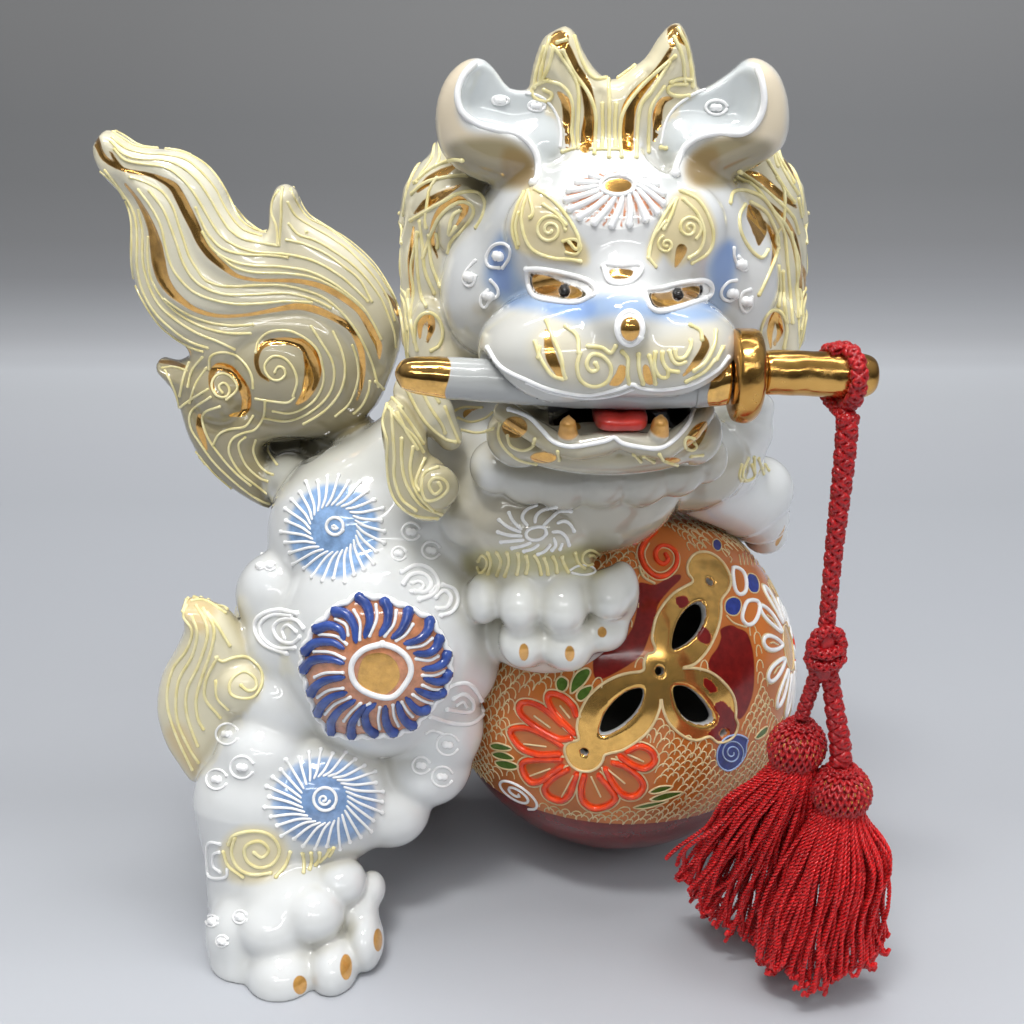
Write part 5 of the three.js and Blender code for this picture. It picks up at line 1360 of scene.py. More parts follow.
# brows
for P in ([(462,608),(425,680),(415,760),(440,820),(520,852),(600,862),(682,872),(684,820),(652,770),(582,690),(540,620),(500,598)], [(1010,622),(1040,604),(1082,620),(1132,700),(1142,770),(1112,840),(1050,860),(1000,880),(960,835),(930,870),(903,850),(922,770),(958,700),(990,640)]):
    soft_px(hd(P), FA, (0.72, 0.58, 0.26), 0.75, 5)
YB = [[(460,615),(430,680),(418,750),(436,812)], [(475,610),(452,690),(458,760),(490,820),(560,850),(620,855),(662,862)], [(500,605),(560,640),(620,710),(656,780),(650,822),(622,792)],
      [(478,620),(492,690),(482,705)], [(440,800),(430,740),(440,690)], [(1000,640),(960,700),(920,780),(905,850)], [(1020,610),(1080,640),(1120,700),(1138,770),(1120,830),(1062,868)],
      [(1030,640),(1080,690),(1105,760),(1090,820),(1050,850)], [(930,880),(905,840),(925,770),(965,720)], [(1005,640),(985,700),(960,745)], [(530,660),(575,690),(610,730)]]
for p in YB:
    RAISED.line(hd(p), E_YELLOW, "head", 0.40)
RAISED.line(hd(swirl(552, 750, 8, 56, 0.6, 1.9)), E_YELLOW, "head", 0.36)
RAISED.line(hd(swirl(1050, 742, 6, 46, 2.2, 1.8)), E_YELLOW, "head", 0.36)
RAISED.line(hd(swirl(968, 802, 6, 32, 1.2, 1.5)), E_YELLOW, "head", 0.32)
fill_px("gold", hd([(602,790),(640,785),(662,805),(650,832),(615,828)]), FA)
RAISED.line(hd([(600,790),(640,782),(664,805),(650,836),(612,830)]), E_YELLOW, "head", 0.34)
fill_px("gold", hd([(1000,885),(1004,820),(1018,800),(1040,808),(1038,835)]), FA)
# forehead flower
fill_px("white", hd(swirl(785, 645, 190, 190, 0, 0.97, 1, 0.545)), FA)
for k in range(17):
    a = 2 * math.pi * k / 17
    def at_(u, da):
        cx, cy = 795 + (784 - 795) * u, 590 + (645 - 590) * u
        return (cx + (62 + 124 * u) * math.cos(a + da * u), cy + (34 + 66 * u) * math.sin(a + da * u))
    band_px("terra", hd([at_(0.05, 0.35), at_(0.5, 0.40), at_(0.93, 0.36)]), np.array([9, 13, 9]) / 3.571, FA)
    h_ = math.pi / 17
    a += h_
    RAISED.line(hd([at_(0.10, 0.35), at_(0.5, 0.44), at_(0.90, 0.38)]), E_WHITE, "head", 0.56, taper=1.3, blob=(0.8, 1.25))
    a -= h_
m = select(FA, (555, 150), (680, 245))
LAYER["white"][m] = np.minimum(LAYER["white"][m], 1 - LAYER["terra"][m])
fill_px("gold", hd(swirl(795, 590, 50, 50, 0, 0.95, 1, 0.5)), FA)
RAISED.line(hd(swirl(795, 590, 62, 62, 0, 1.0, 1, 0.56)), E_WHITE, "head", 0.48)
# eyes
def eye(white, gold_, pupil):
    fill_px("white", hd(white), FA)
    fill_px("black", hd(gold_), FA, smooth=3)
    c = np.mean(hd(gold_), 0)
    inner = [tuple(c + (np.array(p) - c) * 0.88) for p in hd(gold_)]
    P = smooth_poly(np.array(inner), 3)
    m = select(FA, P.min(0) - 4, P.max(0) + 4)
    LAYER["black"][m] = np.minimum(LAYER["black"][m], 1 - enc(poly_sdf(P, PX[m], PY[m]) / PXMM[m]))
    put("gold", poly_sdf(P, PX[m], PY[m]) / PXMM[m], m)
    x, y, rx, ry = pupil
    m2 = select(FA, hd([(x - 60, y - 60)])[0], hd([(x + 60, y + 60)])[0])
    X0, Y0 = hd([(x, y)])[0]
    e = (np.hypot((PX[m2] - X0) / (rx / 3.571), (PY[m2] - Y0) / (ry / 3.571)) - 1) * (rx / 3.571) / PXMM[m2]
    LAYER["gold"][m2] = np.minimum(LAYER["gold"][m2], 1 - enc(e))
    put("black", e, m2)
    RAISED.line(hd(list(white) + [white[0]]), E_WHITE, "head", 0.62)
    RAISED.line([(X0 - 0.5, Y0 - 1.2), (X0 + 0.5, Y0 + 1.2)], E_BLACK, "head", 0.95, smooth=False, n=3)
eye([(470,890),(478,950),(495,985),(545,1002),(640,1010),(692,992),(722,970),(690,932),(605,905),(520,890)], [(485,905),(480,940),(500,975),(560,990),(640,1000),(682,985),(662,958),(600,935),(540,908)], (605, 968, 21, 26))
eye([(890,965),(900,1000),(918,1032),(962,1040),(1060,1012),(1120,988),(1132,952),(1102,930),(1020,940),(950,958)], [(910,975),(906,1000),(930,1028),(980,1025),(1080,995),(1100,962),(1088,945),(1020,955),(960,974)], (1010, 980, 21, 25))
RAISED.line(hd([(715,965),(700,945)]), E_WHITE, "head", 0.4, smooth=False, n=3)
# brow jewel and nose
JW_ = [(745,880),(762,930),(800,945),(850,930),(882,885),(860,870),(800,876),(755,870)]
fill_px("white", hd(JW_), FA)
fill_px("gold", hd([(765,895),(776,920),(800,925),(836,920),(850,896),(800,888)]), FA)
RAISED.line(hd(JW_ + [JW_[0]]), E_WHITE, "head", 0.58)
fill_px("white", hd(swirl(838, 1100, 50, 50, 0, 0.96, 1, 1.25)), FA)
m = select(FA, (610, 305), (650, 350)); X0, Y0 = hd([(840, 1103)])[0]
e = (np.hypot((PX[m] - X0) / 9.6, (PY[m] - Y0) / 12.2) - 1) * 9.6 / PXMM[m]
LAYER["white"][m] = np.minimum(LAYER["white"][m], 1 - enc(e)); put("gold", e, m)
RAISED.line(hd(swirl(838, 1100, 46, 46, 0.6, 1.0, 1, 1.28)), E_WHITE, "head", 0.62)
# rings and drops beside the face
for drop, b in (([(372,885),(335,880),(325,850),(345,810),(380,797),(410,812),(408,850),(385,885)], (370, 842)), ([(285,860),(262,885),(243,920),(255,948),(278,945),(288,915)], (264, 916)), ([(342,930),(365,955),(368,985),(340,1000),(322,1028),(306,1015),(308,985),(330,965)], (333, 984)),
                ([(1210,815),(1212,850),(1230,885),(1256,895),(1250,870),(1228,845)], (1236, 872)), ([(1218,930),(1190,935),(1165,965),(1168,992),(1195,1004),(1220,990)], (1205, 975)), ([(1268,962),(1240,975),(1232,1010),(1248,1045),(1272,1025),(1274,990)], (1255, 1003))):
    RAISED.line(hd(drop), E_WHITE, "head", 0.40)
    RAISED.line(hd([(b[0] - 5, b[1]), (b[0] + 5, b[1] + 2)]), E_WHITE, "head", 1.0, smooth=False, n=3)
# muzzle
soft_px(hd([(490,1150),(560,1080),(620,1100),(660,1150),(780,1170),(900,1160),(1010,1130),(1100,1100),(1160,1120),(1120,1230),(1000,1290),(850,1290),(700,1310),(580,1290),(510,1230)]), FA, (0.70, 0.62, 0.42), 0.55, 12)
gold([(540,1110),(548,1160),(560,1210),(592,1272)], [12,32,40,24], FA)
gold([(1102,1132),(1108,1165),(1080,1215),(1032,1268)], [16,30,28,10], FA)
fill_px("gold", hd([(802,1232),(826,1240),(822,1275),(800,1305),(765,1302),(788,1262)]), FA)
fill_px("gold", hd([(885,1238),(906,1236),(922,1300),(892,1292)]), FA)
for p in ([(540,1072),(562,1130),(592,1200),(600,1250),(608,1278)], [(500,1150),(520,1210),(560,1268),(598,1282)], [(610,1095),(650,1130),(656,1188)], [(690,1165),(740,1170),(770,1190),(788,1165)],
          [(660,1190),(650,1240),(665,1290),(710,1310),(760,1290),(772,1240),(742,1202),(702,1195),(684,1230),(700,1256),(726,1246),(716,1226)],
          [(812,1185),(832,1210),(830,1260),(836,1298)], [(870,1195),(872,1250),(886,1298)], [(930,1188),(926,1234),(943,1272),(972,1277),(976,1252)], [(955,1188),(956,1218),(976,1250),(1010,1256)], [(980,1184),(993,1218),(1014,1230),(1035,1222)], [(1001,1180),(1006,1208),(1035,1205),(1056,1168),(1056,1146)],
          [(1145,1110),(1140,1160),(1110,1220),(1068,1252)], [(1055,1090),(1090,1110),(1096,1140)], [(1140,1215),(1105,1255),(1040,1290)], [(1170,1170),(1150,1210)], [(515,1170),(512,1205)], [(908,1200),(925,1262),(930,1298)]):
    RAISED.line(hd(p), E_YELLOW, "head", 0.44)
RAISED.line(hd([(330,1170),(380,1240),(480,1290),(560,1320),(680,1340),(780,1322),(820,1310),(850,1300),(880,1314),(960,1320),(1060,1300),(1150,1250),(1190,1205)]), E_WHITE, "head", 0.50)
RAISED.line(hd([(470,1296),(560,1332),(690,1352),(790,1340),(850,1318)]), E_WHITE, "head", 0.30)

# ---- mane
ML = ("mane_left", "head", "mane_back", "torso"); MR = ("mane_right", "head", "mane_back")
for p, w in (([(80,612),(120,574),(170,545),(228,514)], [8,26,26,6]), ([(70,690),(110,655),(160,628),(232,590)], [6,24,24,6]), ([(152,850),(132,780),(145,710),(180,665),(225,645),(250,662),(243,695),(214,742)], [4,14,18,26,30,22,16,5]),
             ([(66,740),(56,860),(60,990)], [6,18,8]), ([(88,1135),(92,1085),(122,1060),(130,1100),(114,1150)], [8,20,24,20,8])):
    gold(p, [1.25 * v for v in w], ("mane_left", "head"))
for p, w in (([(1240,540),(1300,560),(1370,620),(1432,668)], [8,24,26,8]), ([(1265,665),(1282,700),(1302,750),(1300,800)], [10,46,46,10]), ([(1310,710),(1345,760),(1355,820),(1343,885)], [6,16,14,5]), ([(1320,640),(1380,700),(1420,770),(1440,860),(1452,1000)], [8,22,22,20,6]),
             ([(1342,1172),(1340,1110),(1360,1055),(1376,1110),(1355,1162)], [6,20,24,20,6]), ([(1388,508),(1430,560)], [20,10]), ([(1455,880),(1472,940),(1462,1000)], [8,18,6])):
    gold(p, [1.15 * v for v in w], ("mane_right", "head"))
for p in ([(70,580),(130,530),(200,500),(240,502)], [(60,620),(110,580),(190,560),(265,555)], [(56,716),(100,690),(170,650),(230,618),(290,615),(320,650),(312,700),(290,740)],
          [(100,850),(130,760),(170,690),(230,650),(270,660),(280,690),(250,740),(200,790),(190,830)], [(88,720),(98,810),(108,900),(140,975)], [(120,770),(130,870),(160,950)], [(78,760),(80,880),(92,980),(110,1020)],
          [(70,1150),(75,1080),(110,1045),(150,1060),(170,1110),(160,1160),(130,1180)], [(45,1000),(60,1100),(78,1178)], [(215,740),(190,770),(205,700),(232,680)]):
    RAISED.line(hd(p), E_YELLOW, "mane", 0.44)
for p in ([(1230,540),(1300,590),(1360,640),(1420,700),(1440,760)], [(1220,562),(1290,600),(1350,680),(1400,740),(1430,830),(1436,950),(1440,1060)], [(1197,652),(1210,612),(1260,610),(1320,640),(1360,700),(1390,760),(1400,850),(1410,960),(1420,1080)],
          [(1250,660),(1230,700),(1236,760),(1270,820),(1310,850),(1332,822)], [(1270,650),(1320,680),(1355,740),(1370,800),(1350,870),(1320,940),(1300,980)], [(1360,480),(1400,560),(1438,620)], [(1300,1170),(1310,1090),(1340,1040),(1380,1045),(1400,1100),(1390,1170)], [(1385,900),(1390,1000),(1400,1080)],
          [(1440,640),(1452,700)], [(1370,880),(1376,960),(1370,1020)], [(1330,500),(1390,600),(1425,650)]):
    RAISED.line(hd(p), E_YELLOW, "mane", 0.44)

# ---- lower jaw, fangs, lock
m = (LV[:, 2] > 176) & (LV[:, 2] < 208) & (np.abs(LV[:, 0] - 30) < 27) & (LV[:, 1] > 337.5) & (LV[:, 1] < 362) & has("head", "lower_jaw", "torso")
w_ = blur(m.astype(float), 2) * smoothstep(336.5, 341, LV[:, 1]) * smoothstep(23, 17, np.abs(LV[:, 0] - 31))
LAYER["black"][:] = np.maximum(LAYER["black"], np.clip(w_ * 1.3, 0, 1) * (LV[:, 1] > 336))
for fx, fy in ((568, 421), (662, 419)):
    f_ = W(fx, fy + 2, 326.5)
    dd = np.linalg.norm((LV - f_) / np.array([3.6, 3.8, 5.0]), axis=1) - 1
    mm = has("lower_jaw", "head") & (dd < 0.8)
    LAYER["ochre"][mm] = np.maximum(LAYER["ochre"][mm], enc(dd[mm] * 3))
    LAYER["black"][mm] = np.minimum(LAYER["black"][mm], 1 - enc(dd[mm] * 3))
JA = ("lower_jaw", "head")
m = has("head") & (PY > 380) & (PX > 520) & (PX < 715) & (LV[:, 2] < 192.5)
for P in ([(668,135),(672,100),(700,86),(736,130),(702,146)], [(990,130),(1004,82),(1045,76),(1052,112),(1020,136)]):
    fill_px("ochre", jw(P), JA)
fill_px("gold", jw(swirl(505, 130, 44, 44, 0, 0.95, 1, 0.85)), ("lower_jaw", "head"))
fill_px("gold", jw(swirl(605, 236, 46, 46, 0, 0.95, 1, 0.42)), ("lower_jaw",))
fill_px("gold", jw([(1150,115),(1176,112),(1172,150),(1142,200),(1110,212),(1100,180),(1120,140)]), ("lower_jaw", "head"))
fill_px("gold", jw(swirl(1052, 246, 32, 32, 0, 0.95, 1, 0.32)), ("lower_jaw",))
fill_px("gold", jw([(330,72),(382,66),(382,96),(332,100)]), ("torso", "mane_left", "lower_jaw", "mane_back"))
RAISED.line(jw([(485,68),(520,80),(560,100),(600,140),(640,180),(700,197),(760,190),(830,175),(852,164),(880,185),(950,200),(1010,203),(1060,175),(1110,120),(1130,70),(1150,50)]), E_WHITE, "jaw", 0.52)
for p in ([(455,110),(448,160),(470,205),(520,245),(580,258)], [(480,160),(490,195),(530,212),(565,200),(575,172)], [(290,75),(330,60),(390,62)], [(300,95),(350,112),(400,100),(432,75)], [(320,140),(380,150),(430,135)], [(1130,170),(1105,165),(1098,195),(1120,212),(1142,200),(1132,186)],
          [(1010,225),(1030,250),(1072,262)], [(1120,232),(1160,228)], [(920,225),(945,250)], [(955,232),(990,252)], [(655,215),(660,245)]):
    RAISED.line(jw(p), E_YELLOW, "jaw", 0.36)
soft_px(jw([(440,60),(520,80),(600,160),(700,215),(900,225),(1050,215),(1150,150),(1190,230),(1080,290),(850,270),(620,290),(500,270),(450,200)]), ("lower_jaw",), (0.42, 0.36, 0.20), 0.8, 14)
# painted shade: grey under the jaw and on the top of the chest
soft_px([(505,455),(560,468),(640,468),(700,452),(705,480),(640,500),(560,502),(500,490)], ("lower_jaw", "torso"), (0.52, 0.51, 0.46), 0.6, 12)
soft_px([(430,440),(450,445),(470,470),(470,500),(450,520),(440,500)], ("torso", "foreleg_right", "mane_left"), (0.60, 0.57, 0.45), 0.5, 12)
LK = [[(60,50),(45,110),(60,180),(60,260),(70,340),(100,400),(160,440),(235,448)], [(75,70),(80,150),(85,230),(85,310),(110,380),(160,420)], [(65,60),(110,120),(160,170),(185,215)], [(100,60),(150,130),(185,185)],
      [(110,170),(110,240),(120,310),(150,370),(190,410),(248,434)], [(150,200),(140,270),(150,330),(180,380),(220,420)], [(190,240),(160,320),(172,350)], [(95,80),(130,150),(165,205)],
      [(235,270),(190,290),(180,340),(195,385),(235,380),(270,350),(265,320),(230,305),(205,330),(225,365),(250,345),(240,325)]]
for p in LK:
    RAISED.line(jw(p), E_YELLOW, "mane", 0.42)
for p in ([(130,0),(160,60),(200,120),(260,170),(298,182)], [(180,0),(210,60),(250,120),(262,150)], [(212,0),(240,42)], [(262,60),(285,120),(310,180)], [(20,-30),(70,20),(110,60)]):
    RAISED.line(jw(p), E_YELLOW, "mane", 0.40)

# ---- flowers on the rump and the leg; the hidden flank carries the same ones
def flank(BODY, GRP, back):
    def ln_(*a, **k):
        RAISED.line(*a, back=back, **k)
    def daisy(cx, cy, rx, ry, n, inner, labels, turn=0.22):
        soft = smooth_poly(np.array(bd(swirl(cx, cy + 8, 1, 1, 0, 0.97, rx * 0.90, ry * 0.90))), 2)
        m = select(labels, soft.min(0) - 6, soft.max(0) + 6)
        put("lblue", poly_sdf(soft, PX[m], PY[m]) / PXMM[m], m)
        for k in range(n):
            a = 2 * math.pi * k / n
            j = 1 + 0.05 * math.sin(k * 2.4)
            p0 = (cx + inner * math.cos(a - turn), cy + inner * math.sin(a - turn)); p1 = (cx + 0.62 * rx * math.cos(a - 0.25 * turn), cy + 0.62 * ry * math.sin(a - 0.25 * turn)); p2 = (cx + rx * j * math.cos(a + 0.15 * turn), cy + ry * j * math.sin(a + 0.15 * turn))
            ln_(bd([p0, p1, p2]), E_WHITE, GRP, 0.34, taper=1.15, blob=(0.8, 1.75))
    daisy(655, 245, 180, 186, 29, 84, BODY, 0.34)
    ln_(bd(swirl(660, 236, 32, 30, 0.5, 1.0)), E_WHITE, GRP, 0.42)
    ln_(bd(swirl(657, 238, 12, 4, 0.5, 0.9)), E_WHITE, GRP, 0.34)
    daisy(622, 1212, 206, 174, 30, 84, BODY, 0.34)
    low = bd(swirl(624, 1224, 1, 1, 0, 0.97, 165, 140))
    m = select(BODY, np.array(low).min(0) - 6, np.array(low).max(0) + 6)
    LAYER["lblue"][m] = np.minimum(LAYER["lblue"][m], 0.60)
    soft_px(low, BODY, (0.05, 0.11, 0.28), 0.90, 9)
    ln_(bd(swirl(625, 1210, 42, 40, 0.8, 1.0)), E_WHITE, GRP, 0.40)
    ln_(bd(swirl(620, 1212, 22, 6, 0.3, 1.2)), E_WHITE, GRP, 0.34)
    STR = [[(735,650),(728,590),(700,550),(665,540)], [(768,632),(785,570),(775,520),(750,492)], [(822,625),(848,580),(850,530),(840,508)], [(865,635),(895,610),(915,570),(922,540)], [(910,655),(960,640),(990,610),(998,575)],
           [(945,690),(990,690),(1020,670),(1032,640)], [(975,745),(1015,740),(1050,720),(1058,695)], [(980,780),(1020,790),(1050,785),(1060,765)], [(950,818),(990,835),(1020,840),(1040,830)], [(915,850),(940,880),(960,895),(982,890)],
           [(885,865),(895,905),(915,935),(935,945)], [(840,880),(840,920),(850,955),(868,970)], [(803,870),(770,900),(775,950),(798,972)], [(770,875),(740,910),(720,945),(720,978)], [(730,858),(680,890),(650,930),(648,965)],
           [(700,830),(650,845),(615,875),(602,900)], [(692,775),(630,785),(595,805),(578,828)], [(690,725),(640,710),(580,715),(552,745)], [(690,672),(650,650),(590,652),(558,680)], [(692,640),(680,605),(640,590),(598,602)]]
    HC2 = np.array([808.0, 742.0])
    ring = []
    for s_ in STR:
        tip = np.array(s_[-1], float); d = tip - HC2; d /= np.linalg.norm(d)
        ring.append((math.atan2(d[1], d[0]), tip + d * 12))
    ring.sort()
    fill_px("terra", bd([tuple(p - (p - HC2) / np.linalg.norm(p - HC2) * 10) for _, p in ring]), BODY)
    for s_ in STR:
        band_px("cobalt", bd(s_), np.array([10, 22, 32, 24]) / 3.57, BODY)
        ln_(bd(s_), E_COBALT, GRP, 0.80, taper=1.9, blob=(0.6, 1.1))
        o = np.array([HC2 + (np.array(p) - HC2) @ np.array([[math.cos(0.14), math.sin(0.14)], [-math.sin(0.14), math.cos(0.14)]]) for p in s_])
        ln_(bd(o[:-1]), E_WHITE, GRP, 0.40)
    for (a0, p0), (a1, p1) in zip(ring, ring[1:] + ring[:1]):
        mid = (p0 + p1) / 2; d = mid - HC2; d /= np.linalg.norm(d)
        ln_(bd([mid - (p1 - p0) * 0.5, p0 * 0.5 + mid * 0.5 + d * 4, mid - d * 4, p1 * 0.5 + mid * 0.5 + d * 4, mid + (p1 - p0) * 0.5]), E_WHITE, GRP, 0.78)
    GC = [(740,745),(760,700),(800,685),(850,690),(890,730),(895,790),(850,840),(800,835),(750,820),(735,790)]
    fill_px("gold", bd([(818 + (x - 818) * 0.92, 757 + (y - 757) * 0.93) for x, y in GC]), BODY)
    RG = [(830,650),(880,665),(925,700),(942,750),(920,800),(870,850),(800,845),(740,815),(712,770),(715,715),(760,670)]
    ln_(bd([(824 + (x - 824) * 0.92, 757 + (y - 757) * 0.94) for x, y in RG + RG[:1]]), E_WHITE, GRP, 0.78)
    # hooked swirls and beads
    for p, r in (([(900,400),(950,375),(1000,390),(1030,440),(1010,480),(960,498)], .5), ([(905,440),(930,410),(975,405),(1005,440),(985,470),(945,470)], .5), ([(935,440),(960,432),(978,450),(958,468),(932,470)], .4),
                 ([(1045,445),(1085,460),(1100,500),(1080,540),(1040,555)], .45), ([(1020,490),(1050,465),(1075,490),(1060,525),(1025,530)], .45), ([(1000,475),(1020,450),(1040,448)], .4),
                 ([(525,548),(450,535),(385,560),(375,610),(410,660),(490,690)], .48), ([(505,557),(440,552),(396,580),(400,630),(450,670),(518,670)], .42), ([(548,600),(520,570),(470,570),(440,600),(460,640),(505,655),(535,632)], .42), ([(522,612),(492,588),(472,606),(482,636)], .36),
                 ([(1062,815),(1090,800),(1140,800),(1180,850),(1190,900),(1150,940),(1080,940),(1000,915)], .48), ([(1085,850),(1120,835),(1155,865),(1140,900),(1060,890)], .48), ([(1095,875),(1118,862),(1130,880)], .36), ([(985,975),(1010,965),(1045,978)], .3)):
        ln_(bd(p), E_WHITE, GRP, r * 1.25)
    for x, y, r in ((932,255,33), (888,335,26), (1003,322,33), (407,250,18), (392,378,14), (428,378,18), (275,978,40), (328,1097,42), (238,1140,38), (1062,1016,40), (968,1090,32), (1043,1130,38)):
        x, y = bd([(x, y)])[0]
        dot_ring(x, y, r / 3.57, group=GRP, ln=ln_)

BODY = ("torso", "hind_leg_right")
flank(BODY, "body", None)
# the far side: each of its points takes the paint of the near point that has the same x and height
mb = has("torso", "hind_leg_left") & (BACK > 0.12) & (LV[:, 2] > 28)
O_ = LV[mb].copy(); O_[:, 1] = 305.0
P_, _n, h_ = trace(G, O_, np.tile([0, 1.0, 0], (len(O_), 1)), 0.0, 160.0)
keep_ = (PX.copy(), PY.copy(), FACE.copy())
bx_, by_, _t = proj(P_)
FACE[:] = -1.0; FACE[np.where(mb)[0][h_]] = 1.0
PX[mb] = bx_; PY[mb] = by_
flank(("torso", "hind_leg_left"), "body_far", "mirror")
PX[:], PY[:], FACE[:] = keep_

# thigh tuft
TF = [[(130,520),(120,560),(150,610),(130,680),(85,740),(62,820),(66,900),(100,1000),(150,1105)], [(150,560),(168,620),(150,700),(105,780),(92,860),(100,940),(140,1030),(172,1080)], [(165,520),(198,580),(203,640),(170,740),(132,820),(130,900),(150,970),(170,1020)],
      [(190,530),(228,600),(218,680),(190,760),(165,850),(170,920),(190,960)], [(205,545),(240,590),(270,640),(284,662)], [(150,502),(200,502),(268,545)], [(240,705),(202,780),(196,850),(238,905),(250,920)], [(235,790),(240,850),(278,890)],
      [(236,706),(260,720),(300,705),(350,705),(395,745),(400,800),(370,845),(320,850),(285,830),(290,785),(335,755),(375,780),(378,815),(350,825),(325,805)], [(130,500),(118,540)]]
for p in TF:
    RAISED.line(bd(p), E_YELLOW, "tuft", 0.42)
    RAISED.line(bd(p), E_YELLOW, "tuft_back", 0.42, back=371)
tn_ = plane_px(TUFT, 371); tf_ = np.array(TUFT_FAR, float)
def far_tuft(pts):
    q = plane_px(bd(pts), 371)
    q = tf_.min(0) + (q - tn_.min(0)) / (tn_.max(0) - tn_.min(0)) * (tf_.max(0) - tf_.min(0))
    x, y, _t = proj(np.stack([q[:, 0], np.full(len(q), 427.0), q[:, 1]], 1))
    return list(zip(x, y))
for p in TF:
    RAISED.line(far_tuft(p), E_YELLOW, "tuft_far", 0.42, back=427)
def at_back(pts, D=431.0):
    q = np.array(pts, float)
    x, y, _t = proj(np.stack([q[:, 0], np.full(len(q), D), q[:, 1]], 1))
    return list(zip(x, y))
CV = np.zeros(len(LV))
for k, (x, z, r) in enumerate(CURLS):
    sg = 1 if x < 29 else -1
    t_ = np.linspace(0, 1, 16)
    a_ = -0.6 + 4.9 * t_
    RAISED.line(at_back(np.stack([x + sg * r * (0.86 - 0.66 * t_) * np.cos(a_), z + r * (0.92 - 0.70 * t_) * np.sin(a_)], 1)), E_YELLOW, "mane_back", 0.42, back=431)
    for f_, a0, a1 in ((1.02, 0.5, 2.5), (0.70, 2.7, 4.3)):
        a_ = np.linspace(a0, a1, 8)
        RAISED.line(at_back(np.stack([x + sg * r * f_ * np.cos(a_), z + r * f_ * np.sin(a_)], 1)), E_YELLOW, "mane_back", 0.38, back=431)
    m = has("mane_back", "mane_left", "mane_right") & (BACK > 0.2) & (np.hypot(LV[:, 0] - x, LV[:, 2] - z) < r + 4)
    dx_, dz_ = (LV[m, 0] - x) * sg / r, (LV[m, 2] - z) / r
    rr_, an_ = np.hypot(dx_, dz_), np.arctan2(dz_, dx_)
    w_ = 0.17 * np.clip(np.cos((an_ - 1.2) * 0.75), 0, 1)
    put("gold", (np.abs(rr_ - 0.66 + 0.10 * an_) - w_) * r + np.where(np.abs(an_ - 1.2) < 1.9, 0, 5), m)
# curls on the two sides of the mane
for sd_, sg in (("east", 1), ("west", -1)):
    for k, (y, z, r) in enumerate([(391, 244, 11.5), (395, 221, 12.5), (390, 200, 11.5)] + ([(417, 247, 8.5), (421, 227, 10), (421, 204, 10.5), (417, 181, 10.5), (413, 160, 9)] if sg > 0 else [])):
        t_ = np.linspace(0, 1, 16); fl = 1 if k % 2 else -1
        a_ = -0.8 + 5.2 * t_
        RAISED.line(list(zip(y + fl * r * (0.86 - 0.66 * t_) * np.cos(a_), z + r * (0.92 - 0.70 * t_) * np.sin(a_))), E_YELLOW, "mane_side", 0.42, back=sd_)
        for f_, a0, a1 in ((1.10, 0.2, 2.6), (0.72, 2.6, 4.4), (1.28, 0.5, 1.9)):
            a_ = np.linspace(a0, a1, 8)
            RAISED.line(list(zip(y + fl * r * f_ * np.cos(a_), z + r * f_ * np.sin(a_))), E_YELLOW, "mane_side", 0.38, back=sd_)
        m = has("mane_back", "mane_left", "mane_right") & (LN[:, 0] * sg > 0.3) & (np.hypot(LV[:, 1] - y, LV[:, 2] - z) < r + 4)
        dx_, dz_ = (LV[m, 1] - y) * fl / r, (LV[m, 2] - z) / r
        rr_, an_ = np.hypot(dx_, dz_), np.arctan2(dz_, dx_)
        w_ = 0.17 * np.clip(np.cos((an_ - 1.2) * 0.75), 0, 1)
        put("gold", (np.abs(rr_ - 0.66 + 0.10 * an_) - w_) * r + np.where(np.abs(an_ - 1.2) < 1.9, 0, 5), m)
    for y0, z0, z1 in ((374, 250, 226), (377, 232, 196), (380, 214, 188), (383, 190, 182), (404, 250, 216), (406, 212, 190)):
        z_ = np.linspace(z0, z1, 8)
        RAISED.line(list(zip(y0 + 1.6 * np.sin(z_ * 0.18), z_)), E_YELLOW, "mane_side", 0.40, back=sd_)
soft_px(bd([(100,500),(180,490),(230,530),(200,600),(150,600)]), ("thigh_tuft_right",), (0.62, 0.42, 0.16), 0.6, 8)
soft_px(bd([(60,980),(120,960),(170,1080),(140,1110)]), ("thigh_tuft_right",), (0.62, 0.42, 0.16), 0.6, 10)
# ankle
soft_px(bd([(260,1380),(320,1320),(420,1320),(480,1370),(480,1450),(400,1500),(300,1500),(262,1450)]), BODY, (0.78, 0.66, 0.34), 0.7, 8)
for p in ([(280,1372),(300,1340),(370,1325),(430,1340),(462,1390),(440,1440),(390,1456),(345,1430),(340,1380),(390,1360),(424,1390),(400,1420),(372,1402)], [(262,1400),(280,1450),(330,1488)], [(500,1400),(482,1450),(450,1488)], [(302,1350),(290,1400),(310,1452),(360,1480),(430,1475)],
          [(545,1405),(550,1440),(548,1472)], [(575,1402),(577,1432),(570,1460)], [(605,1402),(605,1425),(592,1445)], [(640,1392),(628,1415),(608,1432)], [(655,1385),(650,1400),(640,1412)]):
    RAISED.line(bd(p), E_YELLOW, "body", 0.46)
for p in ([(250,1370),(206,1370),(204,1450),(214,1490),(270,1490),(276,1462)], [(248,1400),(226,1408),(226,1450),(250,1470)]):
    RAISED.line(bd(p), E_WHITE, "body", 0.46)
for x, y, r in ((240, 917, 7), (212, 921, 6), (222, 941, 6)):
    dot_ring(x, y, r)
# claws of the near hind foot
for x, y, rx, ry in ((300, 985, 7, 9.5), (346, 967, 6, 13), (378, 940, 4.5, 11.5)):
    fill_px("ochre", swirl(x, y, 1, 1, 0, 0.95, rx, ry), ("hind_leg_right",))
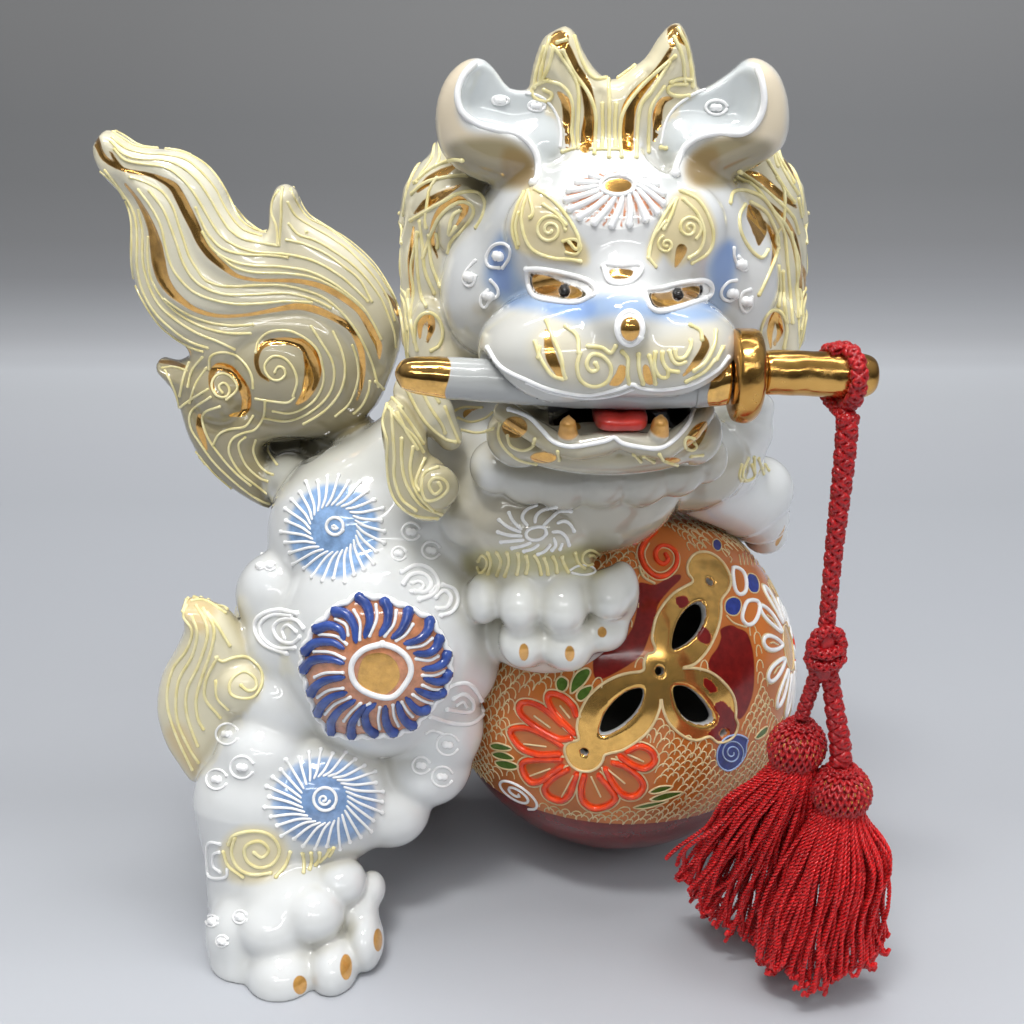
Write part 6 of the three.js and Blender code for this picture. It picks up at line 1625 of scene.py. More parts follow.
# paws on the ball
PW = ("foreleg_right",)
soft_px(jw([(330,580),(420,560),(620,560),(800,560),(820,600),(790,640),(640,640),(480,645),(350,640)]), ("foreleg_right", "torso"), (0.46, 0.42, 0.16), 0.7, 9)
for l in ([(478,561),(482,555),(487,560),(486,568),(480,574),(478,568)], [(488,553),(491,562),(488,574)], [(497,553),(501,562),(497,575)], [(507,553),(509,562),(505,576)], [(518,554),(519,563),(517,574)],
          [(526,556),(528,564),(526,573)], [(535,556),(539,564),(541,574)], [(544,558),(547,566),(548,574)], [(553,557),(556,564),(557,572)], [(562,557),(563,562),(568,572)], [(575,553),(578,563),(584,568)]):
    RAISED.line(l, E_YELLOW, "paw", 0.46)
RAISED.line([(569,571),(578,566),(590,566),(596,572),(584,575),(572,573)], E_WHITE, "paw", 0.32)
RAISED.line([(602,567),(600,556),(592,550),(584,553),(582,561),(588,566),(595,562),(594,556),(589,556)], E_YELLOW, "paw", 0.40)

for l in ([(536,505),(526,510),(522,518),(527,525)], [(556,507),(543,510),(536,516),(535,522)], [(571,511),(560,511),(551,518),(544,525)], [(574,531),(570,524),(564,521),(558,523)], [(569,545),(566,537),(560,532),(553,532)],
          [(509,513),(513,521),(521,529)], [(499,520),(508,527),(520,532)], [(498,532),(508,535),(521,536)], [(501,542),(512,541),(523,540)], [(512,548),(522,546),(530,543)], [(524,551),(532,549),(538,545)],
          [(538,554),(545,551),(550,545)], [(552,550),(556,545),(554,539)], [(560,549),(562,544)]):
    RAISED.line(l, E_WHITE, "paw", 0.44, blob=(1.25, 0.9))
RAISED.line([(546,533),(545,528),(537,527),(528,530),(526,536),(532,540),(541,539),(546,534)], E_WHITE, "paw", 0.42)
for x, y, rx, ry in ((537, 915, 17, 31), (697, 920, 17, 28), (810, 845, 16, 19)):
    fill_px("ochre", jw(swirl(x, y, 1, 1, 0, 0.95, rx, ry)), PW)
FP = ("foreleg_left", "torso")
for p in ([(1320,240),(1300,288),(1310,318),(1342,300),(1332,262)], [(1340,236),(1342,290)], [(1356,240),(1372,292)], [(1372,250),(1390,280)], [(1296,262),(1288,300),(1300,322)]):
    RAISED.line(jw(p), E_YELLOW, "paw_far", 0.44)
fill_px("ochre", jw([(1415,530),(1440,490),(1448,470),(1440,510),(1420,545)]), ("foreleg_left",))

# ------------------------------------------------------------------ the ball
BC = np.array([39.6, 419.0, 65.0]); BR = np.array([65.5, 65.5, 66.7]); WALL = 4.6

def on_ball(px, py):
    """where the sight line of a place in the frame meets the ball"""
    d = ray(px, py); o = (CAMP - BC) / BR; e = d / BR
    a = (e * e).sum(-1); b = (e * o).sum(-1); c = (o * o).sum() - 1
    t = (-b - np.sqrt(np.maximum(b * b - a * c, 0))) / a
    return CAMP + d * t[..., None]

OPEN = [cr([(888,572),(890,520),(908,455),(935,405),(975,362),(1010,343),(1034,345),(1048,380),(1046,430),(1015,490),(965,540),(915,568)]),
        cr([(530,992),(535,945),(560,885),(610,825),(665,785),(715,768),(742,772),(746,805),(730,855),(690,912),(630,962),(570,992)]),
        cr([(893,765),(898,820),(922,880),(965,925),(1020,946),(1068,940),(1088,915),(1070,868),(1020,805),(970,768),(925,756)])]
HOLES = [cr([(1068, 245)])[0] + (1.5,), cr([(823, 682)])[0] + (1.5,), cr([(455, 1078)])[0] + (1.4,), cr([(1135, 985)])[0] + (1.4,)]

def ball_grid(h):
    g = Grid((-29, 350, -2), (108, 488, 133.5), h)
    X, Y, Z = np.meshgrid(*[(g.lo[i] + g.h * np.arange(g.n[i])).astype(np.float32) for i in range(3)], indexing='ij', sparse=True)
    x, y, z = X - BC[0], Y - BC[1], Z - BC[2]
    rr = np.sqrt((x / BR[0]) ** 2 + (y / BR[1]) ** 2 + (z / BR[2]) ** 2)
    D = (rr - 1) * 66.0
    D = np.maximum(D, -(rr - 1 + WALL / 66.0) * 66.0)
    def carve(P3, sdf2, k):
        """cut along the ball's radius with an outline in the tangent plane"""
        c = P3.mean(0) - BC; n = c / np.linalg.norm(c)
        u = np.cross([0, 0, 1.0], n); u /= np.linalg.norm(u); v = np.cross(n, u)
        lo = np.floor((P3.min(0) - 9 - g.lo) / g.h).astype(int); hi = np.ceil((P3.max(0) + 9 - g.lo) / g.h).astype(int)
        lo = np.maximum(lo, 0)
        sl = tuple(slice(a, b) for a, b in zip(lo, hi))
        xs = (x + 0 * y + 0 * z)[sl]; ys = (y + 0 * x + 0 * z)[sl]; zs = (z + 0 * x + 0 * y)[sl]
        s = 65.8 / np.sqrt(xs * xs + ys * ys + zs * zs)
        a = (xs * u[0] + ys * u[1] + zs * u[2]) * s; b = (xs * v[0] + ys * v[1] + zs * v[2]) * s
        Q = np.stack([(P3 - BC) @ u, (P3 - BC) @ v], 1)
        d = -sdf2(Q, a, b)
        front = (xs * n[0] + ys * n[1] + zs * n[2]) > 0
        d = np.where(front, d, -50)
        E = D[sl]
        hh = np.maximum(k - np.abs(E - d), 0) / k
        D[sl] = np.maximum(E, d) + hh ** 3 * k / 6
    for P in OPEN:
        P = smooth_poly(np.array(P, float), 3)
        carve(on_ball(P[:, 0], P[:, 1]), poly_sdf, 2.2)
    for px, py, r in HOLES:
        c = on_ball(np.array([px]), np.array([py]))
        carve(c, lambda Q, a, b, r=r: np.hypot(a - Q[0, 0], b - Q[0, 1]) - r, 1.2)
    D = np.maximum(D, -(Z + 0 * X + 0 * Y))
    g.D = D.astype(np.float32)
    return g

GB = ball_grid(0.85)
BV, BN, BQ, _ = surface(GB)
b_r = np.sqrt((((BV - BC) / BR) ** 2).sum(1))
b_out = b_r > 1 - 0.9 / 66
BLAY = {k: np.zeros(len(BV)) for k, *_ in LAYERS}

class View:
    """the ball as the camera sees it, turned about its upright axis by some degrees"""
    def __init__(s, turn):
        a = math.radians(turn); c, q = math.cos(a), math.sin(a)
        s.R = np.array([[c, -q, 0], [q, c, 0], [0, 0, 1]])
        s.turn = turn
        P = (BV - BC) @ s.R.T + BC; n = BN @ s.R.T
        s.x, s.y, t = proj(P)
        v = CAMP - P; v /= np.linalg.norm(v, axis=1, keepdims=True)
        s.m = ((n * v).sum(1) > 0.03) & b_out if turn == 0 else (((P - BC) * (CAMP - BC)).sum(1) > 66 * 18) & b_out
        s.k = F / t
    def fill(s, lay, pts, grow=0.0, smooth=4):
        P = smooth_poly(np.array(pts, float), smooth) if smooth else np.array(pts, float)
        lo, hi = P.min(0) - 6, P.max(0) + 6
        m = s.m & (s.x > lo[0]) & (s.x < hi[0]) & (s.y > lo[1]) & (s.y < hi[1])
        if m.any():
            BLAY[lay][m] = np.maximum(BLAY[lay][m], enc(poly_sdf(P, s.x[m], s.y[m]) / s.k[m] - grow))
    def clear(s, pts, names, grow=0.0):
        P = smooth_poly(np.array(pts, float), 4)
        m = s.m & (poly_sdf(P, s.x, s.y) / s.k < grow)
        for n in names:
            BLAY[n][m] = 0
    def band(s, lay, pts, w, n=5):
        P = curve_through(pts, n)
        w = np.interp(np.linspace(0, 1, len(P)), np.linspace(0, 1, len(np.atleast_1d(w))), np.atleast_1d(w))
        lo, hi = P.min(0) - 10, P.max(0) + 10
        m = s.m & (s.x > lo[0]) & (s.x < hi[0]) & (s.y > lo[1]) & (s.y < hi[1])
        if m.any():
            BLAY[lay][m] = np.maximum(BLAY[lay][m], enc(near_line(P, w, s.x[m], s.y[m]) / s.k[m]))

BLINES = []          # (points on the ball, material, radius)
def ball_line(pts, mat, r=0.36, turns=(0,), n=5, raw=False):
    P = np.array(pts, float) if raw else curve_through(pts, n)
    P = resample(P, n=max(3, int(np.linalg.norm(np.diff(P, axis=0), axis=1).sum() / 2.0) + 2))
    Q = on_ball(P[:, 0], P[:, 1])
    for t in turns:
        a = -math.radians(t); c, q = math.cos(a), math.sin(a)
        R = np.array([[c, -q, 0], [q, c, 0], [0, 0, 1]])
        BLINES.append(((Q - BC) @ R.T + BC, mat, r))

ROSE = cr([(745,640),(762,602),(790,595),(800,572),(785,530),(790,480),(805,420),(840,360),(890,305),(950,270),(982,248),(958,210),(955,170),(975,130),(1010,108),(1060,110),(1110,140),(1145,185),(1165,240),(1155,290),(1120,340),(1118,400),(1105,470),(1075,545),(1040,600),(990,650),(930,668),(985,668),(1045,680),(1100,710),(1150,760),(1180,810),(1190,870),(1188,910),(1200,940),(1185,990),(1150,1020),(1100,1028),(1062,1000),(1000,1018),(940,1000),(890,960),(858,920),(835,860),(828,815),(822,860),(800,920),(760,980),(700,1030),(640,1065),(560,1085),(548,1110),(530,1140),(490,1165),(440,1165),(395,1140),(368,1095),(362,1050),(385,1025),(430,1012),(420,965),(430,900),(455,840),(490,790),(550,740),(620,705),(680,690),(740,680)])
PATCH = [cr([(720,255),(800,265),(870,225),(920,215),(920,240),(870,290),(815,360),(800,430),(775,500),(740,590),(690,640),(610,690),(540,722),(505,710),(498,640),(510,590),(560,565),(630,545),(680,490),(705,420),(715,330)]),
         cr([(1115,480),(1165,460),(1200,475),(1235,490),(1255,520),(1275,600),(1280,700),(1270,800),(1235,890),(1200,915),(1195,850),(1170,780),(1120,720),(1060,670),(1065,620),(1100,570),(1118,520)])]
PETALS = [([(405,985),(350,930),(300,870),(278,815),(300,790),(355,808),(400,850),(418,895)], [(340,852),(385,908)]),
          ([(392,1008),(330,1012),(240,965),(160,905),(140,860),(165,832),(225,842),(290,885),(350,940)], [(215,900),(290,955)]),
          ([(335,1085),(240,1088),(160,1062),(112,1010),(100,972),(130,955),(200,962),(290,1005),(345,1040)], [(165,1035),(270,1048)]),
          ([(340,1108),(210,1110),(158,1128),(165,1180),(205,1222),(255,1212),(300,1180),(345,1145)], [(195,1190),(290,1155)]),
          ([(372,1160),(310,1195),(265,1245),(290,1292),(350,1308),(388,1275),(405,1225),(420,1185)], [(348,1290),(402,1190)]),
          ([(455,1190),(442,1250),(450,1310),(500,1345),(565,1335),(608,1295),(575,1240),(530,1190)], [(490,1195),(535,1290)]),
          ([(560,1160),(590,1220),(640,1278),(700,1288),(742,1245),(722,1195),(660,1145),(600,1125)], [(570,1158),(652,1225)]),
          ([(632,1098),(690,1138),(750,1155),(797,1118),(778,1068),(722,1045),(665,1070)], [(668,1085),(742,1120)])]
LEAVES = [cr([(390,790),(395,730),(425,685),(470,668),(488,690),(460,740),(420,775)]), cr([(320,730),(345,708),(378,730),(372,768),(345,785),(322,765)]),
          cr([(418,800),(440,768),(492,752),(490,785),(455,822),(428,825)]), cr([(0,1040),(40,1030),(105,1055),(80,1068),(20,1062)]), cr([(10,1080),(60,1072),(118,1105),(85,1115),(30,1102)]),
          cr([(25,1120),(80,1115),(140,1142),(110,1160),(50,1150)]), cr([(770,1268),(820,1240),(885,1240),(850,1262),(800,1275)]), cr([(775,1303),(850,1270),(935,1268),(880,1295),(820,1312)]),
          cr([(695,1342),(760,1322),(865,1308),(810,1332),(740,1348)]), cr([(1282,1005),(1310,968),(1342,950),(1335,985),(1300,1010)]), cr([(1342,178),(1358,130),(1378,150),(1390,205),(1365,205)])]
BLUES = [[(713,541),(717,539),(721,543),(721,549),(717,551),(713,547)], [(748,574),(755,575),(759,583),(758,592),(751,592),(747,584)], [(733,597),(740,600),(741,608),(737,615),(730,615),(725,610),(726,601)], [(764,563),(767,561),(769,566),(767,571),(764,570)]]
WHITES = [[(733,568),(742,571),(746,581),(745,592),(738,594),(734,586)], [(748,601),(757,601),(759,610),(755,621),(748,625),(742,619),(744,608)]]
WPET = [([(786,621),(780,614),(775,603),(773,590),(775,580),(780,582),(784,592),(788,608)], [(779,590),(784,610)]),
        ([(784,626),(777,626),(769,620),(765,609),(766,600),(772,598),(778,607),(783,617)], [(771,607),(779,619)]),
        ([(782,637),(775,634),(766,636),(762,645),(765,655),(772,658),(779,655),(782,649)], [(770,641),(781,642)]),
        ([(782,661),(774,664),(765,673),(760,684),(762,692),(768,689),(776,679),(782,668)], [(767,683),(774,674)]),
        ([(784,676),(777,684),(769,698),(765,712),(767,722),(773,718),(779,703),(784,689)], [(770,712),(777,694)])]
WCEN = [(784,631),(789,636),(790,655),(788,673),(784,678),(782,660),(782,645)]
SWIRL = cr([(800,5),(755,50),(728,110),(748,175),(800,222),(855,218),(898,175),(903,120),(872,85),(830,78),(802,105),(808,145),(838,165),(862,145),(850,118)])
BSPI = cr([(1245,1010),(1195,990),(1135,1010),(1100,1070),(1105,1135),(1150,1165),(1200,1140),(1235,1090),(1240,1040)])
WSPI = cr([(1100,1,)]) if False else None

# ground: gold-brown terracotta; dark red round the foot; dark red patches
BT = np.tile(np.array([0.56, 0.165, 0.034]), (len(BV), 1))
nz = np.array([math.sin(0.21 * x + 1.3 * math.sin(0.13 * y)) * math.sin(0.17 * z + 0.7) for x, y, z in BV[::1]]) if False else np.sin(0.21 * BV[:, 0] + 1.3 * np.sin(0.13 * BV[:, 1])) * np.sin(0.17 * BV[:, 2] + 0.7)
BT *= (1 + 0.16 * nz)[:, None]
inside = ~b_out
BT[inside] = (0.55, 0.55, 0.53)
# painted shade: the inner face of the shell is darker than the grey rims of the openings
deep = b_r < 1 - (WALL - 0.8) / 66
BT[deep] = (0.30, 0.29, 0.27)
ZBAND = float(on_ball(np.array([593.0]), np.array([822.0]))[0, 2])
m = b_out
BLAY["dred"][m] = np.maximum(BLAY["dred"][m], enc((BV[m, 2] - ZBAND)))

v0 = View(0)
for turn, V_ in ((0, v0), (150, View(150)), (-120, View(-120))):
    for P in PATCH:
        V_.fill("dred", P)
    for loop, mid in PETALS:
        L = cr(loop)
        V_.band("orange", L, 8.2)
    for P in LEAVES:
        V_.fill("green", P)
    for P in BLUES:
        V_.fill("cobalt", P)
    V_.band("orange", SWIRL, [6.0, 6.4, 5.6, 4.0])
    V_.fill("cobalt", BSPI)
    if turn:
        # no opening here: a painted blossom fills the space of the rosette
        for k in range(12):
            a = k * math.pi / 6
            c = np.array([660, 672])
            V_.band("white", [c + 14 * np.array([math.cos(a - .1), math.sin(a - .1)]), c + 42 * np.array([math.cos(a - .16), math.sin(a - .16)]), c + 50 * np.array([math.cos(a), math.sin(a)]), c + 42 * np.array([math.cos(a + .16), math.sin(a + .16)]), c + 14 * np.array([math.cos(a + .1), math.sin(a + .1)])], 2.6)
        V_.fill("gold", [(660 + 10 * math.cos(t), 672 + 10 * math.sin(t)) for t in np.linspace(0, 6.0, 12)])
# the white blossom at the ball's side: a whole one, half of it turned away
DA = on_ball(np.array([789.8]), np.array([648.0]))[0] - BC
DA = DA / np.linalg.norm(DA)
DU = np.array([0, 0, 1.0]) - DA * DA[2]
DU = DU / np.linalg.norm(DU)
DV = np.cross(DA, DU)
def about(t):
    a = -math.radians(t); c, q = math.cos(a), math.sin(a)
    return np.array([[c, -q, 0], [q, c, 0], [0, 0, 1]])
def from_axis(P, t):
    u = (P - BC) / np.linalg.norm(P - BC, axis=1, keepdims=True)
    return np.arccos(np.clip(u @ (about(t) @ DA), -1, 1)) * 66, u @ (about(t) @ DV)
for t in (0, 150, -120):
    ang, _ = from_axis(BV, t)
    mm = b_out & (ang < 14)
    BLAY["ochre"][mm] = np.maximum(BLAY["ochre"][mm], enc(ang[mm] - 8.2))
v0.clear(ROSE, ["dred", "orange", "green"], 0.2)
v0.fill("gold", ROSE)
# painted reflection: dark red patches in the gold beside the openings stand in for red reflected in the gold
for P in ([(1030,470),(1062,500),(1060,545),(1020,540),(1005,500)], [(1085,860),(1120,830),(1185,900),(1190,980),(1150,1015),(1085,1010),(1060,985),(1105,940),(1110,890)], [(905,330),(945,325),(960,350),(930,375),(905,355)], [(1040,720),(1075,740),(1095,775),(1070,785),(1040,750)]):
    P = cr(P)
    m = v0.m & (poly_sdf(smooth_poly(np.array(P), 3), v0.x, v0.y) < 1.0)
    BLAY["gold"][m] *= 0.0
    v0.fill("dred", P, 0.3)
for px, py, r in HOLES:
    m = v0.m & (np.hypot(v0.x - px, v0.y - py) < r * 3.1 + 1)
    BLAY["dred"][m] = 0

T3 = (0, 150, -120)
RR = smooth_poly(np.array(ROSE), 3)
ball_line(np.vstack([RR, RR[:1]]), E_CREAM, 0.52, raw=True)
for loop, mid in PETALS:
    L = np.array(cr(loop)); c = L.mean(0)
    ball_line(L, E_ORANGE, 1.0, T3)
    out = c + (L - c) * (1 + 4.4 / np.linalg.norm(L - c, axis=1))[:, None]
    ball_line(out, E_CREAM, 0.34, T3)
    ball_line(cr(mid), E_CREAM, 0.34, T3)
for P in LEAVES:
    Q = smooth_poly(np.array(P), 3); ball_line(np.vstack([Q, Q[:1]]), E_CREAM, 0.34, T3, raw=True)
for P in BLUES:
    Q = smooth_poly(np.array(P), 3); ball_line(np.vstack([Q, Q[:1]]), E_CREAM, 0.26, T3, raw=True)
for P in WHITES:
    Q = smooth_poly(np.array(P), 3); ball_line(np.vstack([Q, Q[:1]]), E_WHITE, 0.78, T3, raw=True)
for t in T3:
    R_ = about(t)
    def side_pt(r, s, ph):
        w = (DU * math.cos(ph) + DV * math.sin(ph)) * r + (DV * math.cos(ph) - DU * math.sin(ph)) * s
        rho = np.linalg.norm(w)
        return BC + R_ @ ((DA * math.cos(rho / 66) + w / rho * math.sin(rho / 66)) * BR)
    for k in range(12):
        ph = k * math.pi / 6
        far = math.sin(ph) < -0.1
        tip, wide = (18.0, 2.7) if far else (24.6 + 0.6 * math.sin(k * 2.3), 3.2)
        for e, mat, rad in ((0.0, E_WHITE, 0.78), (1.05, E_CREAM, 0.30)):
            BLINES.append((np.array([side_pt((9.8 - 0.6 * e) + (tip + e - 9.8 + 0.6 * e) * (0.5 - 0.5 * math.cos(a)), (wide + e) * math.sin(a) * (0.42 + 0.58 * (0.5 - 0.5 * math.cos(a))), ph) for a in np.linspace(0, 2 * math.pi, 27)]), mat, rad))
        BLINES.append((np.array([side_pt(r, 0.3 * math.sin(r), ph) for r in np.linspace(13.5, tip - 4.5, 6)]), E_CREAM, 0.34))
    BLINES.append((np.array([side_pt(8.2, 0, a) for a in np.linspace(0, 2 * math.pi, 30)]), E_CREAM, 0.34))
S_ = np.array(SWIRL); cS = np.array(cr([(832, 125)])[0])
ball_line(S_, E_ORANGE, 0.85, T3)
ball_line(cS + (S_[1:] - cS) * 0.80, E_CREAM, 0.28, T3)
ball_line(cS + (S_[:9] - cS) * 1.17, E_CREAM, 0.28, T3)
Q = smooth_poly(np.array(BSPI), 3); ball_line(Q, E_LBLUE, 0.34, T3, raw=True)
cB = np.array(cr([(1170, 1078)])[0])
ball_line([cB + r * np.array([math.cos(a), 1.1 * math.sin(a)]) for r, a in zip(np.linspace(2, 12, 26), np.linspace(0, 4.2 * math.pi, 26))], E_LBLUE, 0.30, T3)
cW = np.array(cr([(128, 1275)])[0])
ball_line([cW + np.array([r * math.cos(a) * 1.25 + 0.35 * r * math.sin(a), r * math.sin(a) * 0.8 + 0.5 * r * math.cos(a)]) for r, a in zip(np.linspace(2, 17, 30), np.linspace(0, 4.4 * math.pi, 30))], E_WHITE, 0.55, T3)
ball_line(cr([(1145,415),(1180,450),(1240,470)]), E_CREAM, 0.34, T3)
ball_line(cr([(722,178),(740,225),(795,258)]), E_CREAM, 0.5, T3)
for x in range(1205, 1315, 17):
    ball_line(cr([(x, 112 + (x % 3) * 4), (x + 4, 140), (x + 8, 168)]), E_CREAM, 0.26, T3)
for x, y in ((1020, 60), (1150, 95), (1160, 130)):
    ball_line(cr([(x, y), (x + 10, y + 12), (x + 4, y + 28)]), E_CREAM, 0.26, T3)

# scale pattern over the ground that is left
keep = [smooth_poly(np.array(P, float), 3) for P in [ROSE] + PATCH + LEAVES + BLUES + WHITES + [cr(l) for l, _ in PETALS] + [BSPI]]
FLOWER = np.array(cr([(400,1180),(150,850),(290,770),(420,870),(560,1000),(800,1040),(800,1140),(740,1290),(600,1350),(480,1365),(290,1310),(140,1230),(90,1060),(90,950)]))
keep.append(np.array(cr([(275,780),(430,850),(560,1090),(800,1040),(815,1130),(750,1290),(610,1350),(470,1360),(280,1320),(150,1230),(85,960),(130,820)])))
keep.append(np.array([cS + 26 * np.array([math.cos(a), math.sin(a)]) for a in np.linspace(0, 6.28, 20)]))
keep.append(np.array([cW + np.array([24 * math.cos(a), 15 * math.sin(a) + 8 * math.cos(a)]) for a in np.linspace(0, 6.28, 20)]))
keep.append(np.array(cr([(1190,105),(1330,110),(1345,470),(1140,470),(1140,160)])))
def free(P3, margin):
    ok = np.ones(len(P3), bool)
    for t in T3:
        a = math.radians(t); c, q = math.cos(a), math.sin(a)
        R = np.array([[c, -q, 0], [q, c, 0], [0, 0, 1]])
        P = (P3 - BC) @ R.T + BC
        see = ((P - BC) * (CAMP - BC)).sum(1) > 66 * 12
        x, y, _ = proj(P)
        for K in keep:
            ok &= ~(see & (poly_sdf(K, x, y) < margin))
    return ok
cells = []
row = 0
lat = math.asin((ZBAND + 1.6 - BC[2]) / 66.0)
while lat < 1.35:
    m_ = max(6, int(round(2 * math.pi * 66 * math.cos(lat) / 4.0)))
    for j in range(m_):
        cells.append((lat, 2 * math.pi * (j + 0.5 * (row % 2)) / m_, m_))
    lat += 2.25 / 66; row += 1
cells = np.array(cells)
la, lo_ = cells[:, 0], cells[:, 1]
P3 = BC + np.stack([np.cos(la) * np.sin(lo_), -np.cos(la) * np.cos(lo_), np.sin(la)], 1) * BR
ok = free(P3, 3.4) & (BV[:, 2].max() > 0)
for t in T3:
    ang, sd = from_axis(P3, t)
    ok &= ang > np.where(sd > 0, 27.4, 20.5)
rb = np.random.default_rng(5)
for la_, lo__, _m in cells[ok]:
    w = 1.85 / (66 * math.cos(la_)); hgt = 2.7 / 66
    jit = rb.normal(0, 0.16, 2)
    q = []
    for a in np.linspace(-0.15, math.pi + 0.15, 8):
        A = la_ + hgt * (math.sin(a) - 0.25) + jit[0] * 2.2 / 66
        B = lo__ + w * math.cos(a) * (1 + jit[1]) + 0.30 * w * math.sin(a)
        q.append(BC + np.array([math.cos(A) * math.sin(B), -math.cos(A) * math.cos(B), math.sin(A)]) * BR)
    BLINES.append((np.array(q), E_CREAM, 0.26))

def ball_lines():
    bags = {}
    for P, mat, r in BLINES:
        d = (P - BC) / BR
        d /= np.linalg.norm(d, axis=1, keepdims=True)
        s = GB.sample(P)
        good = s < 0.9
        idx = np.split(np.arange(len(P)), np.where(~good)[0])
        for seg in idx:
            seg = seg[good[seg]]
            if len(seg) < 3:
                continue
            n = d[seg] / BR; n /= np.linalg.norm(n, axis=1, keepdims=True)
            c = BC + d[seg] * BR + n * (r * 0.15)
            front = (((c - BC) * (CAMP - BC)).sum(1) > 0).mean() > 0.5
            key = (mat.name, "front" if front else "back")
            b = bags.setdefault(key, (Bag(), mat))[0]
            b.tube(c, np.full(len(c), r), 6 if r > 0.3 else 5)
    for (mn, side), (b, mat) in sorted(bags.items()):
        o = b.mesh("enamel_ball_%s_%s" % (mn.replace("raised_", ""), side), [mat])
        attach(o, "lion")

ball_lines()
at = {"tint": BT}
at.update({k: v for k, v in BLAY.items() if v.max() > 0.01})
ballo = make_mesh("ball", BV, [BQ], [M_BALL], BN, at)
stand_for(ballo, "ball", "lion")
print("ball", len(BV), "lines", len(BLINES), round(time.time() - T0, 1))

# painted light and shade: the paper's colour along its depth
FLOOR_STOPS = [(0.0, (0.465, 0.4743, 0.4976)), (0.258, (0.428, 0.437, 0.460)), (0.283, (0.398, 0.407, 0.428)), (0.315, (0.364, 0.372, 0.392)), (0.356, (0.382, 0.391, 0.412)), (0.414, (0.386, 0.396, 0.419)), (0.497, (0.405, 0.416, 0.438)), (0.555, (0.4557, 0.465, 0.4883)), (0.63, (0.5347, 0.5468, 0.5673)), (0.686, (0.6138, 0.6278, 0.651)), (0.72, (0.5394, 0.5487, 0.5673)), (0.8, (0.1116, 0.1116, 0.1163)), (1.0, (0.093, 0.093, 0.093))]
FLOOR_STOPS = [(t, (c[0] * 0.985, c[1], c[2] * 1.015)) for t, c in FLOOR_STOPS]
WALL_STOPS = [(0.0, (0.0, 0.0, 0.0)), (0.02, (0.0285, 0.0285, 0.0304)), (0.0475, (0.076, 0.0789, 0.0836)), (0.0825, (0.114, 0.1178, 0.1245)), (0.125, (0.1568, 0.1615, 0.1691)), (0.215, (0.1187, 0.1216, 0.1245)), (0.37, (0.095, 0.0978, 0.0988)), (0.535, (0.095, 0.0978, 0.0988)), (0.71, (0.114, 0.1149, 0.1149)), (0.85, (0.1283, 0.1292, 0.1283)), (1.0, (0.133, 0.133, 0.133))]
SIDE_STOPS = [(0.0, (0.80, 0.80, 0.80)), (0.5, (1.0, 1.0, 1.0)), (1.0, (1.12, 1.12, 1.14))]
LIGHTS = [("key", (-0.25, -0.50, 1.45), (0, 0, 0.12), 0.34, 8.8, (1, 0.99, 0.975), 0.14, True),
          ("soft", (-0.10, -0.75, 1.35), (0, 0, 0.12), 0.9, 5.6, (1, 1, 1), 0.7, False),
          ("side", (1.15, -0.6, 0.8), (0, 0, 0.14), 0.6, 5.2, (0.96, 0.98, 1.0), 0.6, False),
          ("top", (0.0, 0.10, 1.5), (0, 0.0, 0.1), 0.9, 8.8, (1, 1, 1), 0.6, False),
          ("tube_front", (0.15, -0.30, 1.50), (0, 0, 0.12), 1.3, 4.0, (1, 1, 1), 0.05),
          ("tube_back", (0.0, 0.35, 1.5), (0, 0, 0.12), 1.3, 2.6, (1, 1, 1), 0.06),
          ("tube_low", (0.10, -1.55, 1.10), (0, 0, 0.12), 1.5, 3.0, (1, 1, 1), 0.04),
          ("tube_low_2", (-0.55, -1.45, 1.34), (0, 0, 0.12), 0.6, 1.1, (1, 1, 1), 0.035)]
WORLD_Z = [(0.0, (0.30, 0.30, 0.31)), (0.45, (0.36, 0.36, 0.37)), (0.53, (0.22, 0.215, 0.21)), (0.64, (0.50, 0.51, 0.52)), (0.80, (1.0, 1.0, 1.02)), (1.0, (1.05, 1.05, 1.08))]
WORLD_Y = [(0.0, (0.50, 0.49, 0.47)), (0.22, (0.68, 0.68, 0.67)), (0.42, (0.95, 0.96, 1.0)), (1.0, (1.0, 1.0, 1.0))]
WORLD = 0.36

# ------------------------------------------------------------------ shells
# painted shade: the colour is darker and warmer in the creases, where less light reaches
OCC = np.zeros(len(LV))
for d in (4.0, 9.0):
    OCC += 0.5 * np.clip(G.sample(LV + LN * d) / d, 0, 1)
OCC = blur(OCC, 2)
TINT *= 1 - 0.30 * ((1 - OCC) ** 1.2)[:, None] * np.array([0.80, 0.92, 1.22])
# painted light: the near paw, the far paw and the knee are made a little whiter than the rest
painted_light_lift = 0.17 * hasf("foreleg_right") * smoothstep(528, 545, PY) + 0.12 * hasf("foreleg_left") * smoothstep(690, 715, PX) + 0.09 * hasf("torso", "hind_leg_right") * smoothstep(395, 425, PX) * smoothstep(560, 600, PY)
TINT *= (1 + painted_light_lift)[:, None]
TINT[:] = np.clip(TINT, 0, 0.86)
# in the hair the gold lies in shallow furrows
gw = blur(smoothstep(0.5, 1.0, LAYER["gold"]) * has("tail", "crest", "mane_left", "mane_right", "mane_back"), 2)
LV = LV - LN * (gw * 0.82)[:, None]
fn_ = np.cross(LV[LQ[:, 2]] - LV[LQ[:, 0]], LV[LQ[:, 3]] - LV[LQ[:, 1]])
vn_ = np.stack([np.bincount(LQ.ravel(), np.repeat(fn_[:, c], 4), len(LV)) for c in range(3)], 1)
vn_ /= np.linalg.norm(vn_, axis=1, keepdims=True) + 1e-12
if (vn_ * LN).sum() < 0:
    vn_ = -vn_
t_ = np.clip(gw * 8, 0, 1)[:, None]
LN = vn_ * t_ + LN * (1 - t_)
LN /= np.linalg.norm(LN, axis=1, keepdims=True)
ATTR = {"tint": TINT}
ATTR.update({k: v for k, v in LAYER.items() if v.max() > 0.01})
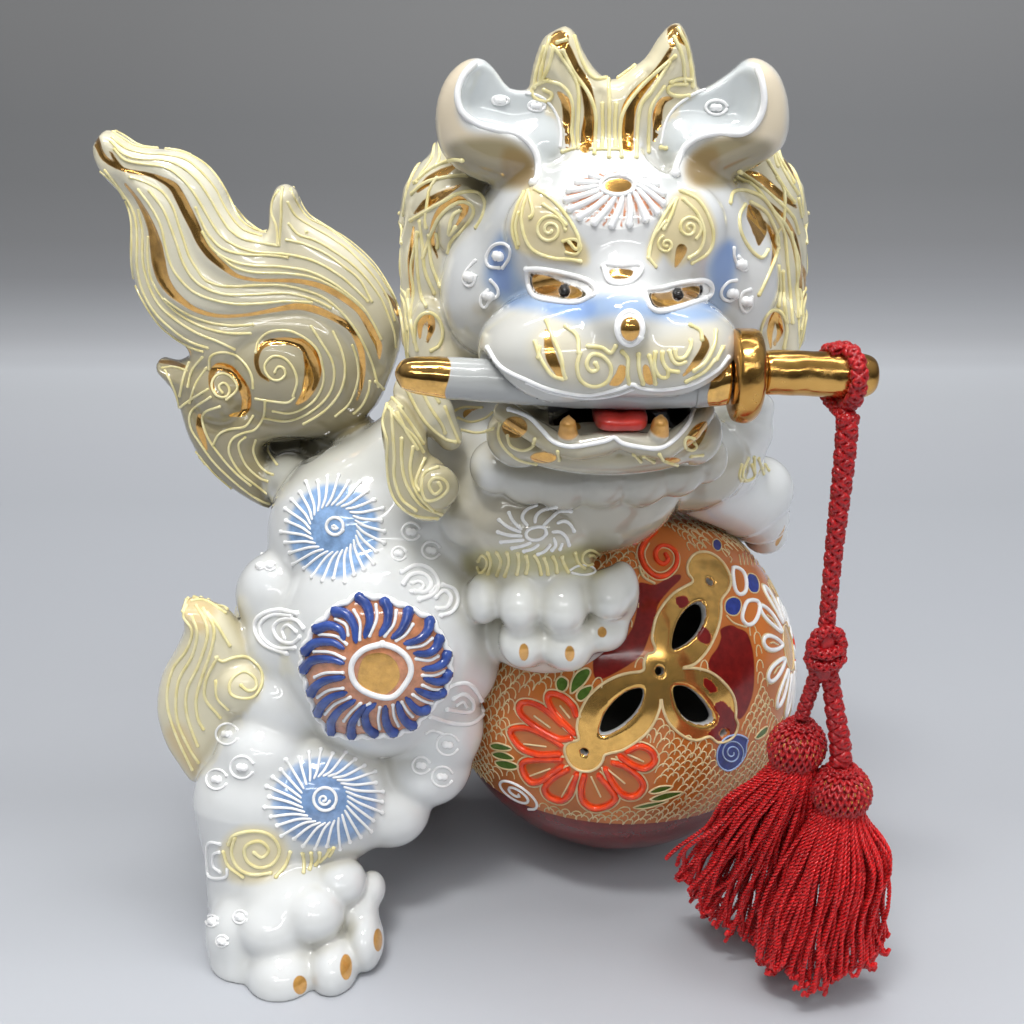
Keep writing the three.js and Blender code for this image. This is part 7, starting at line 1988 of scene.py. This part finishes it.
for lab in sorted(INV):
    n = INV[lab]
    q = LQ[QL == lab]
    if not len(q):
        continue
    o = shell_piece(n, G, LV, LN, q, [M_LION], ATTR, 3.0)
    stand_for(o, n, "lion")
RAISED.finish("lion")

# ------------------------------------------------------------------ floor, backdrop and lights
def stage_mesh():
    ys, zs = [], []
    for y in np.linspace(-1500, 800, 24):
        ys.append(y); zs.append(0.0)
    R = 420
    for a in np.linspace(0.05, math.pi / 2, 22):
        ys.append(800 + R * math.sin(a)); zs.append(R - R * math.cos(a))
    for z in np.linspace(R + 80, 2600, 14):
        ys.append(800 + R); zs.append(z)
    xs = np.linspace(-2600, 2600, 27)
    V = np.array([[x, y, z] for y, z in zip(ys, zs) for x in xs]) - OFF
    m, n = len(ys), len(xs)
    i = np.arange(m - 1)[:, None] * n; j = np.arange(n - 1)[None, :]
    Fq = np.stack([i + j, i + j + 1, i + n + j + 1, i + n + j], -1).reshape(-1, 4)
    V[:, 2] -= 0.02
    return V, Fq

M_FLOOR = bpy.data.materials.new("backdrop_paper")
nt, b = nodes_of(M_FLOOR)
geo = nt.nodes.new("ShaderNodeNewGeometry")
sep = nt.nodes.new("ShaderNodeSeparateXYZ")
nt.links.new(geo.outputs["Position"], sep.inputs[0])
# painted light and shade: the paper's colour changes with its depth, lightest just before the bend and dark where it
# turns up into the wall
mr = nt.nodes.new("ShaderNodeMapRange")
mr.inputs["From Min"].default_value = -0.6; mr.inputs["From Max"].default_value = 1.4
nt.links.new(sep.outputs["Y"], mr.inputs["Value"])
cr_ = ramp(nt, mr.outputs[0], FLOOR_STOPS)
nt.links.new(cr_.outputs[0], b.inputs["Base Color"])
# the sheet glows a little more or less with its height, darkest a hand's breadth above the bend
mz = nt.nodes.new("ShaderNodeMapRange")
mz.inputs["From Min"].default_value = 0.0; mz.inputs["From Max"].default_value = 0.40
nt.links.new(sep.outputs["Z"], mz.inputs["Value"])
ez = ramp(nt, mz.outputs[0], WALL_STOPS)
mx = nt.nodes.new("ShaderNodeMapRange")
mx.inputs["From Min"].default_value = -0.45; mx.inputs["From Max"].default_value = 0.45
nt.links.new(sep.outputs["X"], mx.inputs["Value"])
ex = ramp(nt, mx.outputs[0], SIDE_STOPS)
em = nt.nodes.new("ShaderNodeMix"); em.data_type = 'RGBA'; em.blend_type = 'MULTIPLY'; em.inputs[0].default_value = 1.0
nt.links.new(ez.outputs[0], em.inputs[6]); nt.links.new(ex.outputs[0], em.inputs[7])
nt.links.new(em.outputs[2], b.inputs["Emission Color"])
b.inputs["Emission Strength"].default_value = 1.0
b.inputs["Roughness"].default_value = 0.55
b.inputs["Specular IOR Level"].default_value = 0.25
V, Fq = stage_mesh()
floor = make_mesh("floor", V, [Fq], [M_FLOOR])

def area(name, loc, target, size, power, colour=(1, 1, 1), size_y=None, glossy=True):
    d = bpy.data.lights.new(name, 'AREA')
    d.energy = power; d.color = colour; d.size = size
    if size_y:
        d.shape = 'RECTANGLE'; d.size_y = size_y
    o = bpy.data.objects.new(name, d)
    o.location = loc
    v = Vector(target) - Vector(loc)
    o.rotation_euler = v.to_track_quat('-Z', 'Y').to_euler()
    o.visible_glossy = glossy
    link(o)
    return o

for a in LIGHTS:
    area(*a)
world = bpy.data.worlds.new("room")
bpy.context.scene.world = world
world.use_nodes = True
wn = world.node_tree
bg = wn.nodes["Background"]
tc = wn.nodes.new("ShaderNodeTexCoord")
ws = wn.nodes.new("ShaderNodeSeparateXYZ")
wn.links.new(tc.outputs["Generated"], ws.inputs[0])
def w_ramp(src, lo, hi, stops):
    q = wn.nodes.new("ShaderNodeMapRange"); q.inputs["From Min"].default_value = lo; q.inputs["From Max"].default_value = hi
    wn.links.new(src, q.inputs["Value"])
    return ramp(wn, q.outputs[0], stops)
wa = w_ramp(ws.outputs["Z"], -1, 1, WORLD_Z)
wb = w_ramp(ws.outputs["Y"], -1, 1, WORLD_Y)
wm = wn.nodes.new("ShaderNodeMix"); wm.data_type = 'RGBA'; wm.blend_type = 'MULTIPLY'; wm.inputs[0].default_value = 1.0
wn.links.new(wa.outputs[0], wm.inputs[6]); wn.links.new(wb.outputs[0], wm.inputs[7])
wn.links.new(wm.outputs[2], bg.inputs[0])
bg.inputs[1].default_value = WORLD
bpy.context.scene.view_settings.view_transform = 'Standard'
bpy.context.scene.view_settings.look = 'None'

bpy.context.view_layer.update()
print("seconds", round(time.time() - T0, 1))
